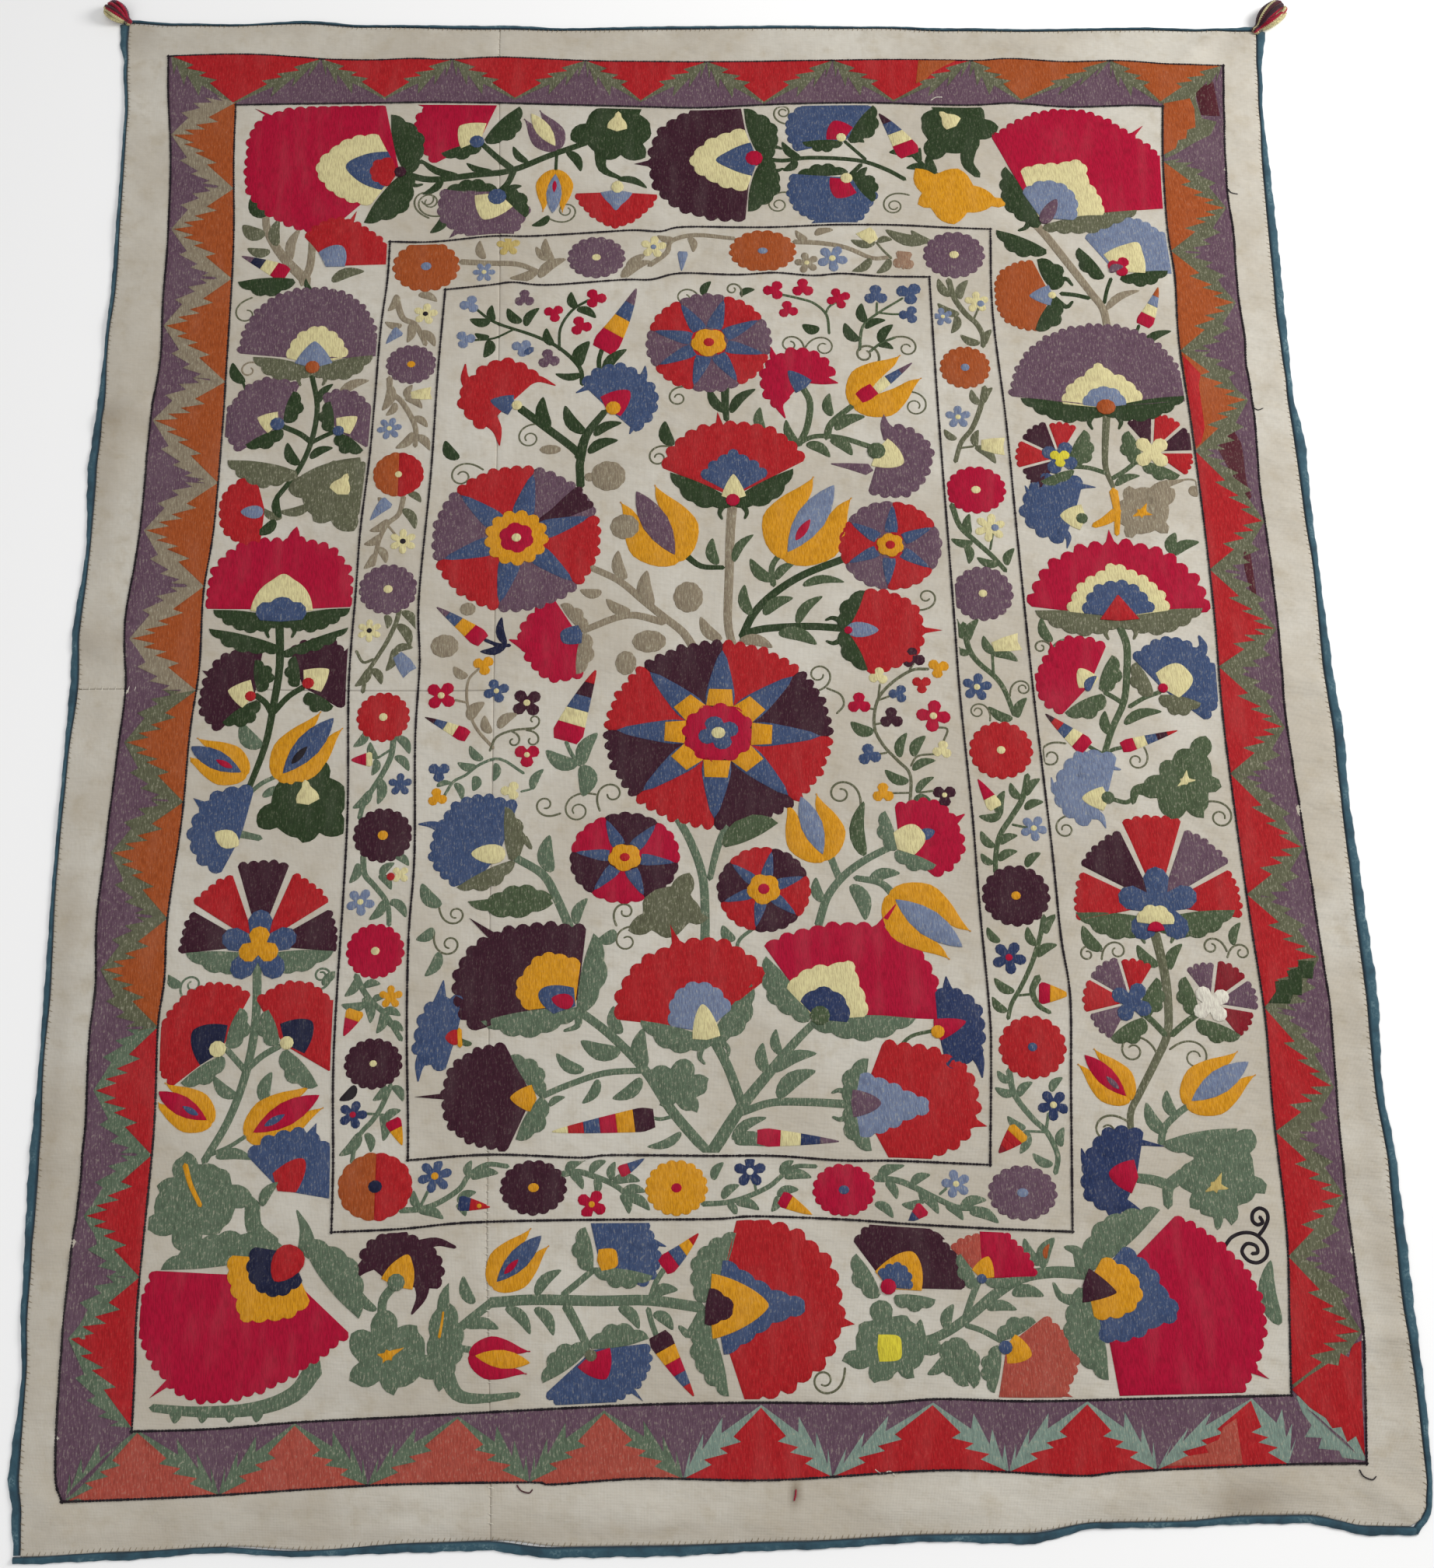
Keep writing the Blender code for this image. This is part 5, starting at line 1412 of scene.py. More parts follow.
def wide_border_bottom():
    """The bottom of the wide border, from its left corner to its right one."""
    fan("crimson", -37.8, 21.8, 222, 13.7, (9.5, 7.2), -46, 96, (3.0, 2.0), 27, 0.36, 0.0, (-1, 1.8))
    fan("gold", -37.9, 23.4, 232, 5.4, (4.8, 3.8), -58, 66, 2.6, 9, 0.26, 0.2, level=1)
    fan("navy", -38.0, 24.0, 232, 4.0, (2.9, 2.5), -64, 66, 2.6, 7, 0.22, level=2)
    leaf("red", -37.3, 24.6, 238, 3.6, 2.9, 3, 0.0)
    sepal("sage", -39.0, 24.2, 188, 10.6, 2.4, -1, 6)
    stroke("sage", [(-41.6, 28.6), (-41.3, 26.4), (-39.6, 24.8)], 1.4, 1.6)
    stroke("sage", [(-36.4, 24.4), (-36.7, 26.2), (-37.5, 27.9)], 1.8, 0.2)
    sepal("sage", -36.6, 24.6, 308, 8.2, 2.6, 1, 5)
    stroke("sage", [(-49.4, 10.6), (-45.2, 10.2), (-40.4, 10.4), (-37.0, 11.6), (-35.3, 13.8)], 0.7, 1.7)
    for x in (-47.6, -45.2, -42.8, -40.4):
        leaf("sage", x, 10.6, 280, 1.4, 1.1)
    fan("aubergine", -28.5, 21.1, 60, 4.5, (3.7, 4.0), -66, 82, 2.6, 11, 0.3)
    stroke("aubergine", [(-26.6, 24.4), (-24.8, 24.9), (-23.1, 24.4)], 1.3, 0.3, 0)
    stroke("aubergine", [(-26.0, 21.6), (-26.0, 20.0), (-26.8, 18.5)], 1.7, 0.2, 0)
    stroke("aubergine", [(-30.6, 23.2), (-31.6, 22.4), (-32.6, 21.1)], 1.6, 0.2, 0)
    inner_fan("gold", 1, -28.3, 21.0, 70, 2.7, 1.5, -84, 84, 1.8, 0.1)
    disc("sage", 2, -28.3, 21.3, 0.8)
    stroke("sage", [(-28.5, 21.0), (-29.4, 19.8), (-29.5, 18.2)], 0.8)
    leaf("sage", -30.0, 18.8, 130, 2.7, 0.9)
    star("sage", 0, -28.8, 15.0, 100, (4.0, 3.8, 4.0, 3.4, 5.2, 3.4), 0.64, 2, 0.26)
    star("gold", 1, -28.9, 14.8, 98, (0.6, 1.0, 0.7, 0.6, 1.7), 0.4, 1, 0.02)
    sepal("sage", -23.9, 12.0, 88, 9.2, 1.4, 1, 4)
    sepal("sage", -23.9, 12.6, 86, 6.8, 1.4, -1, 4)
    stroke("gold", [(-24.3, 16.4), (-24.1, 17.6), (-24.0, 18.6)], 0.3, 0.2, 1)
    stroke("sage", [(-23.8, 13.6), (-22.6, 11.4), (-20.4, 11.0), (-17.2, 11.3)], 1.5, 0.5)
    stroke("sage", [(-23.4, 16.4), (-22.0, 17.6), (-19.6, 19.5)], 0.8)
    stroke("sage", [(-19.8, 19.4), (-16.0, 19.6), (-10.0, 19.4), (-5.6, 19.4), (-1.0, 18.7)], 0.95)
    for x, y, turn, long in (
        (-21.3, 19.3, 112, 2.7), (-22.0, 17.4, -6, 3.0), (-18.4, 19.0, -48, 3.3), (-15.8, 18.9, -56, 3.0),
        (-15.8, 20.0, 44, 3.2), (-8.3, 18.9, -48, 2.7), (-5.4, 19.9, 10, 2.4), (-5.2, 18.3, -42, 2.3),
    ):
        leaf("sage", x, y, turn, long, 1.1)
    tulip(-19.7, 20.8, 46, 6.0, "gold", "blue", "crimson")
    stroke("sage", [(-23.9, 15.5), (-22.4, 15.4), (-21.2, 15.2)], 0.6)
    tulip(-21.6, 14.8, -8, 5.2, "crimson", "gold", None)
    fan("blue", -10.0, 22.9, 20, 5.2, (3.6, 3.6), -52, 84, 2.8, 12, 0.28)
    stroke("blue", [(-6.6, 24.5), (-5.4, 24.6), (-4.1, 24.2)], 1.4, 0.1, 0)
    inner_fan("gold", 1, -10.2, 23.0, 8, 1.8, 1.0, -80, 80, 4.0)
    sepal("sage", -10.7, 22.3, 100, 3.8, 1.4, 1, 3)
    sepal("sage", -10.4, 22.3, 352, 5.2, 1.3, -1, 4)
    stroke("sage", [(-10.6, 22.2), (-11.8, 21.2), (-13.3, 20.0)], 0.6)
    bud(-4.4, 22.3, 36, 4.4, 2.1, ("crimson", "blue", "gold", "red"))
    stroke("sage", [(-4.3, 22.1), (-5.0, 21.0), (-5.5, 19.6)], 0.5)
    fan("red", 0.3, 18.6, 2, 11.0, (8.2, 8.0), -75, 74, 2.3, 16, 0.52, 0.0, (-10, 1.5))
    fan("blue", 0.4, 18.7, 0, 6.0, 4.4, -82, 82, 1.2, 10, 0.26, 0.34, level=1)
    inner_fan("gold", 2, -0.1, 18.8, 0, 5.2, 2.9, -88, 88, 1.4)
    fan("aubergine", -0.5, 18.8, -8, 2.4, 1.6, -88, 88, 1.6, 4, 0.2, level=3)
    sepal("sage", -0.7, 19.2, 64, 6.8, 2.4, 1, 6)
    sepal("sage", -0.7, 18.2, 286, 7.6, 2.0, -1, 6)
    stroke("sage", [(-0.7, 18.0), (-2.0, 16.4), (-2.9, 17.0)], 1.4, 0.4)
    fan("blue", -10.6, 15.0, 294, 4.7, (5.3, 4.7), -73, 73, 2.6, 15, 0.28, 0.0, (22, 1.2))
    inner_fan("crimson", 1, -10.7, 14.7, 300, 2.5, 1.7, -80, 80, 1.5)
    disc("olive", 2, -10.8, 14.6, 0.55)
    sepal("sage", -11.0, 15.2, 216, 5.0, 1.6, -1, 4)
    sepal("sage", -10.8, 15.3, 8, 5.2, 1.6, 1, 4)
    stroke("sage", [(-13.0, 19.0), (-12.0, 17.2), (-11.1, 15.4)], 0.9, 0.7)
    bud(-4.9, 16.4, 298, 6.3, 2.3, ("aubergine", "gold", "crimson", "blue", "red"), 0.04)
    stroke("sage", [(-5.7, 18.6), (-5.4, 17.4), (-5.0, 16.3)], 0.5)
    fan("aubergine", 15.8, 20.3, 50, 6.3, (5.8, 4.9), -53, 76, 2.8, 15, 0.28)
    stroke("aubergine", [(19.2, 24.6), (20.2, 24.9), (21.0, 24.5)], 1.1, 0.1, 0)
    inner_fan("gold", 1, 15.9, 20.2, 54, 3.9, (2.8, 1.9), -60, 76, 1.7)
    fan("blue", 15.8, 20.3, 52, 2.3, (2.0, 1.5), -60, 76, 1.8, 6, 0.2, level=2)
    disc("crimson", 3, 15.8, 20.3, 0.72)
    sepal("sage", 15.0, 19.6, 118, 4.2, 1.4, 1, 3)
    sepal("sage", 16.4, 19.5, 354, 3.6, 1.1, -1, 3)
    star("sage", 0, 15.6, 15.2, 100, (4.0, 3.0, 4.2, 3.4, 3.4, 4.8, 3.0), 0.66, 2, 0.26)
    inner_fan("lemon", 1, 14.7, 14.9, 0, 2.1, 1.2, -88, 88, 5.0)
    tendril("olive", 11.7, 13.2, 262, 8.4, -500, 0.22)
    leaf("sage", 18.8, 15.0, 96, 2.4, 1.1)
    leaf("sage", 20.8, 16.4, 72, 2.4, 1.1)
    stroke(
        "sage",
        [(17.6, 15.0), (20.4, 16.0), (22.8, 17.5), (25.2, 19.4), (27.7, 20.9), (30.6, 21.4), (33.6, 21.2)],
        0.8, 1.1,
    )
    stroke("sage", [(24.0, 20.9), (23.3, 19.4), (22.6, 17.6)], 0.6)
    fan("crimson", 24.3, 21.0, 44, 4.3, (4.0, 4.4), -44, 47, 3.0, 9, 0.28)
    fan("terracotta", 24.3, 21.0, 112, 3.8, 3.4, -21, 24, 2.4, 4, 0.2)
    inner_fan("gold", 1, 24.2, 21.0, 70, 2.0, 1.1, -70, 70, 1.5)
    disc("blue", 2, 24.2, 20.9, 0.45)
    sepal("sage", 23.8, 20.3, 116, 3.2, 1.0, 1, 3)
    sepal("sage", 24.5, 20.8, 0, 2.9, 0.7, -1, 2)
    leaf("sage", 29.5, 22.0, 118, 2.8, 1.1)
    leaf("sage", 29.6, 21.8, 64, 3.0, 1.3)
    leaf("rust", 30.0, 22.6, 72, 1.4, 0.5, 0.5)
    leaf("sage", 26.8, 19.6, -6, 2.9, 1.2)
    leaf("sage", 24.5, 18.3, -4, 2.7, 1.0)
    fan("terracotta", 26.2, 14.9, -31, 6.2, (4.4, 3.9), -72, 68, 2.8, 16, 0.26, 0.0, (-10, 1.1))
    inner_fan("gold", 1, 26.1, 14.8, -18, 2.3, 1.4, -74, 74, 1.6)
    disc("blue", 2, 26.0, 14.8, 0.62)
    sepal("sage", 25.5, 14.8, 260, 4.0, 1.3, -1, 4)
    sepal("sage", 25.6, 15.4, 26, 3.6, 1.2, 1, 3)
    stroke("sage", [(22.6, 16.8), (24.0, 16.3), (25.6, 15.4)], 0.5)
    sepal("sage", 21.0, 15.4, 296, 4.6, 1.6, 1, 3)
    sepal("sage", 21.0, 15.4, 292, 4.2, 1.4, -1, 3)
    leaf("sage", 20.6, 14.0, 222, 2.2, 1.0)
    fan("crimson", 34.8, 19.4, -22, 14.6, (8.7, 9.2), -62, 66, (2.6, 2.4), 28, 0.36, 0.0, (-6, 1.3))
    fan("blue", 34.0, 20.0, -18, 6.2, (4.4, 4.4), -68, 68, 2.2, 10, 0.3, 0.26, level=1)
    fan("gold", 33.7, 20.2, -12, 4.6, (2.7, 2.6), -72, 72, 2.2, 7, 0.26, level=2)
    inner_fan("aubergine", 3, 33.3, 20.2, -14, 3.0, 1.6, -84, 84, 1.2)
    sepal("sage", 33.4, 21.2, 38, 9.2, 2.5, 1, 6)
    stroke("sage", [(33.4, 21.8), (32.9, 23.2), (31.9, 23.6)], 1.6, 0.4)
    sepal("sage", 33.4, 19.8, 281, 8.1, 2.7, -1, 6)
    stroke("sage", [(32.6, 18.8), (31.2, 19.2), (30.6, 20.4)], 1.2, 0.3)
    leaf("sage", 50.4, 16.4, 92, 5.8, 1.7)


def leaves(silk, *rows):
    """Plain leaves of one silk: where each starts, its turn, length and width."""
    for x, y, turn, long, wide in rows:
        leaf(silk, x, y, turn, long, wide)


def horns(silk, *paths):
    """Tapering points that a flower's edge ends in. Each is three places and its width at the flower."""
    for first, second, third, wide in paths:
        stroke(silk, [first, second, third], wide, 0.15, 0.0)


def blossoms(*rows):
    """Small open flowers: silk, place, radius, petals, turn, and the silk of a dot in the middle."""
    for silk, x, y, radius, count, turn, dot in rows:
        petals(silk, 0.0, x, y, radius, count, turn, 0.42)
        if dot:
            disc(dot, 1.0, x, y, radius * 0.22)


def field_top():
    """The upper third of the field."""
    stroke(
        "green",
        [(-12.2, 113.2), (-12.5, 115.2), (-14.6, 117.5), (-17.2, 119.0), (-21.3, 120.7), (-23.4, 122.4)],
        0.5, 0.3,
    )
    stroke("green", [(-19.4, 119.8), (-21.4, 118.8), (-23.4, 118.6)], 0.25)
    stroke("green", [(-14.6, 117.3), (-14.5, 119.9), (-13.3, 122.0), (-11.6, 123.2)], 0.3)
    leaves(
        "green", (-21.5, 120.9, 96, 1.9, 0.9), (-21.8, 120.8, 172, 2.2, 1.1), (-18.6, 120.6, 130, 2.3, 1.1),
        (-18.2, 120.2, 56, 2.6, 1.0), (-21.9, 118.9, 162, 1.6, 0.8), (-21.8, 118.6, 255, 2.2, 1.2),
        (-15.3, 117.8, 108, 2.2, 1.0), (-12.9, 122.2, 105, 2.1, 1.0), (-12.8, 122.2, 330, 2.3, 1.0),
        (-12.7, 115.3, 68, 3.2, 1.5), (-12.2, 114.3, 177, 2.8, 0.9), (-10.0, 114.4, 50, 3.7, 1.2),
        (-15.6, 108.2, 100, 3.6, 1.4), (-11.9, 107.4, 122, 3.9, 1.4), (-11.0, 107.2, 26, 3.2, 1.1),
        (-11.6, 105.2, 24, 3.4, 1.2), (-24.8, 104.6, 122, 2.6, 1.3), (0.3, 123.6, 62, 1.9, 0.9),
        (4.2, 123.6, 22, 1.7, 0.8), (12.4, 119.2, 160, 1.9, 1.2), (17.2, 120.0, 98, 2.4, 1.1),
        (17.1, 119.4, 22, 2.4, 0.9), (16.4, 117.8, 122, 2.6, 1.2), (18.6, 117.6, 56, 2.6, 1.1),
        (18.4, 117.4, 342, 1.7, 0.8), (2.6, 109.6, 120, 3.6, 1.1), (3.0, 109.6, 46, 3.8, 1.1),
        (-3.0, 105.8, 104, 3.0, 1.4),
    )
    blossoms(
        ("pale_blue", -24.0, 122.9, 1.1, 3, 70, None), ("pale_blue", -24.4, 118.7, 1.1, 3, 10, None),
        ("pale_blue", -18.5, 117.6, 1.1, 3, 40, None), ("mauve", -18.3, 123.5, 1.1, 3, 90, None),
        ("mauve", -15.7, 116.2, 1.2, 3, 100, None), ("crimson", -15.2, 121.7, 1.1, 3, 160, None),
        ("crimson", -12.4, 120.1, 1.2, 3, 110, None), ("crimson", -10.9, 123.4, 1.2, 3, 120, None),
        ("crimson", 7.8, 124.1, 1.2, 3, 60, None), ("crimson", 10.8, 124.3, 1.2, 3, 90, None),
        ("crimson", 14.5, 123.0, 1.3, 4, 20, None), ("crimson", 9.2, 121.7, 1.1, 3, 340, None),
        ("blue", 18.4, 123.3, 1.3, 3, 90, None), ("blue", 21.9, 123.5, 1.4, 3, 40, None),
        ("blue", 21.8, 120.9, 1.1, 3, 60, None),
    )
    stroke("blue", [(-18.0, 117.0), (-17.5, 117.4)], 0.7, 0.7, 0.4)
    bud(-10.2, 117.2, 57, 8.1, 3.1, ("crimson", "gold", "blue", "mauve"))
    stroke("green", [(-10.2, 117.2), (-10.5, 115.8), (-10.3, 114.0)], 0.5)
    fan("red", -19.8, 111.0, 140, 4.8, (4.4, 3.8), -96, 90, 2.8, 10, 0.4)
    horns(
        "red", ((-23.4, 112.8), (-24.3, 114.0), (-24.3, 115.7), 1.7),
        ((-18.6, 113.4), (-16.8, 113.9), (-15.0, 113.1), 1.5),
        ((-21.8, 109.4), (-20.9, 108.0), (-20.6, 106.2), 1.9),
    )
    inner_fan("blue", 1, -19.3, 110.8, 166, 2.4, 1.2, -80, 80, 1.4)
    disc("cream", 2, -18.9, 110.8, 0.55)
    stroke(
        "green", [(-12.3, 101.4), (-12.4, 103.6), (-12.6, 105.2), (-15.8, 108.1), (-18.5, 110.4)], 0.85, 0.9,
    )
    stroke("green", [(-12.4, 104.6), (-11.7, 107.3), (-9.9, 109.9)], 1.1, 0.7)
    tendril("olive", -16.0, 108.5, 172, 8.8, 520, 0.22)
    tendril("olive", -22.2, 103.4, 146, 8.6, 480, 0.22)
    fan("blue", -9.5, 110.4, 46, 4.9, (4.0, 4.0), -92, 88, 2.8, 11, 0.36)
    horns(
        "blue", ((-9.4, 112.4), (-11.2, 112.9), (-12.8, 112.2), 1.5),
        ((-6.6, 113.4), (-5.9, 114.0), (-5.7, 115.2), 1.6),
        ((-7.0, 109.8), (-6.8, 108.6), (-7.3, 107.3), 1.7),
    )
    inner_fan("crimson", 1, -9.6, 110.2, 42, 3.1, 1.6, -76, 76, 1.6)
    disc("gold", 2, -9.0, 110.3, 0.78)
    for x, y, radius, tall in (
        (-9.5, 102.5, 1.8, 0.95), (-15.4, 105.6, 1.1, 0.5), (-7.8, 96.7, 1.5, 0.95),
        (-11.4, 102.4, 0.5, 1.0), (-1.5, 88.8, 1.5, 1.15), (-5.4, 84.0, 1.7, 0.72), (-7.7, 81.7, 1.05, 1.25),
        (-25.6, 83.8, 1.4, 0.9), (-23.4, 87.8, 0.8, 0.9),
    ):
        disc("taupe", 0, x, y, radius, 9, 0.05, tall=tall)
    rosette(
        -18.7, 95.6, 8.2, 0.96, ("mauve", "red") * 3, 18, "blue", None,
        (("gold", 0.40, 13), ("crimson", 0.22, 6), ("cream", 0.06, 0)),
    )
    sector("aubergine", 0.6, -18.7, 95.6, 8.3, 0.96, 24, 45, 3)
    tulip(-2.4, 92.7, 118, 8.6, "gold", "mauve", None, 1.2)
    stroke("green", [(-1.8, 93.5), (-0.2, 92.2), (2.0, 92.0)], 0.7, 0.5)
    stroke("green", [(2.5, 112.6), (2.5, 110.4), (2.6, 108.8)], 0.9, 0.6)
    rosette(
        0.9, 117.9, 6.3, 0.9, ("mauve", "red") * 4, -16, "blue", None, (("gold", 0.3, 5), ("red", 0.09, 0)),
    )
    tendril("olive", 4.4, 123.4, 86, 4.6, 430, 0.22)
    tendril("olive", 0.2, 122.8, 110, 6.4, 430, 0.22)
    tendril("olive", -1.0, 112.6, 170, 6.8, 470, 0.22)
    tendril("olive", -3.0, 105.7, 168, 7.0, 480, 0.22)
    stroke("moss", [(13.4, 118.8), (13.2, 121.0), (12.0, 122.4), (10.6, 123.0), (8.4, 123.6)], 0.3)
    stroke("moss", [(13.1, 121.2), (13.5, 122.0), (14.2, 122.5)], 0.25)
    tendril("olive", 10.7, 116.2, 84, 7.2, 470, 0.22)
    tendril("olive", 10.7, 116.8, 62, 8.0, -480, 0.22)
    stroke("moss", [(16.5, 116.8), (16.9, 119.5), (18.5, 121.1), (21.2, 122.9)], 0.35, 0.25)
    stroke("moss", [(18.4, 121.0), (18.5, 122.4)], 0.25)
    stroke("moss", [(18.6, 121.2), (20.0, 121.0), (21.4, 121.0)], 0.25)
    stroke("moss", [(17.6, 116.6), (18.8, 117.6), (20.2, 118.2)], 0.3)
    tendril("olive", 20.0, 118.2, 10, 7.0, -460, 0.22)
    tendril("olive", 17.9, 114.2, 60, 8.4, 480, 0.3)
    fan("crimson", 10.2, 112.8, 125, 3.9, (3.7, 3.5), -110, 106, 2.4, 11, 0.42)
    horns(
        "crimson", ((8.4, 115.0), (7.6, 116.0), (7.3, 117.2), 1.5),
        ((11.0, 114.0), (12.6, 113.3), (14.1, 112.9), 2.2), ((8.4, 111.6), (8.0, 110.4), (8.6, 108.9), 1.7),
    )
    inner_fan("blue", 1, 10.7, 112.4, 130, 2.6, 1.1, -84, 84, 1.4)
    stroke("moss", [(10.4, 112.6), (11.2, 110.6), (10.8, 107.7), (9.9, 105.8)], 0.7, 0.7)
    stroke("moss", [(9.9, 105.9), (11.6, 106.7), (14.2, 106.5), (17.2, 105.4)], 0.5, 0.6)
    stroke("moss", [(12.8, 106.6), (13.4, 108.3), (15.9, 110.5)], 0.8, 0.6)
    leaves(
        "moss", (6.3, 107.4, 95, 2.8, 1.1), (9.8, 105.9, 112, 3.0, 1.0), (13.3, 109.0, 92, 2.7, 1.1),
        (13.6, 107.5, 24, 3.5, 1.3), (10.7, 105.9, 326, 2.9, 1.2), (13.2, 106.4, 318, 2.9, 1.3),
    )
    tulip(15.6, 110.1, 37, 7.5, "gold", None, None, 1.2)
    bud(16.2, 111.0, 34, 7.0, 1.9, ("crimson", "cream", "blue", "mauve"), 0.04)
    tendril("olive", 20.2, 111.6, 12, 9.4, -520, 0.22)
    fan("mauve", 18.2, 104.6, -22, 5.1, (4.4, 3.7), -86, 86, 2.8, 13, 0.34)
    horns(
        "mauve", ((19.4, 106.6), (18.8, 107.8), (18.7, 109.1), 1.9),
        ((16.8, 102.8), (15.0, 103.2), (13.2, 103.5), 1.3),
    )
    inner_fan("cream", 1, 17.9, 104.9, -30, 3.0, 1.8, -82, 82, 1.6)
    disc("moss", 2, 17.8, 104.9, 0.95)
    stroke("taupe", [(3.1, 99.4), (2.8, 96.0), (2.6, 91.0), (2.4, 86.0), (2.9, 83.2)], 1.0, 0.8)
    fan("red", 3.1, 100.0, 90, 8.2, (7.8, 7.4), -62, 65, 2.4, 13, 0.42, 0.0, (8, 1.3))
    fan("blue", 3.2, 100.2, 90, 4.3, (3.7, 3.5), -60, 60, 2.0, 7, 0.36, 0.1, level=1)
    inner_fan("cream", 2, 3.2, 99.6, 90, 2.9, 1.3, -74, 74, 1.3)
    disc("crimson", 3, 3.1, 99.5, 0.7)
    calyx("green", 3.1, 99.3, 91, 7.2, 1.9, 60, 4, 1.1)
    tulip(8.0, 92.8, 57, 9.4, "gold", "pale_blue", "crimson", 1.25)
    rosette(
        18.8, 94.2, 5.0, 0.96, ("mauve", "red") * 3, -35, "blue", None, (("gold", 0.28, 6), ("red", 0.1, 0)),
    )


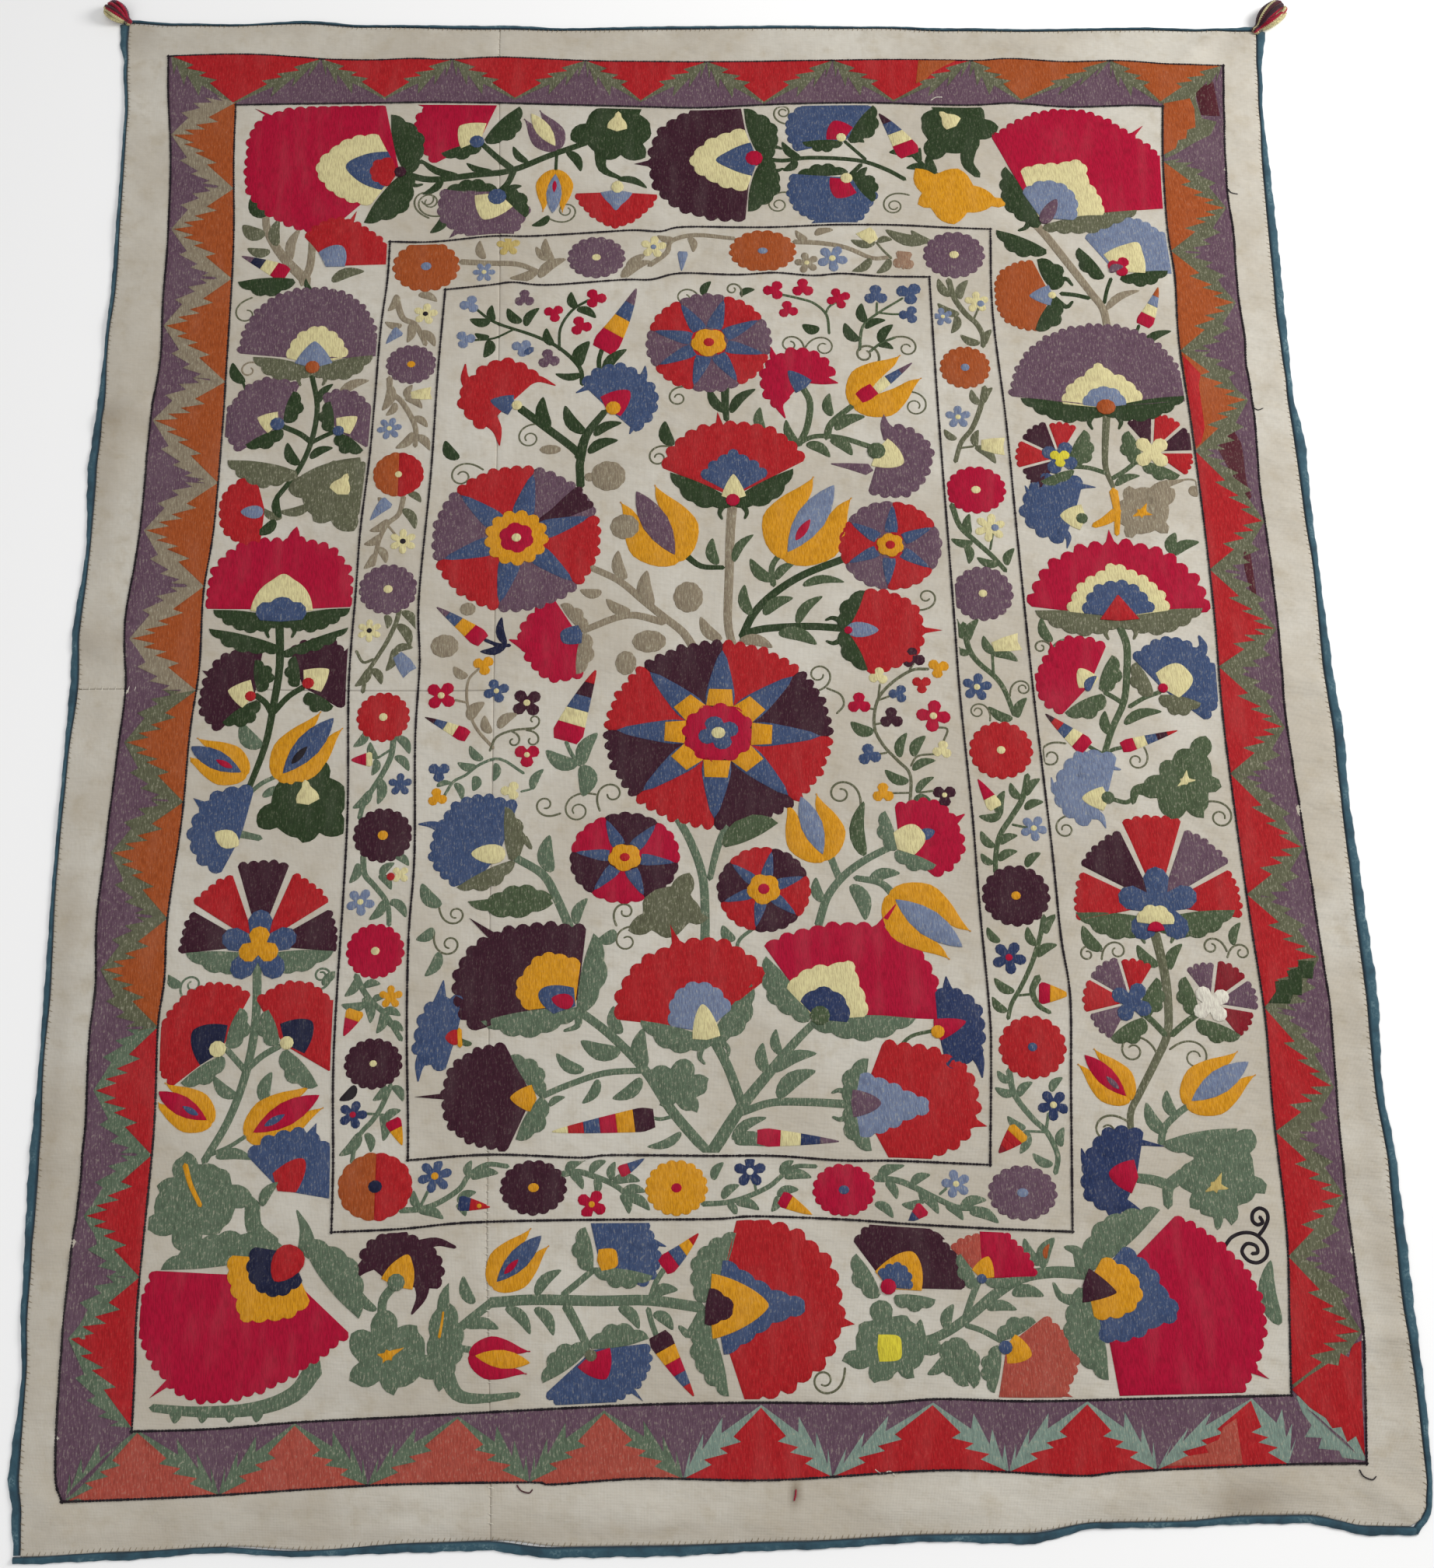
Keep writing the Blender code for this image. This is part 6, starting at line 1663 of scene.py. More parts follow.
def field_middle():
    """The middle third of the field."""
    stroke("green", [(3.8, 84.4), (5.0, 86.9), (7.1, 89.1), (10.1, 91.1), (14.4, 92.9)], 0.8, 0.8)
    stroke("green", [(3.8, 84.6), (6.0, 85.2), (10.1, 85.4), (14.2, 85.1)], 0.8, 0.8)
    stroke("moss", [(7.0, 90.0), (6.9, 92.0), (7.9, 93.6)], 0.6)
    leaves(
        "moss", (1.4, 92.3, 98, 3.0, 1.2), (3.0, 92.6, 55, 3.7, 1.0), (7.0, 90.4, 132, 3.4, 1.3),
        (7.2, 90.6, 42, 2.7, 1.0), (9.9, 89.9, 4, 4.2, 1.0), (4.7, 86.7, 100, 3.4, 1.2),
        (5.9, 86.8, 30, 3.5, 1.3), (9.2, 85.7, 48, 4.0, 1.1), (7.4, 84.8, 340, 4.0, 1.5),
        (16.4, 73.9, 152, 2.5, 1.3), (18.8, 71.3, 72, 2.7, 1.0), (20.1, 71.4, 58, 2.5, 1.1),
        (20.0, 70.0, 22, 2.5, 0.9), (19.6, 68.7, 150, 2.6, 1.1), (20.3, 67.6, 42, 2.4, 0.8),
        (20.0, 66.9, 356, 1.7, 0.9), (15.0, 61.2, 88, 5.6, 1.5),
    )
    leaves(
        "taupe", (3.5, 84.0, 346, 3.4, 1.3), (1.7, 84.0, 128, 3.3, 1.3), (-7.8, 90.8, 102, 3.3, 1.3),
        (-5.2, 87.8, 96, 4.0, 1.6), (-10.1, 89.4, 172, 2.2, 1.1), (-7.3, 87.2, 148, 2.8, 1.2),
        (-23.3, 80.4, 140, 1.8, 1.0), (-23.1, 75.9, 50, 2.4, 1.3), (-20.9, 74.4, 108, 2.0, 1.0),
        (-20.2, 75.0, 38, 2.4, 1.1),
    )
    fan("red", 14.2, 84.9, 0, 7.4, (4.5, 4.4), -68, 66, 2.6, 13, 0.34, 0.0, (0, 1.6))
    leaf("pale_blue", 14.1, 85.0, 358, 3.2, 1.7, 1.0, 0.0)
    disc("crimson", 2, 14.3, 84.9, 0.42)
    calyx("green", 14.0, 84.9, 0, 4.8, 1.4, 64, 3, 1.1)
    tendril("olive", 21.2, 87.0, 4, 6.2, 440, 0.22)
    tendril("olive", 10.0, 78.3, 4, 8.4, 470, 0.22)
    stroke("olive", [(12.0, 78.7), (13.3, 78.0), (13.6, 76.9), (12.9, 76.0)], 0.22)
    stroke(
        "olive",
        [
            (19.6, 66.0), (19.8, 69.4), (18.7, 70.9), (17.3, 72.6), (16.5, 74.6), (16.9, 77.3), (18.3, 79.1),
            (20.4, 80.5), (22.0, 80.6),
        ], 0.32,
    )
    for path in (
        [(17.0, 77.6), (17.2, 79.0)], [(16.9, 77.3), (18.2, 77.8)], [(16.5, 76.4), (15.6, 76.6)],
        [(16.6, 74.8), (17.6, 75.0)], [(17.6, 71.8), (16.4, 71.6)],
        [(19.9, 70.4), (20.6, 71.4), (22.4, 71.6)], [(22.4, 74.4), (23.6, 74.2), (23.2, 73.0)],
        [(19.8, 67.6), (18.0, 67.6)], [(20.2, 80.6), (20.6, 81.2)], [(20.6, 67.6), (22.2, 67.8)],
    ):
        stroke("olive", path, 0.22)
    blossoms(
        ("aubergine", 20.6, 81.8, 1.2, 3, 340, None), ("gold", 23.0, 80.7, 1.1, 3, 20, None),
        ("cream", 17.1, 79.9, 1.0, 3, 80, None), ("red", 21.3, 79.0, 1.0, 3, 270, None),
        ("blue", 19.0, 78.0, 1.0, 3, 60, None), ("crimson", 15.1, 77.0, 1.2, 3, 90, None),
        ("aubergine", 18.2, 75.4, 1.2, 3, 90, None), ("crimson", 22.3, 75.6, 1.7, 4, 82, "cream"),
        ("blue", 15.9, 71.6, 1.2, 3, 100, None), ("cream", 23.0, 72.0, 1.0, 3, 80, None),
        ("gold", 17.1, 67.6, 1.1, 3, 90, None), ("aubergine", 23.0, 67.3, 1.2, 3, 30, "cream"),
        ("gold", -21.7, 81.7, 1.1, 3, 40, None), ("crimson", -25.8, 78.5, 1.6, 4, 50, "cream"),
        ("blue", -20.4, 78.9, 1.3, 4, 20, "cream"), ("aubergine", -17.4, 77.6, 1.6, 4, 40, "cream"),
        ("crimson", -17.3, 72.1, 1.3, 3, 30, "cream"), ("blue", -25.8, 70.5, 1.1, 3, 30, None),
        ("gold", -25.9, 67.8, 1.0, 3, 100, None), ("cream", -18.8, 68.4, 1.0, 3, 60, None),
    )
    tendril("olive", 14.9, 66.2, 90, 9.0, 480, 0.24)
    rosette(
        1.3, 74.1, 10.7, 0.89, ("aubergine", "red") * 4, -3, "blue", "gold",
        (("crimson", 0.34, 12), ("blue", 0.19, 4), ("cream", 0.065, 0)),
    )
    stroke(
        "taupe", [(-1.0, 83.2), (-2.1, 85.0), (-4.0, 86.7), (-6.0, 88.5), (-8.4, 90.7), (-11.4, 92.3)], 0.9,
        0.7,
    )
    stroke("taupe", [(-4.0, 86.1), (-7.6, 86.9), (-11.9, 85.3)], 0.8, 0.7)
    bud(-21.8, 84.3, 139, 6.0, 2.1, ("crimson", "gold", "blue", "mauve"), 0.04)
    stroke("navy", [(-21.6, 84.4), (-20.4, 83.9), (-19.2, 83.8)], 0.4)
    leaves("navy", (-19.6, 83.9, 98, 3.0, 0.9), (-19.5, 83.9, 196, 2.7, 0.9))
    fan("crimson", -12.6, 84.9, 212, 5.3, (4.4, 4.0), -92, 68, 2.8, 12, 0.36)
    horns("crimson", ((-16.6, 83.2), (-18.0, 83.9), (-19.2, 84.4), 1.7))
    inner_fan("blue", 1, -12.1, 84.9, 190, 2.1, 1.0, -82, 82, 3.0)
    sepal("taupe", -12.0, 85.3, 128, 3.6, 1.1, -1, 3)
    sepal("taupe", -12.0, 84.9, 262, 4.4, 1.3, 1, 3)
    bud(-23.1, 74.1, 151, 4.7, 1.6, ("crimson", "cream", "blue", "aubergine"), 0.04)
    stroke("taupe", [(-20.6, 72.9), (-22.3, 75.0), (-23.2, 77.5), (-23.2, 80.0), (-22.2, 81.3)], 0.35, 0.25)
    stroke("taupe", [(-24.4, 78.0), (-23.2, 77.7)], 0.25)
    stroke("olive", [(-20.9, 72.6), (-20.3, 74.0), (-18.7, 74.7), (-16.6, 74.9)], 0.25)
    tendril("olive", -17.0, 74.8, 20, 3.0, 330, 0.22)
    tendril("olive", -17.4, 74.7, 350, 3.6, -330, 0.22)
    tendril("olive", -18.8, 74.6, 330, 3.2, -340, 0.22)
    stroke(
        "sage", [(-17.6, 70.2), (-19.9, 71.7), (-21.8, 71.2), (-23.2, 70.1), (-24.4, 69.4), (-25.2, 68.0)],
        0.3,
    )
    stroke("sage", [(-17.8, 68.3), (-16.8, 68.6), (-16.2, 69.4)], 0.22)
    leaves(
        "sage", (-21.6, 71.6, 130, 2.0, 0.9), (-22.2, 70.9, 165, 1.9, 0.9), (-22.2, 70.0, 262, 1.6, 1.0),
        (-20.3, 71.3, 264, 1.9, 0.8), (-24.2, 69.3, 292, 1.9, 0.8), (-16.8, 68.5, 62, 2.4, 0.9),
        (-12.4, 70.9, 152, 3.5, 1.6), (-12.1, 71.0, 64, 3.7, 1.5), (-11.7, 71.0, 268, 3.3, 1.9),
        (-26.0, 69.0, 10, 1.6, 0.6),
    )
    bud(-13.6, 73.5, 72, 8.0, 3.3, ("crimson", "cream", "blue", "aubergine", "red"), -0.06)
    stroke("sage", [(-13.5, 73.4), (-13.0, 72.2), (-12.2, 71.0)], 0.4)
    tendril("olive", -10.6, 67.9, 170, 9.6, 520, 0.22)
    tendril("olive", -14.0, 66.0, 200, 6.0, -420, 0.22)
    tendril("olive", -10.2, 66.2, 108, 7.0, -400, 0.22)


def field_bottom():
    """The lower third of the field."""
    fan("blue", -19.9, 62.0, 158, 6.3, (5.2, 4.4), -88, 76, 2.8, 15, 0.36)
    horns("blue", ((-24.6, 64.2), (-26.2, 65.0), (-27.6, 65.1), 1.4))
    leaf("cream", -19.2, 61.9, 178, 3.3, 2.0, 1.0, 0.0)
    sepal("olive", -18.8, 61.4, 96, 5.4, 1.5, -1, 4)
    sepal("olive", -18.6, 61.2, 206, 5.8, 1.4, 1, 4)
    stroke("olive", [(-18.4, 62.0), (-17.6, 63.5), (-16.8, 62.5)], 1.3, 0.4)
    stroke("sage", [(-18.2, 61.5), (-15.6, 59.8), (-14.3, 57.5), (-12.9, 54.2)], 0.8, 0.9)
    sepal("moss", -14.9, 57.2, 180, 7.8, 1.5, 1, 4)
    sepal("moss", -14.9, 57.2, 180, 6.0, 1.4, -1, 4)
    leaves(
        "sage", (-14.9, 60.0, 92, 3.8, 1.6), (-12.5, 54.8, 66, 2.8, 1.1), (-25.3, 56.7, 128, 3.0, 1.4),
        (-25.8, 54.5, 212, 2.0, 1.1), (-25.2, 52.2, 240, 2.7, 1.1), (-8.6, 54.0, 208, 2.1, 1.3),
        (-8.2, 44.0, 104, 2.8, 1.3), (-8.2, 42.2, 162, 3.9, 1.7), (-6.0, 40.8, 92, 3.7, 1.6),
        (-11.6, 40.5, 146, 3.1, 1.2), (-10.2, 39.7, 236, 2.7, 1.0), (-6.2, 39.7, 214, 3.3, 1.3),
        (-2.6, 34.6, 202, 3.4, 0.9), (-14.8, 37.3, 28, 1.7, 0.7), (11.0, 56.6, 104, 2.6, 1.1),
        (13.8, 58.4, 288, 3.8, 1.6), (15.4, 58.7, 14, 3.1, 1.2), (2.5, 52.9, 125, 1.9, 1.1),
        (6.6, 41.8, 98, 2.5, 1.0), (5.3, 40.1, 96, 2.9, 1.2), (6.0, 40.3, 22, 4.3, 1.3),
        (6.2, 37.8, 34, 4.4, 1.6), (2.0, 33.9, 32, 3.8, 1.0), (2.2, 33.8, 352, 3.4, 1.4),
    )
    tendril("olive", -25.4, 56.6, 284, 6.4, 470, 0.22)
    tendril("olive", -25.8, 54.2, 268, 7.2, 470, 0.22)
    rosette(
        -7.8, 61.4, 5.1, 0.87, ("crimson", "aubergine") * 3, -8, "blue", None,
        (("gold", 0.32, 5), ("red", 0.1, 0)),
    )
    star("olive", 0, -3.7, 55.9, 62, (4.4, 2.6, 4.2, 2.6, 3.6), 0.6, 2, 0.22)
    tendril("olive", -8.6, 54.6, 110, 5.6, -420, 0.22)
    tendril("olive", -6.2, 54.4, 172, 7.0, 430, 0.22)
    stroke("sage", [(-3.0, 65.8), (-1.5, 62.9), (-0.4, 59.4), (-0.2, 55.4), (-0.3, 51.6)], 0.75, 0.9)
    fan("aubergine", -12.3, 47.4, 168, 11.5, (6.9, 6.6), -85, 29, 2.2, 15, 0.42, 0.0, (-27, 2.6))
    fan("gold", -12.5, 47.0, 148, 5.6, (3.6, 2.9), -66, 40, 3.2, 8, 0.24, level=1)
    inner_fan("blue", 2, -12.5, 46.8, 158, 3.6, 1.6, -66, 44, 2.0)
    leaf("crimson", -12.6, 47.0, 166, 2.1, 1.5, 3.0, 0.0)
    sepal("sage", -12.2, 46.4, 79, 7.6, 1.9, -1, 3)
    sepal("sage", -12.5, 46.5, 187, 8.8, 2.0, 1, 5)
    stroke("sage", [(-12.2, 46.2), (-12.2, 44.9), (-13.4, 44.4)], 0.9, 0.3)
    stroke("sage", [(-12.2, 46.4), (-9.2, 44.0), (-6.0, 40.6), (-3.5, 36.7), (-0.3, 32.8)], 0.8, 1.0)
    stroke("sage", [(-6.0, 40.5), (-9.7, 40.3), (-13.1, 39.2), (-15.4, 38.2)], 0.6, 0.6)
    fan("blue", -23.6, 44.0, 166, 3.5, (3.5, 3.2), -90, 90, 2.8, 8, 0.4)
    horns(
        "blue", ((-25.2, 46.4), (-25.0, 47.8), (-24.8, 49.4), 1.9),
        ((-26.2, 42.4), (-26.8, 41.3), (-26.9, 39.8), 1.6),
    )
    leaf("red", -23.0, 43.9, 180, 1.5, 1.5, 1.0, 0.0)
    stroke("gold", [(-23.2, 44.6), (-23.1, 43.1)], 0.45, 0.45, 1.4)
    leaf("moss", -22.0, 43.2, 152, 1.4, 0.6)
    fan("aubergine", -16.4, 38.2, 180, 8.0, (5.0, 4.9), -63, 67, 2.6, 16, 0.36, 0.0, (0, 2.4))
    inner_fan("gold", 1, -16.0, 38.0, 178, 2.4, 1.4, -72, 72, 1.4)
    sepal("sage", -15.6, 38.2, 126, 4.8, 1.5, -1, 4)
    sepal("sage", -15.6, 38.0, 240, 4.4, 1.6, 1, 3)
    bud(-5.1, 36.0, 187, 9.4, 2.5, ("aubergine", "gold", "crimson", "blue", "red", "cream"), 0.0)
    stroke("sage", [(-5.2, 36.0), (-4.4, 35.9), (-3.2, 36.2)], 0.35)
    fan("red", -0.4, 44.4, 108, 8.5, (7.2, 7.8), -69, 65, 2.4, 13, 0.42, 0.0, (-2, 1.7))
    fan("pale_blue", -0.4, 44.2, 104, 4.6, (2.9, 2.9), -66, 68, 2.4, 7, 0.26, level=1)
    inner_fan("cream", 2, -0.2, 43.4, 96, 3.4, 1.3, -84, 84, 1.6)
    calyx("sage", 0.1, 43.2, 108, 6.8, 1.8, 54, 4, 1.1)
    stroke("sage", [(0.4, 43.4), (1.7, 40.8), (2.9, 37.4)], 0.9)
    star("sage", 0, -2.6, 39.0, 80, (2.6, 3.4, 2.4, 2.8, 2.6), 0.6, 2, 0.22)
    stroke("sage", [(2.4, 65.4), (1.1, 62.4), (0.3, 59.2)], 0.8, 0.6)
    sepal("moss", 1.8, 62.4, 24, 5.6, 1.9, 1, 2)
    tulip(11.3, 60.8, 108, 6.6, "gold", "pale_blue", None, 1.2)
    stroke("sage", [(11.6, 62.0), (12.1, 60.4), (12.6, 59.0)], 0.7)
    stroke("sage", [(10.5, 54.4), (11.4, 57.1), (13.0, 59.2), (15.1, 60.8), (17.8, 62.2)], 0.8, 0.7)
    stroke("sage", [(14.2, 59.0), (16.5, 58.5), (17.8, 57.2)], 0.6, 0.8)
    fan("crimson", 18.6, 62.0, 22, 5.8, (3.9, 4.0), -66, 74, 3.0, 12, 0.34)
    horns("crimson", ((22.2, 64.0), (23.6, 64.5), (24.8, 65.3), 1.8))
    inner_fan("cream", 1, 18.3, 61.9, 40, 3.0, 1.5, -64, 64, 3.0)
    leaf("blue", 20.4, 63.1, 20, 1.6, 1.2, 1.0, 0.0)
    sepal("sage", 18.2, 61.9, 104, 4.0, 1.2, 1, 3)
    sepal("sage", 18.2, 61.7, 338, 4.0, 1.2, -1, 3)
    tulip(17.2, 57.3, 322, 8.2, "gold", "pale_blue", None, 1.1)
    rosette(
        5.4, 58.0, 4.3, 0.96, ("aubergine", "red") * 3, 18, "blue", None,
        (("gold", 0.38, 5), ("crimson", 0.13, 0)),
    )
    stroke("sage", [(4.3, 54.1), (3.0, 53.0), (2.6, 51.4)], 0.35)
    fan("crimson", 9.9, 45.6, 20, 11.7, (9.0, 8.0), -23, 104, 2.2, 15, 0.38, 0.0, (34, 3.0))
    fan("cream", 10.0, 45.2, 58, 5.1, (4.1, 3.9), -57, 74, 2.4, 8, 0.22, 0.24, level=1)
    fan("navy_blue", 10.2, 45.2, 52, 3.0, (2.5, 2.3), -60, 82, 2.4, 4, 0.2, level=2)
    disc("moss", 3, 10.4, 45.5, 0.95)
    sepal("sage", 9.5, 45.4, 124, 7.2, 2.1, 1, 5)
    sepal("sage", 9.9, 45.1, 0, 9.4, 1.9, -1, 5)
    stroke("sage", [(10.0, 45.0), (8.0, 43.0), (5.7, 40.3), (2.9, 36.9), (0.3, 32.9)], 0.7, 1.2)
    stroke("sage", [(2.9, 36.4), (5.7, 37.3), (9.1, 37.3), (13.2, 37.0)], 0.7, 0.8)
    fan("navy_blue", 21.4, 44.2, 6, 4.0, (3.7, 3.4), -88, 88, 2.8, 9, 0.38)
    horns(
        "navy_blue", ((22.9, 46.6), (22.4, 47.8), (22.3, 49.1), 1.9),
        ((24.3, 42.4), (25.0, 41.0), (25.2, 39.4), 1.8),
    )
    inner_fan("crimson", 1, 21.0, 43.9, 16, 3.1, 1.1, -76, 76, 1.4)
    disc("gold", 2, 21.3, 43.8, 0.65)
    stroke("moss", [(20.8, 43.9), (18.8, 43.4), (17.5, 42.2)], 0.35)
    fan("red", 13.9, 37.0, 2, 10.6, (5.7, 5.6), -69, 67, 2.5, 16, 0.44, 0.0, (-13, 1.4))
    fan("pale_blue", 13.4, 37.0, -2, 5.3, (3.0, 2.9), -82, 82, 1.6, 10, 0.28, 0.28, level=1)
    inner_fan("mauve", 2, 13.1, 37.1, 0, 2.7, 1.3, -86, 86, 1.6)
    calyx("sage", 13.2, 37.0, 0, 4.6, 1.6, 70, 3, 1.1)
    bud(4.3, 34.1, 356, 7.5, 1.9, ("crimson", "cream", "navy_blue", "mauve"), 0.0)


def vine(silk, wide, points, *leaf_rows):
    """A stem and its leaves, each from its foot to its tip."""
    stroke(silk, points, wide, wide * 0.8)
    for x, y, tip_x, tip_y in leaf_rows:
        long = math.hypot(tip_x - x, tip_y - y)
        leaf(silk, x, y, math.degrees(math.atan2(tip_y - y, tip_x - x)), long, 0.45 + 0.22 * long)


def open_bud(silk, x, y, turn, long, wide):
    """A bud that widens from its foot to a nearly straight rim."""
    points = [(0.0, -0.25), (0.5, -0.42), (1.0, -0.5), (0.94, 0.0), (1.04, 0.46), (0.5, 0.42), (0.0, 0.3)]
    patch(silk, 0.0, placed(np.array(points) * (long, wide), x, y, turn))


# Round flowers of the narrow border: their silk and their dot's, the dot's share, and a second silk on the
# right
Round = namedtuple("Round", "x y radius tall silk dot share half")
ROUNDS = tuple(
    Round(*row)
    for row in (
        (-28.7, 127.6, 3.6, 0.87, "rust", "pale_blue", 0.16, None),
        (-10.8, 128.4, 3.1, 0.83, "mauve", "cream", 0.16, None),
        (6.7, 128.9, 3.6, 0.72, "rust", "pale_blue", 0.15, None),
        (26.8, 128.1, 3.3, 0.88, "mauve", "cream", 0.16, None),
        (27.3, 114.5, 2.65, 0.95, "rust", "pale_blue", 0.18, None),
        (27.7, 100.3, 3.1, 0.88, "crimson", "cream", 0.16, None),
        (27.8, 88.7, 3.1, 0.98, "mauve", "cream", 0.14, None),
        (28.7, 71.9, 3.15, 0.97, "red", "cream", 0.14, None),
        (29.3, 57.0, 3.3, 0.94, "aubergine", "gold", 0.14, None),
        (30.0, 42.2, 3.2, 0.96, "red", "blue", 0.14, None),
        (28.3, 28.6, 3.2, 0.8, "mauve", "pale_blue", 0.17, None),
        (12.1, 29.1, 2.9, 0.85, "crimson", "blue", 0.17, None),
        (-3.1, 29.5, 2.9, 0.9, "gold", "crimson", 0.17, None),
        (-16.1, 29.7, 3.1, 0.83, "aubergine", "gold", 0.17, None),
        (-30.5, 30.0, 3.3, 0.92, "rust", "navy", 0.2, "red"),
        (-31.1, 41.5, 2.75, 0.9, "aubergine", "cream", 0.13, None),
        (-31.3, 52.4, 2.8, 0.98, "crimson", "cream", 0.15, None),
        (-31.0, 64.0, 2.9, 0.97, "aubergine", "gold", 0.18, None),
        (-31.4, 76.3, 2.65, 1.0, "red", "cream", 0.16, None),
        (-31.4, 90.1, 3.0, 0.93, "mauve", "cream", 0.16, None),
        (-30.8, 103.0, 2.5, 0.98, "rust", "cream", 0.15, "red"),
        (-29.9, 115.8, 2.65, 0.88, "mauve", "gold", 0.17, None),
    )
)


def narrow_border_top():
    """The faded run of the narrow border above the field."""
    vine(
        "taupe", 0.7, [(-25.0, 128.1), (-22.2, 127.9), (-19.1, 127.7), (-17.0, 126.8)],
        (-22.6, 128.4, -23.1, 130.7), (-16.9, 127.0, -19.9, 126.0), (-16.9, 126.1, -14.0, 128.3),
        (-15.4, 128.0, -16.2, 130.8), (-15.7, 128.2, -17.2, 129.8),
    )
    vine(
        "taupe", 0.6, [(-5.2, 127.4), (-3.4, 128.9), (-2.9, 130.3), (-0.4, 131.0), (3.7, 130.5)],
        (-8.2, 125.8, -5.1, 127.9), (-7.6, 126.4, -5.6, 128.8), (-2.7, 130.5, -4.4, 131.0),
        (-1.0, 130.8, -0.6, 128.9),
    )
    vine(
        "taupe", 0.6, [(10.1, 130.0), (12.9, 129.8), (15.5, 129.2), (18.1, 127.9), (19.8, 127.9)],
        (11.4, 130.2, 10.2, 131.4), (12.2, 130.9, 14.2, 131.4),
    )
    vine(
        "olive", 0.3, [(20.2, 127.8), (19.3, 128.9), (18.7, 129.8)], (18.6, 129.7, 16.0, 130.1),
        (18.8, 129.9, 20.4, 130.1), (18.1, 127.8, 16.0, 126.2), (20.1, 127.7, 18.6, 126.0),
        (24.2, 129.9, 19.7, 131.3), (24.4, 129.7, 22.4, 131.2),
    )
    open_bud("cream", 18.5, 129.9, 128, 1.9, 2.0)
    bud(21.6, 128.6, 262, 2.2, 1.9, ["fawn", "fawn"], 0.05)
    petals("fawn", 0.0, 21.5, 127.4, 1.2, 3, 80, 0.5)
    bud(-1.7, 129.0, 266, 2.4, 1.2, ["pale_blue", "pale_blue"], 0.0)
    blossoms(
        ("pale_blue", -22.6, 126.8, 1.2, 6, 0, "cream"), ("straw", -20.1, 130.0, 1.3, 5, 20, None),
        ("cream", -4.8, 129.6, 1.4, 5, 10, "pale_blue"), ("pale_blue", 14.0, 127.9, 1.65, 5, 60, "cream"),
        ("taupe", 11.3, 127.4, 1.3, 5, 30, "cream"),
    )


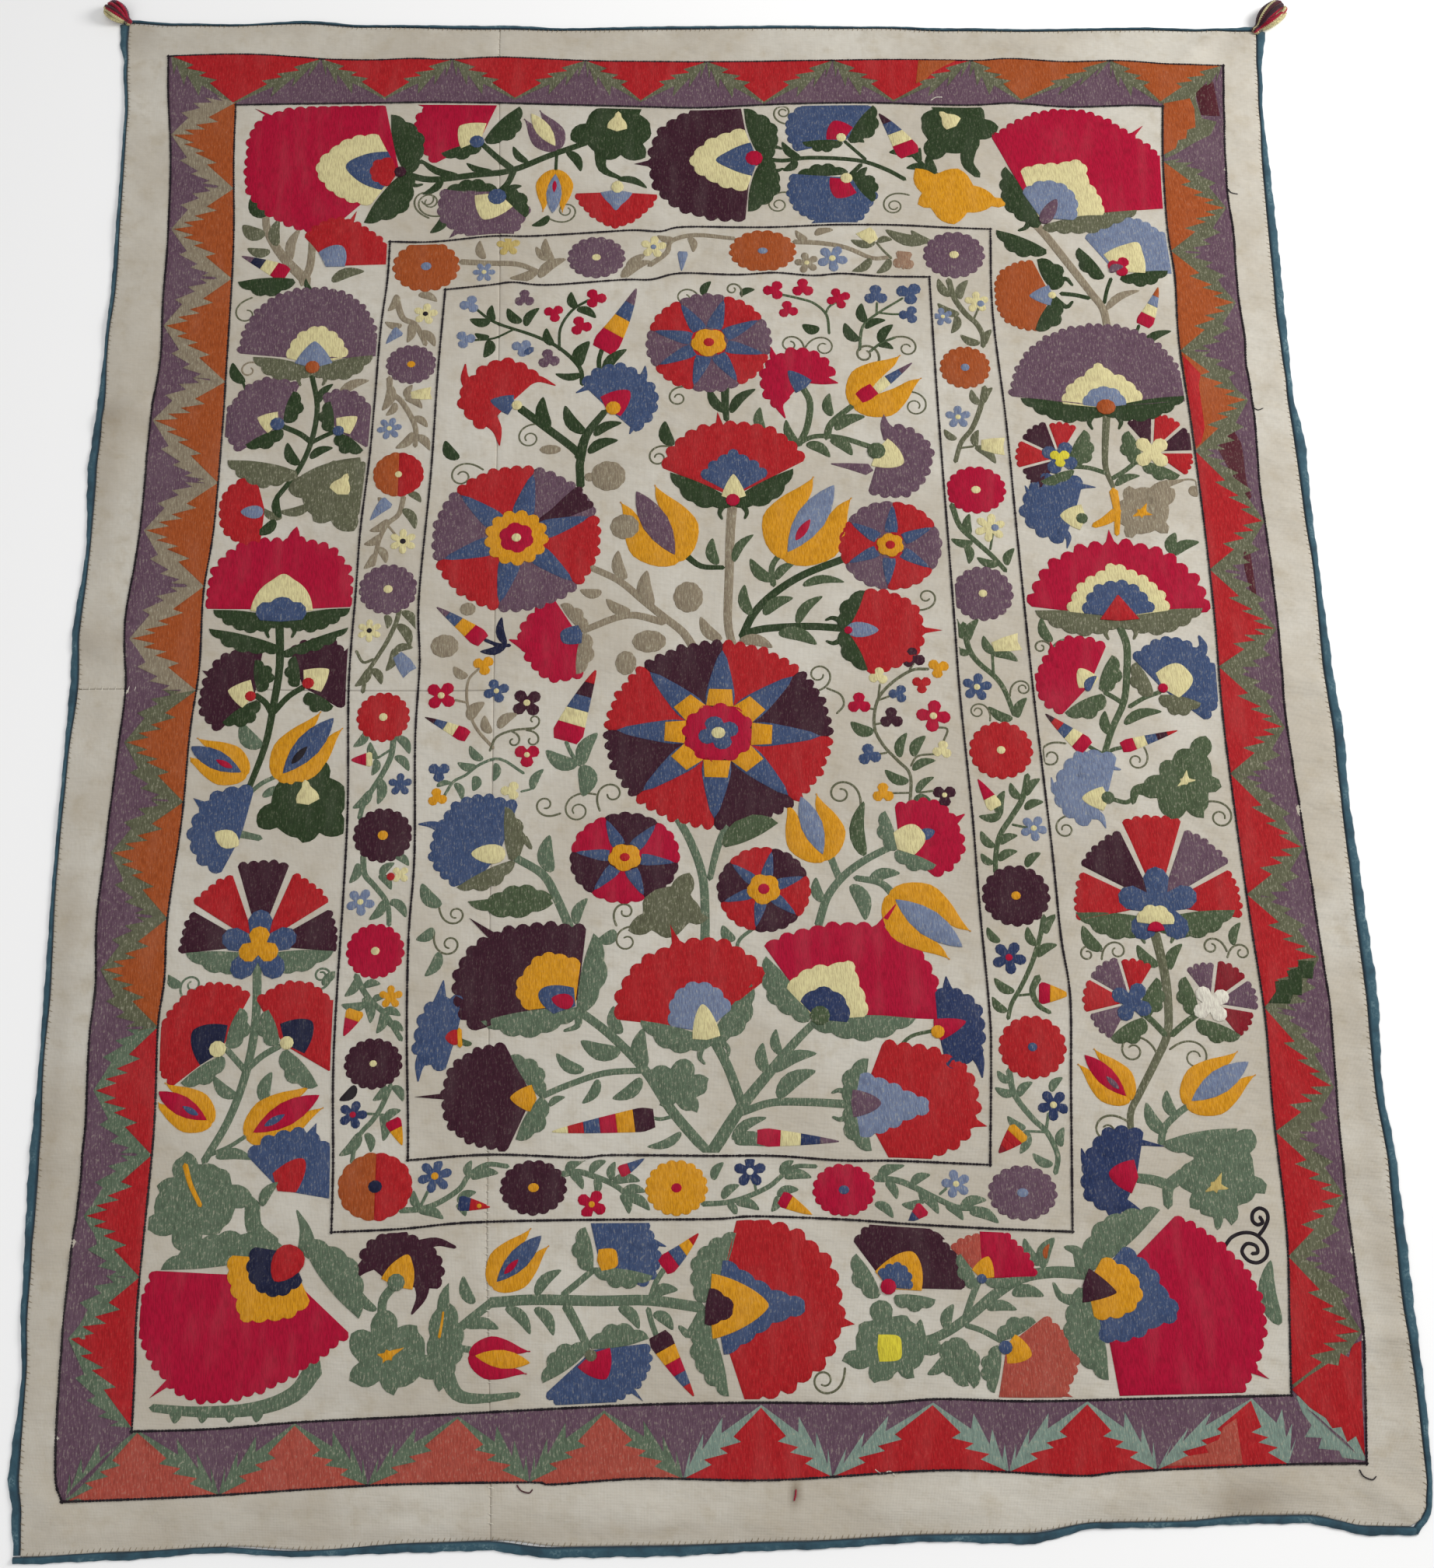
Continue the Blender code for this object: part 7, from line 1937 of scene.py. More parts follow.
def narrow_border_left():
    """The narrow border's left column, from its top corner down."""
    vine(
        "taupe", 0.7,
        [(-31.7, 123.9), (-31.3, 122.2), (-30.8, 121.2), (-29.7, 120.6), (-28.9, 119.2), (-28.5, 118.2)],
        (-31.6, 124.2, -32.5, 122.2), (-29.4, 124.2, -27.4, 123.3), (-30.1, 120.6, -30.4, 118.4),
        (-29.0, 119.8, -27.5, 117.9), (-31.0, 120.4, -32.8, 120.9),
    )
    vine(
        "taupe", 0.65,
        [(-32.1, 114.2), (-31.9, 112.6), (-30.8, 111.5), (-29.7, 109.6), (-29.2, 108.1), (-29.2, 106.3)],
        (-31.9, 113.4, -32.7, 110.4), (-31.3, 111.3, -32.3, 109.8), (-30.3, 111.8, -29.7, 113.4),
        (-30.4, 111.9, -28.6, 110.6), (-29.5, 109.6, -28.0, 108.4), (-29.4, 107.8, -31.2, 106.0),
        (-29.2, 107.5, -27.6, 105.7),
    )
    vine(
        "taupe", 0.55,
        [(-30.2, 100.4), (-30.6, 98.5), (-31.7, 97.4), (-32.4, 95.9), (-32.7, 94.5), (-33.0, 92.8)],
        (-31.6, 97.8, -33.5, 96.6), (-32.3, 96.1, -34.0, 95.1), (-32.6, 94.8, -31.7, 93.0),
        (-32.9, 94.0, -33.9, 92.4), (-31.8, 99.8, -32.8, 100.4),
    )
    vine(
        "olive", 0.5,
        [(-30.2, 87.8), (-30.5, 86.4), (-31.3, 84.4), (-32.4, 82.4), (-33.2, 80.9), (-33.5, 79.0)],
        (-29.9, 87.7, -28.4, 85.7), (-31.5, 87.3, -31.3, 85.8), (-30.3, 86.3, -29.0, 83.8),
        (-32.9, 81.5, -34.3, 79.6), (-32.7, 81.5, -31.7, 79.8), (-30.5, 83.6, -31.3, 81.2),
        (-30.6, 83.4, -28.7, 83.7), (-30.2, 99.1, -28.9, 96.8), (-29.7, 100.9, -28.4, 99.8),
    )
    stroke("olive", [(-32.6, 82.5), (-33.6, 82.2), (-34.3, 83.4)], 0.3)
    stroke("taupe", [(-31.6, 97.1), (-30.9, 96.2)], 0.25)
    vine(
        "sage", 0.6,
        [(-30.3, 74.2), (-30.5, 72.2), (-31.3, 70.3), (-32.2, 68.7), (-33.0, 67.1), (-33.3, 65.8)],
        (-32.9, 74.8, -34.2, 73.2), (-30.0, 74.3, -28.7, 72.4), (-30.1, 72.2, -28.7, 70.6),
        (-31.5, 69.9, -31.6, 67.2), (-32.3, 68.6, -34.0, 66.8), (-31.9, 71.9, -32.6, 73.7),
        (-31.9, 71.9, -32.3, 70.2),
    )
    stroke("sage", [(-31.8, 72.0), (-30.5, 72.9)], 0.25)
    vine(
        "sage", 0.6,
        [(-32.8, 61.9), (-32.6, 60.1), (-31.7, 59.0), (-30.6, 57.6), (-30.2, 56.5), (-30.1, 55.0)],
        (-29.8, 62.0, -28.4, 60.9), (-31.1, 59.9, -29.8, 61.2), (-31.2, 60.0, -30.0, 58.5),
        (-33.2, 61.2, -34.0, 59.2), (-30.6, 57.4, -32.0, 55.5), (-30.0, 57.5, -28.5, 55.7),
        (-30.1, 57.2, -28.7, 56.7),
    )
    vine(
        "sage", 0.6,
        [(-33.0, 50.0), (-32.3, 48.6), (-31.4, 47.4), (-30.2, 46.3), (-29.1, 44.6), (-28.6, 43.8)],
        (-32.8, 49.8, -34.0, 48.0), (-32.3, 49.0, -30.7, 49.2), (-32.0, 47.2, -34.3, 47.2),
        (-32.2, 47.9, -31.5, 45.4), (-30.4, 46.6, -28.7, 46.1), (-30.3, 46.5, -30.9, 44.4),
        (-31.4, 47.6, -30.3, 47.9), (-29.9, 45.4, -28.4, 44.6),
    )
    vine(
        "sage", 0.5,
        [(-29.4, 39.4), (-30.2, 37.4), (-31.0, 36.1), (-31.9, 35.1), (-32.5, 33.8), (-32.7, 32.3)],
        (-29.8, 39.4, -31.0, 38.0), (-29.2, 39.4, -28.2, 37.9), (-29.9, 36.2, -28.4, 37.1),
        (-30.1, 36.8, -29.9, 34.2), (-32.0, 35.0, -33.9, 32.9), (-31.5, 35.0, -31.0, 33.2),
    )
    stroke("sage", [(-31.7, 36.8), (-30.2, 36.7)], 0.25)
    leaf("ink", -32.6, 39.4, 222, 2.0, 1.0)
    open_bud("cream", -29.8, 112.1, 8, 2.1, 1.5)
    bud(-31.2, 119.9, 222, 2.1, 1.4, ["pale_blue", "pale_blue"])
    bud(-31.7, 100.0, 224, 2.8, 1.6, ["pale_blue", "pale_blue"])
    open_bud("pale_blue", -30.3, 82.9, 308, 2.4, 1.9)
    bud(-32.3, 71.9, 182, 2.1, 1.7, ["cream", "crimson", "crimson", "crimson"], 0.0)
    bud(-32.9, 46.7, 250, 2.7, 1.9, ["gold", "crimson", "crimson"], -0.05)
    bud(-29.2, 36.2, 296, 2.6, 1.7, ["crimson", "gold", "gold"], -0.05)
    blossoms(
        ("cream", -28.6, 121.8, 1.3, 5, 80, "ink"), ("pale_blue", -31.9, 108.3, 1.3, 6, 10, "cream"),
        ("cream", -30.1, 95.4, 1.4, 6, 90, "ink"), ("cream", -33.1, 85.6, 1.25, 6, 30, "ink"),
        ("blue", -29.5, 69.2, 1.2, 5, 90, None), ("cream", -29.2, 60.0, 0.9, 4, 45, None),
        ("pale_blue", -32.9, 57.3, 1.4, 5, 60, "cream"), ("gold", -29.7, 47.9, 1.15, 5, 90, None),
        ("navy_blue", -32.8, 36.7, 1.35, 5, 0, "crimson"),
    )
    disc("red", 1.0, -30.1, 59.8, 0.4)


def narrow_border_bottom():
    """The run under the field, from left to right."""
    vine(
        "sage", 0.55,
        [
            (-28.1, 27.8), (-26.3, 27.9), (-24.6, 28.5), (-22.8, 29.7), (-22.0, 30.9), (-20.4, 31.9),
            (-18.5, 31.7),
        ], (-22.1, 30.8, -21.8, 32.3), (-21.8, 30.7, -19.3, 31.1), (-26.5, 28.0, -27.0, 29.6),
        (-26.5, 27.8, -24.2, 27.0), (-23.0, 28.5, -21.3, 29.4), (-23.0, 28.3, -22.2, 27.2),
    )
    stroke("sage", [(-26.3, 28.2), (-25.7, 29.5)], 0.3)
    vine(
        "sage", 0.6, [(-13.5, 30.9), (-12.0, 31.1), (-10.4, 30.6), (-9.0, 30.0), (-7.9, 29.2), (-7.4, 28.3)],
        (-13.2, 31.1, -11.4, 32.3), (-12.7, 31.0, -11.6, 29.5), (-11.0, 31.0, -9.5, 32.1),
        (-10.4, 30.5, -10.4, 29.0), (-9.0, 30.3, -8.7, 32.0), (-8.9, 30.2, -6.4, 30.2),
        (-8.0, 29.3, -5.9, 29.2), (-8.1, 29.0, -7.4, 27.2), (-7.7, 28.8, -5.5, 27.5),
    )
    vine(
        "sage", 0.5,
        [(-0.7, 28.0), (1.4, 28.1), (3.3, 28.6), (5.3, 29.5), (6.4, 30.4), (7.7, 31.3), (9.6, 31.3)],
        (1.0, 28.5, 2.6, 29.7), (2.3, 28.1, 4.4, 27.4), (1.6, 28.0, 2.3, 26.9), (6.4, 30.6, 7.6, 31.9),
        (6.7, 30.4, 9.2, 30.3), (6.0, 28.7, 8.0, 29.2), (6.1, 28.6, 5.5, 27.2), (0.2, 30.2, 1.2, 31.8),
    )
    stroke("sage", [(4.0, 29.9), (4.1, 29.2)], 0.25)
    vine(
        "sage", 0.6,
        [(15.0, 30.1), (17.0, 29.9), (18.6, 29.2), (20.3, 28.3), (22.2, 27.4), (24.0, 27.2), (25.2, 26.9)],
        (15.2, 30.2, 17.7, 31.3), (16.0, 29.8, 16.9, 28.2), (14.9, 27.9, 16.5, 26.5),
        (18.2, 29.5, 20.0, 30.4), (19.0, 28.6, 20.6, 26.8), (19.1, 27.9, 17.3, 27.7),
        (21.3, 27.6, 22.8, 26.2), (22.6, 27.4, 25.0, 28.0), (23.4, 27.0, 26.0, 25.9),
    )
    stroke("sage", [(18.9, 29.1), (19.2, 27.9)], 0.4)
    stroke("sage", [(20.8, 28.6), (21.4, 29.1)], 0.25)
    bud(-22.9, 28.4, 352, 2.9, 1.6, ["navy_blue", "red", "red"], 0.0)
    disc("gold", 1.0, -21.0, 28.1, 0.22)
    bud(-8.3, 31.0, 22, 2.6, 1.3, ["crimson", "blue", "blue"])
    bud(6.3, 28.5, 330, 3.3, 1.7, ["crimson", "gold", "gold", "gold"], 0.0)
    bud(19.3, 27.4, 220, 2.0, 1.6, ["crimson", "navy_blue"], 0.05)
    blossoms(
        ("blue", -25.1, 30.9, 1.6, 6, 15, "gold"), ("crimson", -10.8, 28.1, 1.4, 4, 60, "gold"),
        ("navy_blue", 3.6, 30.9, 1.5, 5, 90, "white"), ("pale_blue", 22.3, 29.5, 1.35, 5, 30, "cream"),
    )


def narrow_border_right():
    """The right column, from the corner down."""
    vine(
        "olive", 0.65,
        [(26.1, 125.0), (26.6, 122.8), (27.7, 120.9), (28.7, 119.8), (29.3, 118.4), (29.3, 117.0)],
        (26.2, 123.0, 25.0, 125.2), (27.1, 122.7, 28.1, 125.0), (27.0, 120.8, 24.8, 122.2),
        (26.8, 120.7, 26.1, 118.6), (29.0, 117.3, 27.0, 118.4), (29.4, 117.2, 30.3, 119.0),
    )
    stroke("olive", [(28.5, 120.3), (29.2, 121.9)], 0.25)
    vine(
        "olive", 0.6, [(29.2, 112.1), (28.7, 109.9), (27.7, 107.4), (26.5, 105.8), (25.8, 103.6)],
        (28.6, 110.1, 27.8, 111.9), (28.9, 110.3, 30.0, 112.1), (26.0, 106.1, 24.8, 107.3),
        (27.9, 105.3, 28.3, 107.2), (27.9, 105.3, 29.9, 103.3),
    )
    stroke("olive", [(26.2, 105.1), (27.7, 105.3)], 0.25)
    vine(
        "moss", 0.6, [(25.2, 98.6), (25.9, 96.2), (27.4, 94.5), (29.0, 92.8), (30.2, 91.2)],
        (26.8, 95.3, 26.9, 97.6), (30.3, 91.8, 31.2, 93.7), (29.6, 91.9, 27.4, 92.7),
        (27.1, 94.3, 24.9, 94.8), (26.4, 94.2, 26.6, 92.0),
    )
    stroke("moss", [(28.8, 93.6), (29.2, 95.6)], 0.25)
    vine(
        "moss", 0.6, [(25.7, 85.4), (26.1, 82.8), (27.0, 81.2), (28.5, 79.7), (29.4, 78.2), (30.2, 75.6)],
        (25.8, 83.8, 25.0, 86.0), (26.0, 83.6, 27.2, 85.9), (26.2, 82.2, 24.8, 82.9),
        (28.6, 82.1, 27.6, 84.1), (28.4, 82.2, 30.9, 81.3), (30.0, 75.1, 27.7, 76.5),
        (30.4, 75.3, 31.5, 77.4),
    )
    stroke("moss", [(28.4, 79.9), (28.4, 82.1)], 0.3)
    vine(
        "moss", 0.6, [(31.1, 69.2), (30.5, 66.9), (29.4, 65.1), (28.1, 63.1), (27.6, 61.0), (27.5, 59.4)],
        (30.3, 66.8, 29.4, 68.5), (30.8, 67.2, 32.3, 68.9), (30.6, 65.8, 32.5, 66.5),
        (27.5, 61.9, 26.3, 63.6), (28.0, 62.3, 29.8, 63.1), (27.8, 60.6, 29.7, 61.5),
        (27.3, 60.2, 26.2, 61.3), (30.4, 59.9, 31.9, 61.3), (28.2, 65.1, 28.8, 67.7),
        (28.4, 65.2, 26.2, 65.1),
    )
    stroke("moss", [(29.4, 64.2), (31.0, 63.8)], 0.25)
    vine(
        "moss", 0.5,
        [(31.8, 54.9), (31.4, 53.1), (30.7, 51.0), (30.0, 49.4), (29.2, 47.9), (28.3, 46.4), (27.9, 45.0)],
        (27.5, 52.4, 26.4, 53.9), (30.9, 52.0, 30.2, 53.9), (31.8, 53.2, 33.0, 55.1),
        (30.9, 51.0, 32.9, 52.1), (28.6, 47.5, 26.8, 48.9), (27.8, 45.6, 26.5, 47.1),
    )
    stroke("moss", [(30.9, 48.9), (30.3, 47.6), (30.8, 46.2), (31.8, 45.5)], 0.7, 0.4)
    stroke("moss", [(29.0, 47.2), (30.2, 47.3)], 0.25)
    vine(
        "sage", 0.6, [(27.7, 40.0), (28.1, 37.7), (29.6, 35.5), (30.9, 34.1), (31.7, 32.0), (31.4, 30.4)],
        (27.8, 38.9, 26.6, 40.0), (28.1, 37.8, 26.3, 38.4), (28.4, 37.6, 29.8, 38.9),
        (31.4, 38.0, 32.6, 39.3), (32.0, 32.8, 32.4, 34.6), (31.2, 31.1, 29.4, 32.2),
        (28.9, 34.5, 27.3, 35.7), (29.0, 34.4, 28.3, 32.2),
    )
    stroke("sage", [(30.8, 34.4), (31.1, 35.9)], 0.3)
    stroke("sage", [(29.0, 34.3), (30.6, 34.2)], 0.25)
    tendril("olive", 29.9, 77.6, 85, 6.4, -560)
    tendril("olive", 27.8, 75.0, 85, 6.6, 560)
    open_bud("cream", 28.5, 105.4, 357, 2.4, 2.1)
    open_bud("cream", 28.5, 82.8, 14, 2.7, 1.9)
    bud(27.9, 65.9, 118, 3.4, 1.7, ["cream", "crimson", "crimson"], 0.0)
    bud(30.9, 47.4, 356, 2.8, 2.4, ["crimson", "gold", "gold"], 0.0)
    bud(28.5, 34.4, 224, 3.0, 2.3, ["gold", "red", "red", "maroon_red"], 0.0)
    blossoms(
        ("cream", 28.9, 122.3, 1.3, 5, 20, None), ("pale_blue", 25.3, 120.6, 1.1, 5, 30, "cream"),
        ("pale_blue", 26.3, 108.7, 1.35, 5, 90, "cream"), ("cream", 28.9, 96.0, 1.6, 6, 20, None),
        ("blue", 26.7, 78.6, 1.5, 5, 80, "cream"), ("pale_blue", 31.4, 63.8, 1.35, 5, 60, "cream"),
        ("navy_blue", 28.3, 50.9, 1.65, 5, 60, "crimson"), ("navy_blue", 31.6, 36.7, 1.5, 5, 50, "cream"),
    )
    disc("pale_blue", 1.0, 29.3, 122.1, 0.4)
    disc("pale_blue", 1.0, 29.4, 96.0, 0.4)


def narrow_border():
    """The round flowers of the narrow border and what grows between them."""
    for each in ROUNDS:
        button(each.x, each.y, each.radius, each.silk, each.dot, each.tall, 17, each.share, each.half)
    narrow_border_top()
    narrow_border_left()
    narrow_border_bottom()
    narrow_border_right()


LINE_GAP = 0.3
# The ruled lines: each side of the four loops, from its left or lower end
Loop = namedtuple("Loop", "left right bottom top")
TOOTHED_OUTER = Loop(
    left=[
        (-56.7, 2.7), (-57.5, 5.0), (-57.8, 12.0), (-57.8, 21.0), (-57.4, 29.0), (-57.3, 36.0),
        (-57.6, 44.0), (-57.4, 50.0), (-57.8, 56.0), (-57.4, 65.0), (-57.1, 73.0), (-56.8, 80.0),
        (-57.4, 87.0), (-56.7, 95.0), (-56.5, 102.0), (-56.4, 110.0), (-55.9, 117.0), (-56.1, 124.0),
        (-56.1, 132.0), (-56.5, 142.0), (-57.3, 150.0), (-57.6, 154.8),
    ],
    right=[
        (56.9, 4.4), (57.4, 10.0), (57.8, 16.0), (57.6, 26.0), (57.6, 34.0), (57.9, 45.0), (57.6, 53.0),
        (57.1, 64.0), (56.6, 75.0), (56.8, 85.0), (56.6, 95.0), (56.4, 101.0), (56.6, 108.0), (56.3, 114.0),
        (56.4, 118.0), (56.2, 124.0), (56.4, 130.0), (56.2, 136.0), (56.6, 144.0), (57.2, 151.6),
    ],
    bottom=[
        (-56.7, 2.7), (-45.0, 3.0), (-35.0, 3.5), (-27.0, 3.8), (-16.0, 3.8), (-14.0, 3.6), (-6.0, 4.0),
        (5.0, 3.7), (18.0, 4.3), (24.0, 4.2), (32.0, 3.7), (36.0, 4.0), (49.0, 4.4), (56.9, 4.4),
    ],
    top=[
        (-57.6, 154.8), (-50.0, 154.9), (-44.0, 154.5), (-40.0, 154.1), (-35.0, 153.9), (-31.0, 154.0),
        (-27.0, 153.8), (-21.0, 154.0), (-12.0, 153.4), (-6.0, 153.2), (4.0, 153.0), (20.0, 153.0),
        (30.0, 152.7), (34.0, 152.9), (40.0, 152.4), (46.0, 152.4), (51.0, 151.9), (57.2, 151.6),
    ],
)
TOOTHED_INNER = Loop(
    left=[
        (-51.1, 8.6), (-51.2, 14.0), (-51.4, 20.0), (-51.0, 35.0), (-51.3, 45.0), (-51.0, 50.0),
        (-51.1, 56.0), (-50.4, 66.0), (-50.2, 75.0), (-49.7, 82.0), (-49.8, 90.0), (-49.2, 97.0),
        (-49.0, 108.0), (-49.0, 116.0), (-49.1, 130.0), (-49.7, 141.0), (-49.9, 148.3),
    ],
    right=[
        (50.9, 10.3), (51.4, 17.0), (51.9, 25.0), (51.7, 36.0), (51.8, 45.0), (51.3, 54.0), (50.9, 63.0),
        (50.5, 75.0), (50.6, 85.0), (50.5, 94.0), (50.1, 107.0), (49.6, 117.0), (49.8, 125.0), (49.5, 131.0),
        (49.7, 140.0), (50.2, 146.4),
    ],
    bottom=[
        (-51.1, 8.6), (-44.0, 8.7), (-36.0, 9.2), (-25.0, 9.6), (-15.0, 10.0), (-5.0, 10.3), (5.0, 10.3),
        (14.0, 10.1), (20.0, 10.4), (28.0, 10.1), (40.0, 10.2), (50.9, 10.3),
    ],
    top=[
        (-49.9, 148.3), (-40.0, 148.3), (-25.0, 148.2), (-10.0, 147.5), (0.0, 147.1), (9.0, 147.4),
        (19.0, 147.4), (29.0, 146.9), (34.0, 147.1), (40.0, 146.5), (47.0, 146.6), (50.2, 146.4),
    ],
)
NARROW_OUTER = Loop(
    left=[
        (-34.3, 25.9), (-34.4, 32.0), (-34.8, 43.0), (-34.5, 60.0), (-34.5, 68.0), (-34.9, 80.0),
        (-34.6, 90.0), (-34.4, 97.0), (-33.8, 105.0), (-33.5, 112.0), (-33.2, 120.0), (-32.7, 126.0),
        (-32.6, 130.7),
    ],
    right=[
        (32.6, 25.0), (33.3, 38.0), (33.8, 47.0), (33.3, 53.0), (33.0, 62.0), (32.2, 78.0), (31.6, 95.0),
        (31.2, 108.0), (30.5, 121.0), (30.8, 131.2),
    ],
    bottom=[
        (-34.3, 25.9), (-28.0, 26.1), (-22.0, 26.6), (-12.0, 26.7), (0.0, 26.6), (4.0, 26.8), (12.0, 26.4),
        (18.0, 25.9), (25.0, 25.4), (32.6, 25.0),
    ],
    top=[
        (-32.6, 130.7), (-28.0, 130.6), (-22.0, 131.2), (-18.0, 131.1), (-12.0, 131.4), (-7.0, 131.7),
        (-4.0, 131.5), (-1.5, 132.0), (7.0, 131.8), (14.0, 132.0), (20.0, 131.9), (26.0, 131.5),
        (30.8, 131.2),
    ],
)
FIELD_LINE = Loop(
    left=[
        (-27.6, 32.4), (-27.7, 36.0), (-28.1, 45.0), (-28.2, 54.0), (-27.9, 62.0), (-28.2, 74.0),
        (-28.0, 82.0), (-28.3, 89.0), (-27.5, 103.0), (-27.1, 115.0), (-26.6, 124.7),
    ],
    right=[
        (25.5, 31.2), (26.1, 41.0), (26.2, 46.0), (25.8, 56.0), (25.6, 65.0), (25.0, 78.0), (24.8, 88.0),
        (24.3, 110.0), (24.1, 125.4),
    ],
    bottom=[
        (-27.6, 32.4), (-20.0, 32.8), (-12.0, 32.4), (-9.0, 32.6), (0.0, 32.4), (6.0, 32.3), (12.0, 31.8),
        (17.0, 31.7), (25.5, 31.2),
    ],
    top=[
        (-26.6, 124.7), (-22.0, 125.2), (-19.5, 125.5), (-16.0, 125.1), (-8.0, 125.6), (-5.0, 125.6),
        (-2.0, 126.3), (4.0, 126.0), (8.0, 126.2), (12.0, 125.8), (15.0, 126.0), (19.0, 125.6),
        (24.1, 125.4),
    ],
)

# Teeth: where the two feet stand along the line they rise from, their tip, and the silks of tooth and band
Tooth = namedtuple("Tooth", "start stop tip silk band")
LEFT_TEETH = tuple(
    Tooth(*row)
    for row in (
        (137.6, 148.6, (-56.4, 144.5), "rust", "taupe"), (126.4, 137.6, (-55.6, 132.6), "rust", "taupe"),
        (114.0, 126.4, (-55.6, 120.8), "rust", "taupe"), (102.3, 114.0, (-56.0, 109.6), "rust", "taupe"),
        (90.7, 102.3, (-56.0, 97.0), "rust", "taupe"), (79.4, 90.7, (-56.6, 85.1), "rust", "taupe"),
        (67.7, 79.4, (-56.3, 74.0), "rust", "olive"), (55.9, 67.7, (-56.8, 62.6), "rust", "olive"),
        (45.3, 55.9, (-56.8, 50.9), "rust", "olive"), (33.2, 45.3, (-56.6, 39.3), "red", "sage"),
        (22.1, 33.2, (-56.6, 27.7), "red", "sage"), (8.9, 22.1, (-57.1, 16.7), "red", "sage"),
    )
)
RIGHT_TEETH = tuple(
    Tooth(*row)
    for row in (
        (128.2, 139.4, (55.7, 133.4), "rust", "olive"), (116.1, 128.2, (55.7, 121.8), "rust", "olive"),
        (104.4, 116.1, (55.9, 110.2), "rust", "olive"), (91.0, 104.4, (56.3, 96.3), "red", "olive"),
        (80.4, 91.0, (56.4, 84.4), "red", "olive"), (69.1, 80.4, (56.2, 73.9), "red", "olive"),
        (56.8, 69.1, (56.8, 61.5), "red", "olive"), (45.7, 56.8, (57.2, 50.5), "red", "olive"),
        (33.9, 45.7, (57.3, 38.1), "red", "olive"), (22.5, 33.9, (57.2, 27.9), "red", "olive"),
        (11.1, 22.5, (57.4, 15.7), "red", "olive"),
    )
)
BOTTOM_TEETH = tuple(
    Tooth(*row)
    for row in (
        (-56.4, -43.1, (-50.6, 8.5), "terracotta", "sage"),
        (-43.1, -30.2, (-36.8, 8.9), "terracotta", "sage"),
        (-30.2, -16.1, (-22.5, 9.3), "terracotta", "sage"), (-16.1, -2.7, (-9.6, 9.6), "terracotta", "sage"),
        (-2.7, 10.3, (4.2, 9.9), "red", "teal_grey"), (10.3, 25.7, (19.3, 9.9), "red", "teal_grey"),
        (25.7, 38.6, (32.9, 9.8), "red", "teal_grey"), (38.6, 50.1, (47.3, 9.9), "red", "teal_grey"),
    )
)
TOP_TEETH = tuple(
    Tooth(*row)
    for row in (
        (-57.3, -40.9, (-50.2, 148.6), "red", "olive"), (-40.9, -26.6, (-33.8, 149.0), "red", "olive"),
        (-26.6, -12.1, (-19.7, 148.7), "red", "olive"), (-12.1, 1.1, (-6.1, 148.1), "red", "olive"),
        (1.1, 14.8, (7.2, 147.7), "red", "olive"), (14.8, 29.8, (21.2, 147.7), "red", "olive"),
        (29.8, 44.9, (35.0, 147.5), "rust", "olive"), (44.9, 57.0, (50.0, 147.0), "rust", "olive"),
    )
)

# How a tooth and its band bend from foot to tip and where their points stand: the sides, then the ends
Edge = namedtuple("Edge", "level swell shares out_first ahead_first out_second ahead_second")
SIDE_EDGES = (
    Edge(0.6, 4.2, (0.22, 0.4, 0.58, 0.76), 0.2, 0.7, -0.3, -0.1),
    Edge(1.2, -1.7, (0.3, 0.5, 0.68), -0.1, 0.95, -0.5, -0.15),
)
END_EDGES = (
    Edge(0.6, 2.7, (0.24, 0.46, 0.68), 0.1, 1.0, 0.1, -0.35),
    Edge(1.2, -2.2, (0.2, 0.36, 0.52), -0.4, -0.05, 0.3, 0.4),
)


def tooth(silk, band, foot, tip, end, base, edges):
    """A serrated triangle over a fuller one of the band's silk. Its base follows the ruled line."""
    foot, tip, end = (np.array(place, float) for place in (foot, tip, end))
    middle = (foot + end) / 2
    ahead = (tip - middle) / math.hypot(*(tip - middle))
    for colour, edge in zip((band, silk), edges):
        top = tip + ahead * 0.25 * (edge.swell > 0)
        sides = []
        for start in (foot, end):
            out = (start - middle) / math.hypot(*(start - middle))
            bend = (start + tip) / 2 + out * edge.swell
            points = [start]
            for share in edge.shares:
                near = start + (bend - start) * share
                at = near + (bend + (top - bend) * share - near) * share
                points.append(at + out * edge.out_first + ahead * edge.ahead_first)
                points.append(at + out * edge.out_second + ahead * edge.ahead_second)
            sides.append(points)
        patch(colour, edge.level, sides[0] + [top] + sides[1][::-1] + base[::-1])


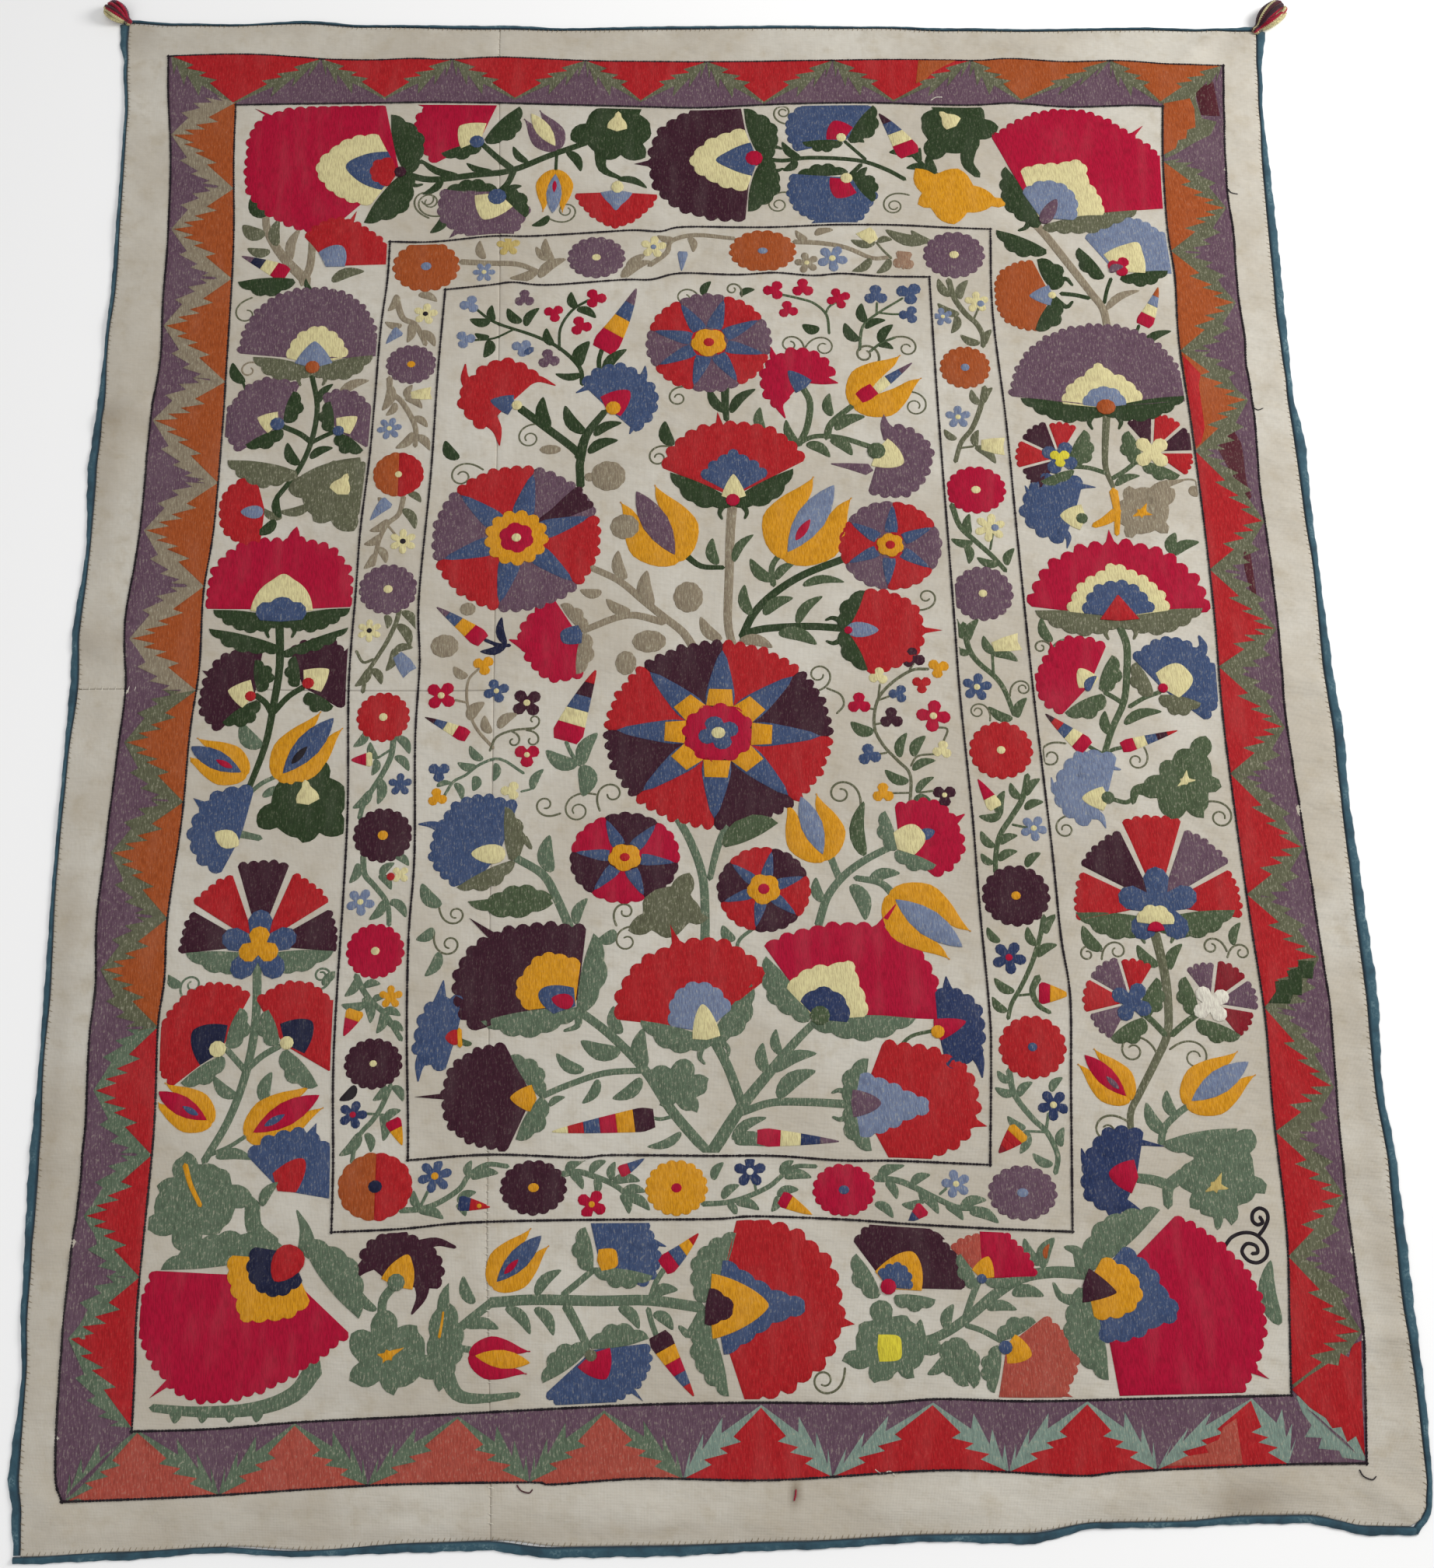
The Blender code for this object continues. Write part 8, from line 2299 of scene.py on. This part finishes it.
def toothed_border():
    """The mauve strip between the two outermost ruled lines, with its serrated teeth."""
    for side in Loop._fields:
        outer, inner = through(getattr(TOOTHED_OUTER, side)), through(getattr(TOOTHED_INNER, side))
        patch("mauve", 0.0, np.concatenate([outer, inner[::-1]]))
    for teeth, line, axis, edges in (
        (LEFT_TEETH, TOOTHED_INNER.left, 1, SIDE_EDGES),
        (RIGHT_TEETH, TOOTHED_INNER.right, 1, SIDE_EDGES),
        (BOTTOM_TEETH, TOOTHED_OUTER.bottom, 0, END_EDGES),
        (TOP_TEETH, TOOTHED_OUTER.top, 0, END_EDGES),
    ):
        path = through(line)
        for each in teeth:
            feet = []
            for at in (each.start, each.stop):
                place = [at, at]
                place[1 - axis] = float(np.interp(at, path[:, axis], path[:, 1 - axis]))
                feet.append(place)
            base = [point for point in path if each.start < point[axis] < each.stop]
            tooth(each.silk, each.band, feet[0], each.tip, feet[1], base, edges)
    for silk, level, outline in (
        (
            "olive", 0.6,
            [
                (50.2, 147.4), (51.5, 148.0), (54.0, 150.5), (55.5, 151.2), (56.6, 151.3), (55.0, 149.3),
                (53.8, 147.5), (54.3, 144.8), (55.8, 144.2), (55.0, 142.6), (53.0, 141.5), (51.0, 140.2),
                (49.9, 139.7),
            ],
        ), ("maroon", 0.3, [(53.8, 148.2), (54.6, 149.0), (55.9, 149.6), (56.2, 144.9), (54.2, 145.2)]),
        (
            "rust", 1.2,
            [
                (50.3, 146.8), (53.2, 147.4), (53.6, 146.0), (53.5, 143.6), (52.6, 143.3), (52.4, 142.2),
                (51.5, 142.0), (51.2, 141.0), (49.8, 140.2),
            ],
        ),
        (
            "red", 2.4,
            [(49.8, 115.6), (51.5, 113.3), (51.2, 112.0), (51.4, 107.0), (50.9, 105.3), (50.3, 104.8)],
        ),
        (
            "rust", 2.4,
            [(24.1, 152.8), (28.2, 152.7), (26.9, 152.0), (25.6, 151.2), (24.9, 150.4), (23.7, 149.8)],
        ),
        (
            "terracotta", 2.4,
            [
                (45.9, 8.4), (46.1, 4.5), (39.4, 4.4), (41.2, 5.2), (43.2, 5.5), (42.9, 6.1), (44.2, 6.6),
                (44.6, 7.6),
            ],
        ),
        (
            "maroon", 0.3,
            [
                (52.5, 104.6), (53.0, 105.6), (54.4, 106.6), (55.0, 105.2), (55.5, 99.0), (54.8, 98.4),
                (54.2, 100.6), (53.6, 101.8),
            ],
        ), ("maroon", 0.3, [(54.1, 93.6), (54.8, 93.4), (55.0, 87.6), (54.5, 87.4), (54.0, 91.0)]),
        (
            "green", 2.0,
            [
                (52.2, 46.1), (53.0, 47.2), (53.0, 48.2), (54.4, 48.4), (54.2, 49.2), (55.3, 49.5),
                (55.4, 50.2), (56.9, 50.1), (56.6, 48.4), (55.6, 48.5), (55.4, 46.8), (54.6, 46.9),
                (54.2, 46.0),
            ],
        ),
        (
            "teal_grey", 0.6,
            [
                (51.3, 10.2), (51.7, 8.8), (52.4, 7.7), (51.7, 6.7), (53.2, 6.6), (52.8, 5.7), (54.6, 5.5),
                (54.8, 4.9), (56.8, 4.6), (57.0, 9.0), (53.0, 10.8),
            ],
        ),
        (
            "red", 1.2,
            [
                (51.0, 10.8), (52.5, 11.9), (54.4, 13.0), (55.3, 12.8), (55.6, 13.9), (56.3, 13.5),
                (56.7, 14.6), (57.5, 14.9), (57.1, 10.0), (56.8, 5.0), (56.2, 6.7), (55.4, 6.2), (55.0, 7.5),
                (54.2, 7.4), (53.7, 8.3), (52.4, 9.2),
            ],
        ),
    ):
        patch(silk, level, outline)


def fitted(outer, inner=None):
    """Draws in the patches at hand wherever they reach over the ruled lines around them."""
    drawn = list(PATCHES)
    PATCHES.clear()
    outer, inner = ([through(side) for side in loop] if loop else None for loop in (outer, inner))
    for item in drawn:
        x, y = item.outline.T
        left, right = (np.interp(y, side[:, 1], side[:, 0]) for side in outer[:2])
        bottom, top = (np.interp(x, side[:, 0], side[:, 1]) for side in outer[2:])
        x = np.clip(x, left + LINE_GAP, right - LINE_GAP)
        y = np.clip(y, bottom + LINE_GAP, top - LINE_GAP)
        if inner:
            left, right = (np.interp(y, side[:, 1], side[:, 0]) for side in inner[:2])
            bottom, top = (np.interp(x, side[:, 0], side[:, 1]) for side in inner[2:])
            over = np.stack([x - left, right - x, y - bottom, top - y]) + LINE_GAP
            nearest = np.where(over.min(0) > 0.0, over.argmin(0), -1)
            x = np.where(nearest == 0, left - LINE_GAP, np.where(nearest == 1, right + LINE_GAP, x))
            y = np.where(nearest == 2, bottom - LINE_GAP, np.where(nearest == 3, top + LINE_GAP, y))
        patch(item.silk, item.level, np.stack([x, y], -1))


# Stitches along a line, in cm: how far apart, long, wide and tall, how uneven, and how far turned across
Stitch = namedtuple("Stitch", "every long wide tall uneven turn")
CHAIN = Stitch(0.30, 0.40, 0.25, 0.11, 0.16, 0.0)
RUNG = Stitch(0.62, 0.62, 0.09, 0.08, 0.3, 78.0)
WHIP = Stitch(0.52, 0.46, 0.07, 0.08, 0.3, 66.0)
STITCH_SEED = 7
STITCH_SIDES = 6
STITCH_RINGS = 4


def geometry_node(tree, kind, inputs=None, prefix="GeometryNode", **settings):
    """A node of a Geometry Nodes tree, set up as a material's nodes are."""
    return node(tree, kind, inputs, prefix, **settings)


def stitches_along_paths(material):
    """Geometry Nodes for small rounded stitches at even distances along every edge path of a mesh."""
    tree = bpy.data.node_groups.new("stitches_along_paths", "GeometryNodeTree")
    tree.interface.new_socket("Paths", in_out="INPUT", socket_type="NodeSocketGeometry")
    for name in ("Every", "Long", "Wide", "Tall", "Uneven", "Turn"):
        tree.interface.new_socket(name, in_out="INPUT", socket_type="NodeSocketFloat")
    tree.interface.new_socket("Silk", in_out="INPUT", socket_type="NodeSocketColor")
    tree.interface.new_socket("Stitches", in_out="OUTPUT", socket_type="NodeSocketGeometry")
    given = tree.nodes.new("NodeGroupInput").outputs
    curve = geometry_node(tree, "MeshToCurve", {"Mesh": given["Paths"]})
    spots = geometry_node(
        tree, "CurveToPoints", {"Curve": curve.outputs["Curve"], "Length": given["Every"]}, mode="LENGTH"
    )
    size = geometry_node(
        tree, "CombineXYZ", {"X": given["Long"], "Y": given["Wide"], "Z": given["Tall"]}, prefix="ShaderNode"
    )
    ball = geometry_node(
        tree, "MeshUVSphere", {"Segments": STITCH_SIDES, "Rings": STITCH_RINGS, "Radius": 0.5},
    )
    one = geometry_node(
        tree, "Transform", {"Geometry": ball.outputs["Mesh"], "Scale": size.outputs["Vector"]},
    )
    along = geometry_node(
        tree,
        "AlignRotationToVector",
        {"Vector": spots.outputs["Tangent"]},
        prefix="FunctionNode",
        axis="X",
        pivot_axis="Z",
    )
    across = geometry_node(tree, "CombineXYZ", {"Z": given["Turn"]}, prefix="ShaderNode")
    turned = geometry_node(
        tree,
        "RotateRotation",
        {"Rotation": along.outputs["Rotation"], "Rotate By": across.outputs["Vector"]},
        prefix="FunctionNode",
        rotation_space="LOCAL",
    )
    least = geometry_node(
        tree, "Math", {0: 1.0, 1: given["Uneven"]}, prefix="ShaderNode", operation="SUBTRACT",
    )
    most = geometry_node(tree, "Math", {0: 1.0, 1: given["Uneven"]}, prefix="ShaderNode", operation="ADD")
    chance = geometry_node(
        tree, "RandomValue", {"Seed": STITCH_SEED}, prefix="FunctionNode"
    )
    for name, end in (("Min", least), ("Max", most)):
        tree.links.new(
            end.outputs[0], next(s for s in chance.inputs if s.name == name and s.type == "VALUE"),
        )
    amount = next(socket for socket in chance.outputs if socket.type == "VALUE")
    placed_ones = geometry_node(
        tree,
        "InstanceOnPoints",
        {
            "Points": spots.outputs["Points"],
            "Instance": one.outputs["Geometry"],
            "Rotation": turned.outputs["Rotation"],
            "Scale": amount,
        },
    )
    real = geometry_node(tree, "RealizeInstances", {"Geometry": placed_ones.outputs["Instances"]})
    silk = geometry_node(
        tree,
        "StoreNamedAttribute",
        {"Geometry": real.outputs["Geometry"], "Name": "thread"},
        data_type="FLOAT_COLOR",
    )
    tree.links.new(given["Silk"], next(s for s in silk.inputs if s.type == "RGBA"))
    smooth = geometry_node(tree, "SetShadeSmooth", {"Geometry": silk.outputs["Geometry"]})
    finished = geometry_node(
        tree, "SetMaterial", {"Geometry": smooth.outputs["Geometry"], "Material": material}
    )
    end = tree.nodes.new("NodeGroupOutput")
    tree.links.new(finished.outputs["Geometry"], end.inputs["Stitches"])
    return tree


def stitched(name, paths, tree, stitch, silk, above):
    """Stitches of one kind along paths of cm points, at a height above the cotton's face in mm."""
    points, edges = [], []
    for path in paths:
        start = len(points)
        x, y = path[:, 0], path[:, 1]
        points += world(x, y, face(x, y) + above).tolist()
        edges += [(k, k + 1) for k in range(start, len(points) - 1)]
    mesh = bpy.data.meshes.new(name + "_paths")
    mesh.from_pydata(points, edges, [])
    guide = bpy.data.objects.new(name + "_paths", mesh)
    bpy.context.scene.collection.objects.link(guide)
    nodes = guide.modifiers.new("stitches", "NODES")
    nodes.node_group = tree
    values = {
        "Every": stitch.every * CM,
        "Long": stitch.long * CM,
        "Wide": stitch.wide * CM,
        "Tall": stitch.tall * CM,
        "Uneven": stitch.uneven,
        "Turn": math.radians(stitch.turn),
        "Silk": linear(SILKS[silk].colour),
    }
    for socket in tree.interface.items_tree:
        if socket.item_type == "SOCKET" and socket.name in values:
            nodes[socket.identifier] = values[socket.name]
    seen = guide.evaluated_get(bpy.context.evaluated_depsgraph_get())
    made = bpy.data.objects.new(name, bpy.data.meshes.new_from_object(seen))
    bpy.context.scene.collection.objects.link(made)
    bpy.data.objects.remove(guide)
    return made


def ruled_lines(tree):
    """The dark chain-stitched lines on both sides of the toothed strip and of the narrow border."""
    pieces = []
    for name, loops in (
        ("embroidery_outer_lines", (TOOTHED_OUTER, TOOTHED_INNER)),
        ("embroidery_inner_lines", (NARROW_OUTER, FIELD_LINE)),
    ):
        paths = [through(side) for loop in loops for side in loop]
        pieces.append(stitched(name, paths, tree, CHAIN, "ink", 0.75))
    return pieces


def sewn_lines(tree):
    """The ladder stitches of the seams where they show, and the whip stitches beside the bindings."""
    along = np.arange(-0.6, 157.0, 1.0)
    shown = [
        along[(along > low) & (along < high)]
        for low, high in ((-0.6, 4.0), (12.0, 42.0), (154.0, 157.0))
    ]
    seams = [np.stack([eased(LONG_SEAM, y), y], -1) for y in shown]
    across = np.arange(-61.0, -51.0, 1.0)
    seams.append(np.stack([across, eased(CROSS_SEAM, across)], -1))
    edges = []
    for table, axis, side in ((LEFT, 1, 1), (RIGHT, 1, -1), (BOTTOM, 0, 1), (TOP, 0, -1)):
        at = np.arange(table[0].at + 0.6, table[-1].at - 0.6, 0.9)
        pair = [eased(table, at) + side * 0.16, at]
        edges.append(np.stack(pair if axis else pair[::-1], -1))
    return [
        stitched("seam_stitches", seams, tree, RUNG, "white", 0.1),
        stitched("edge_stitches", edges, tree, WHIP, "taupe", -0.1),
    ]


# Across a binding, from the cotton's edge outwards: the share of its width, and its height in mm
BINDING_ACROSS = ((0.0, 0.9), (0.06, 1.7), (0.22, 2.3), (0.45, 2.5), (0.68, 2.2), (0.86, 1.6), (1.0, 0.7))
BINDING_STEP = 0.5
BINDING_TURNED = 0.22
TEAL = (52, 84, 98)
TEAL_DARK = (30, 44, 56)
# Used both for the binding's darker faded streaks and for its painted shadow at the seam.
TEAL_PALE = (104, 132, 140)


def binding_material():
    """Dark teal cotton, faded in streaks and rubbed pale along its crown, with a painted shadow line at the
    seam.

    The across attribute runs from 0 at the cotton's edge to 1 at the rim."""
    made, tree, shader = new_material("binding_weave")
    plain = object_places(tree)
    across = attribute(tree, "across")
    threads = sum_of(tree, waves(tree, plain, 0.0008, "X"), waves(tree, plain, 0.0008, "Y"))
    faded = noise(tree, plain, 34.0, 4.0, 0.65)
    fine = noise(tree, plain, 420.0, 2.0, 0.6)
    rubbed = product(tree, ramp(tree, faded, 0.48, 0.72), ramp(tree, fine, 0.4, 0.62))
    colour = blend_colours(
        tree, product(tree, rubbed, ramp(tree, across, 0.15, 0.4)), linear(TEAL), linear(TEAL_PALE),
    )
    colour = blend_colours(tree, ramp(tree, faded, 0.52, 0.34, 0.0, 0.5), colour, linear(TEAL_DARK))
    # Painted shadow: the strip darkens towards the cotton's edge, as if shaded by the cotton's rim.
    colour = blend_colours(tree, ramp(tree, across, 0.3, 0.04, 0.0, 0.85), colour, linear(TEAL_DARK))
    finish_fabric(tree, shader, colour, bump(tree, sum_of(tree, threads, fine), 0.00012), 0.88, 0.1)
    return made


def face_outwards(mesh):
    """Turns every face of a closed mesh outwards."""
    shape = bmesh.new()
    shape.from_mesh(mesh)
    bmesh.ops.recalc_face_normals(shape, faces=shape.faces)
    shape.to_mesh(mesh)
    shape.free()


def binding(name, table, axis, side, low, high, material):
    """A folded strip beside one edge of the cotton: a closed low roll as wide as the table says there."""
    at = np.linspace(low, high, round((high - low) / BINDING_STEP) + 1)
    edge = eased(table, np.clip(at, table[0].at, table[-1].at))
    path = np.stack([edge, at] if axis else [at, edge], -1)
    ahead = np.gradient(path, axis=0)
    ahead /= np.hypot(*ahead.T)[:, None]
    out = np.stack([ahead[:, 1], -ahead[:, 0]], -1) * side
    band = eased(table, np.clip(at, table[0].at, table[-1].at), "band")
    band = band * (1.0 + 0.05 * np.sin(at * 1.7) + 0.04 * np.sin(at * 4.1 + 1.0))
    upper, under = [], []
    for share, tall in BINDING_ACROSS:
        place = path + out * (SEWN_GAP + band * share)[:, None]
        x, y = place[:, 0], place[:, 1]
        upper.append(world(x, y, lift(x, y) + tall + 0.12 * np.sin(at * 2.9 + 3.0 * share)))
        under.append(world(x, y, lift(x, y)))
    points = np.stack(upper + under[::-1], 1)
    rows, count = points.shape[:2]
    number = np.arange(rows * count).reshape(rows, count)
    after = np.roll(number, -1, 1)
    quads = np.stack([number[:-1], after[:-1], after[1:], number[1:]], -1).reshape(-1, 4)
    ends = [number[0].tolist(), number[-1].tolist()]
    made = mesh_object(name, points.reshape(-1, 3), quads.tolist() + ends, [material])
    face_outwards(made.data)
    marks = made.data.attributes.new("across", "FLOAT", "POINT")
    shares = [share for share, _ in BINDING_ACROSS]
    marks.data.foreach_set("value", np.tile(shares + shares[::-1], rows).astype(np.float32))
    area = float(np.sum(band[:-1] + BINDING_TURNED) * (at[1] - at[0]))
    return made, high - low, area


def bindings():
    """The four bindings by the CAD strips they stand for: each piece, its length and its flat area, in
    cm."""
    material = binding_material()
    corner = LEFT[0].band + SEWN_GAP
    return {
        "binding_left": binding("edge_binding_left", LEFT, 1, -1, LEFT[0].at + 0.1, 159.1, material),
        "binding_right": binding("edge_binding_right", RIGHT, 1, 1, RIGHT[0].at - 0.25, 156.0, material),
        "binding_bottom": binding(
            "edge_binding_bottom", BOTTOM, 0, 1, BOTTOM[0].at - corner, 60.6, material,
        ), "binding_top": binding("edge_binding_top", TOP, 0, -1, -62.1, 61.0, material),
    }


# Tassels: the corner they hang from, which way they point, their size, and their yarns from right to left
Tassel = namedtuple("Tassel", "x y turn long fat yarns")
TASSELS = {
    "tassel_left": Tassel(
        -62.2, 159.3, 141.0, 3.0, 1.15,
        ("mauve", "crimson", "rose", "crimson", "maroon", "crimson", "fawn", "cream"),
    ),
    "tassel_right": Tassel(
        61.1, 156.1, 43.0, 4.1, 1.3,
        ("cream", "crimson", "rose", "aubergine", "maroon", "cream", "rust", "aubergine"),
    ),
}
# Half width along a tassel, as shares of its length and of its fattest half width
TASSEL_SHARES = (-0.1, 0.06, 0.14, 0.24, 0.36, 0.52, 0.68, 0.84, 0.95, 1.0)
TASSEL_FATS = (0.30, 0.30, 0.36, 0.62, 0.86, 0.98, 1.0, 0.92, 0.80, 0.66)
TASSEL_FLATTEN = 0.72
TASSEL_STRANDS = 18
NECK_TURNS = 6

YARN_SIDES = 8
YARN_STEP = 0.07
YARN_TURN = 0.42
YARN_PLY = 0.2
YARN_REST = 0.27
Yarn = namedtuple("Yarn", "silk radius points")

# Loose thread ends and short repairs that lie on the cotton
LOOSE_ENDS = tuple(
    Yarn(*row)
    for row in (
        ("crimson", 0.07, [(7.1, 2.9), (7.05, 2.4), (6.9, 1.9)]),
        ("white", 0.06, [(25.2, 147.6), (25.8, 148.0), (26.5, 148.0)]),
        ("white", 0.06, [(14.0, 4.5), (14.6, 4.1), (15.3, 4.3), (15.8, 3.9)]),
        ("ink", 0.06, [(56.2, 3.9), (56.5, 3.3), (57.2, 3.0), (57.6, 3.3)]),
        ("maroon", 0.06, [(-17.2, 3.6), (-16.8, 3.1), (-16.1, 2.9), (-15.8, 3.2)]),
        ("ink", 0.05, [(56.5, 109.4), (57.0, 109.0), (57.6, 109.2)]),
        ("ink", 0.05, [(56.3, 135.8), (56.6, 135.3), (57.3, 135.1)]),
    )
)


def yarn_material():
    """Loosely plied yarn, its colour from the thread attribute and uneven along it."""
    made, tree, shader = new_material("plied_yarn")
    plain = object_places(tree)
    fibres = noise(tree, plain, 900.0, 2.0, 0.6)
    dyed = noise(tree, plain, 130.0, 2.0)
    thread = attribute(tree, "thread", "Color")
    deep = blend_colours(tree, 1.0, thread, (0.45, 0.42, 0.42, 1.0), "MULTIPLY")
    colour = blend_colours(tree, ramp(tree, fibres, 0.35, 0.62), deep, thread)
    colour = blend_colours(tree, ramp(tree, dyed, 0.6, 0.35, 0.0, 0.6), colour, deep)
    finish_fabric(tree, shader, colour, bump(tree, fibres, 0.0002), 0.8, 0.2)
    return made


def yarn_work(name, yarns, material):
    """Two-ply yarns as one mesh of closed tubes. A yarn's points are in cm, in all three directions."""
    around = np.arange(YARN_SIDES) * math.tau / YARN_SIDES
    points, faces, silks = [], [], []
    for each in yarns:
        path = through(each.points)
        far = np.concatenate([[0.0], np.cumsum(np.linalg.norm(np.diff(path, axis=0), axis=1))])
        at = np.linspace(0.0, far[-1], max(4, round(far[-1] / YARN_STEP)))
        path = np.stack([np.interp(at, far, column) for column in path.T], -1)
        ahead = np.gradient(path, axis=0)
        ahead /= np.linalg.norm(ahead, axis=1)[:, None]
        side = np.empty_like(path)
        near = np.cross(ahead[0], (0.3, 0.5, 0.81))
        for row, way in enumerate(ahead):
            near = near - way * near.dot(way)
            near /= np.linalg.norm(near)
            side[row] = near
        over = np.cross(ahead, side)
        ends = np.clip(np.minimum(at, far[-1] - at) / each.radius, 0.3, 1.0)
        plies = 1.0 + YARN_PLY * np.cos(2.0 * (around[None, :] - math.tau * at[:, None] / YARN_TURN))
        reach = (each.radius * ends[:, None] * plies)[:, :, None]
        rings = path[:, None] + side[:, None] * reach * np.cos(around)[:, None]
        rings = rings + over[:, None] * reach * np.sin(around)[:, None]
        number = np.arange(len(at) * YARN_SIDES).reshape(len(at), YARN_SIDES) + len(points)
        after = np.roll(number, -1, 1)
        quads = np.stack([number[:-1], after[:-1], after[1:], number[1:]], -1).reshape(-1, 4)
        faces += quads.tolist() + [number[0][::-1].tolist(), number[-1].tolist()]
        points += rings.reshape(-1, 3).tolist()
        silks += [each.silk] * rings.shape[0] * YARN_SIDES
    points = np.array(points) * CM + (SHIFT_X, SHIFT_Y, 0.0)
    made = mesh_object(name, points, faces, [material])
    thread = made.data.attributes.new("thread", "FLOAT_COLOR", "POINT")
    thread.data.foreach_set(
        "color", np.array([linear(SILKS[silk].colour) for silk in silks], np.float32).ravel(),
    )
    return made


def tassel_yarns(tassel):
    """Looped strands that swell from the neck and turn in at the end, and the thread wound round the
    neck."""
    heading = math.radians(tassel.turn)
    ahead = np.array((math.cos(heading), math.sin(heading), 0.0))
    left = np.array((-ahead[1], ahead[0], 0.0))
    corner = np.array((tassel.x, tassel.y, 0.0))

    def place(share, reach, turn):
        """A point at a share of the length, a reach of the half width there and a turn round the axis."""
        half = float(np.interp(share, TASSEL_SHARES, TASSEL_FATS)) * tassel.fat
        up = max(TASSEL_FLATTEN * half * (1.0 + reach * math.sin(turn)), YARN_REST)
        return corner + ahead * share * tassel.long + left * half * reach * math.cos(turn) + (0.0, 0.0, up)

    yarns = []
    for ring, (count, reach, radius) in enumerate(
        ((TASSEL_STRANDS, 0.84, 0.2), (TASSEL_STRANDS // 2, 0.45, 0.22))
    ):
        for number in range(count):
            turn = math.tau * (number + 0.35 * math.sin(number * 2.3)) / count
            end = 0.95 + 0.05 * math.sin(number * 1.9 + ring)
            sway = 0.4 * math.sin(number * 1.3 + ring)
            points = [
                place(share, reach * swell, turn + sway * share)
                for share, swell in (
                    (-0.1, 0.8), (0.12, 0.8), (0.28, 1.0), (0.45, 1.0), (0.62, 1.0), (0.8, 1.0),
                    (end - 0.04, 0.9), (end, 0.6), (end - 0.05, 0.3),
                )
            ]
            across = (math.cos(turn) + 1.0) / 2.0
            silk = tassel.yarns[min(int(across * len(tassel.yarns)), len(tassel.yarns) - 1)]
            yarns.append(Yarn(silk, radius * tassel.fat / 1.2, points))
    winding = [
        place(0.02 + 0.12 * step / (NECK_TURNS * 8), 1.1, step * math.tau / 8)
        for step in range(NECK_TURNS * 8 + 1)
    ]
    return yarns + [Yarn("navy", 0.07, winding)]


def tassels(material):
    """Both tassels, by the CAD nodes they stand for."""
    return {node: yarn_work(node + "_yarns", tassel_yarns(each), material) for node, each in TASSELS.items()}


def loose_ends(material):
    """The loose thread ends on the cotton's margins."""
    yarns = []
    for each in LOOSE_ENDS:
        x, y = np.array(each.points).T
        height = face(x, y) * MM / CM + each.radius * 0.8
        yarns.append(each._replace(points=np.stack([x, y, height], -1)))
    return yarn_work("loose_thread_ends", yarns, material)


set_camera()
set_studio()
cotton = cotton_ground()
silk_thread = silk_material()
yarn = yarn_material()
for draw in (field_top, field_middle, field_bottom):
    draw()
fitted(FIELD_LINE)
worked = [needlework("embroidery_field", [silk_thread])]
narrow_border()
fitted(NARROW_OUTER, FIELD_LINE)
worked.append(needlework("embroidery_narrow_border", [silk_thread]))
for draw in (wide_border_top, wide_border_left, wide_border_right, wide_border_bottom):
    draw()
fitted(TOOTHED_INNER, NARROW_OUTER)
worked.append(needlework("embroidery_wide_border", [silk_thread]))
toothed_border()
worked.append(needlework("embroidery_toothed_border", [silk_thread]))
stitching = stitches_along_paths(silk_thread)
worked += ruled_lines(stitching) + sewn_lines(stitching) + [loose_ends(yarn)]
for piece in worked:
    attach(piece, "root")
for part, sheet in cotton.items():
    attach(sheet, "root")
    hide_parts(part)
for part, (strip, length, area) in bindings().items():
    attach(strip, "root")
    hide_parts(part)
for part, tassel in tassels(yarn).items():
    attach(tassel, "root")
    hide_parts(part)
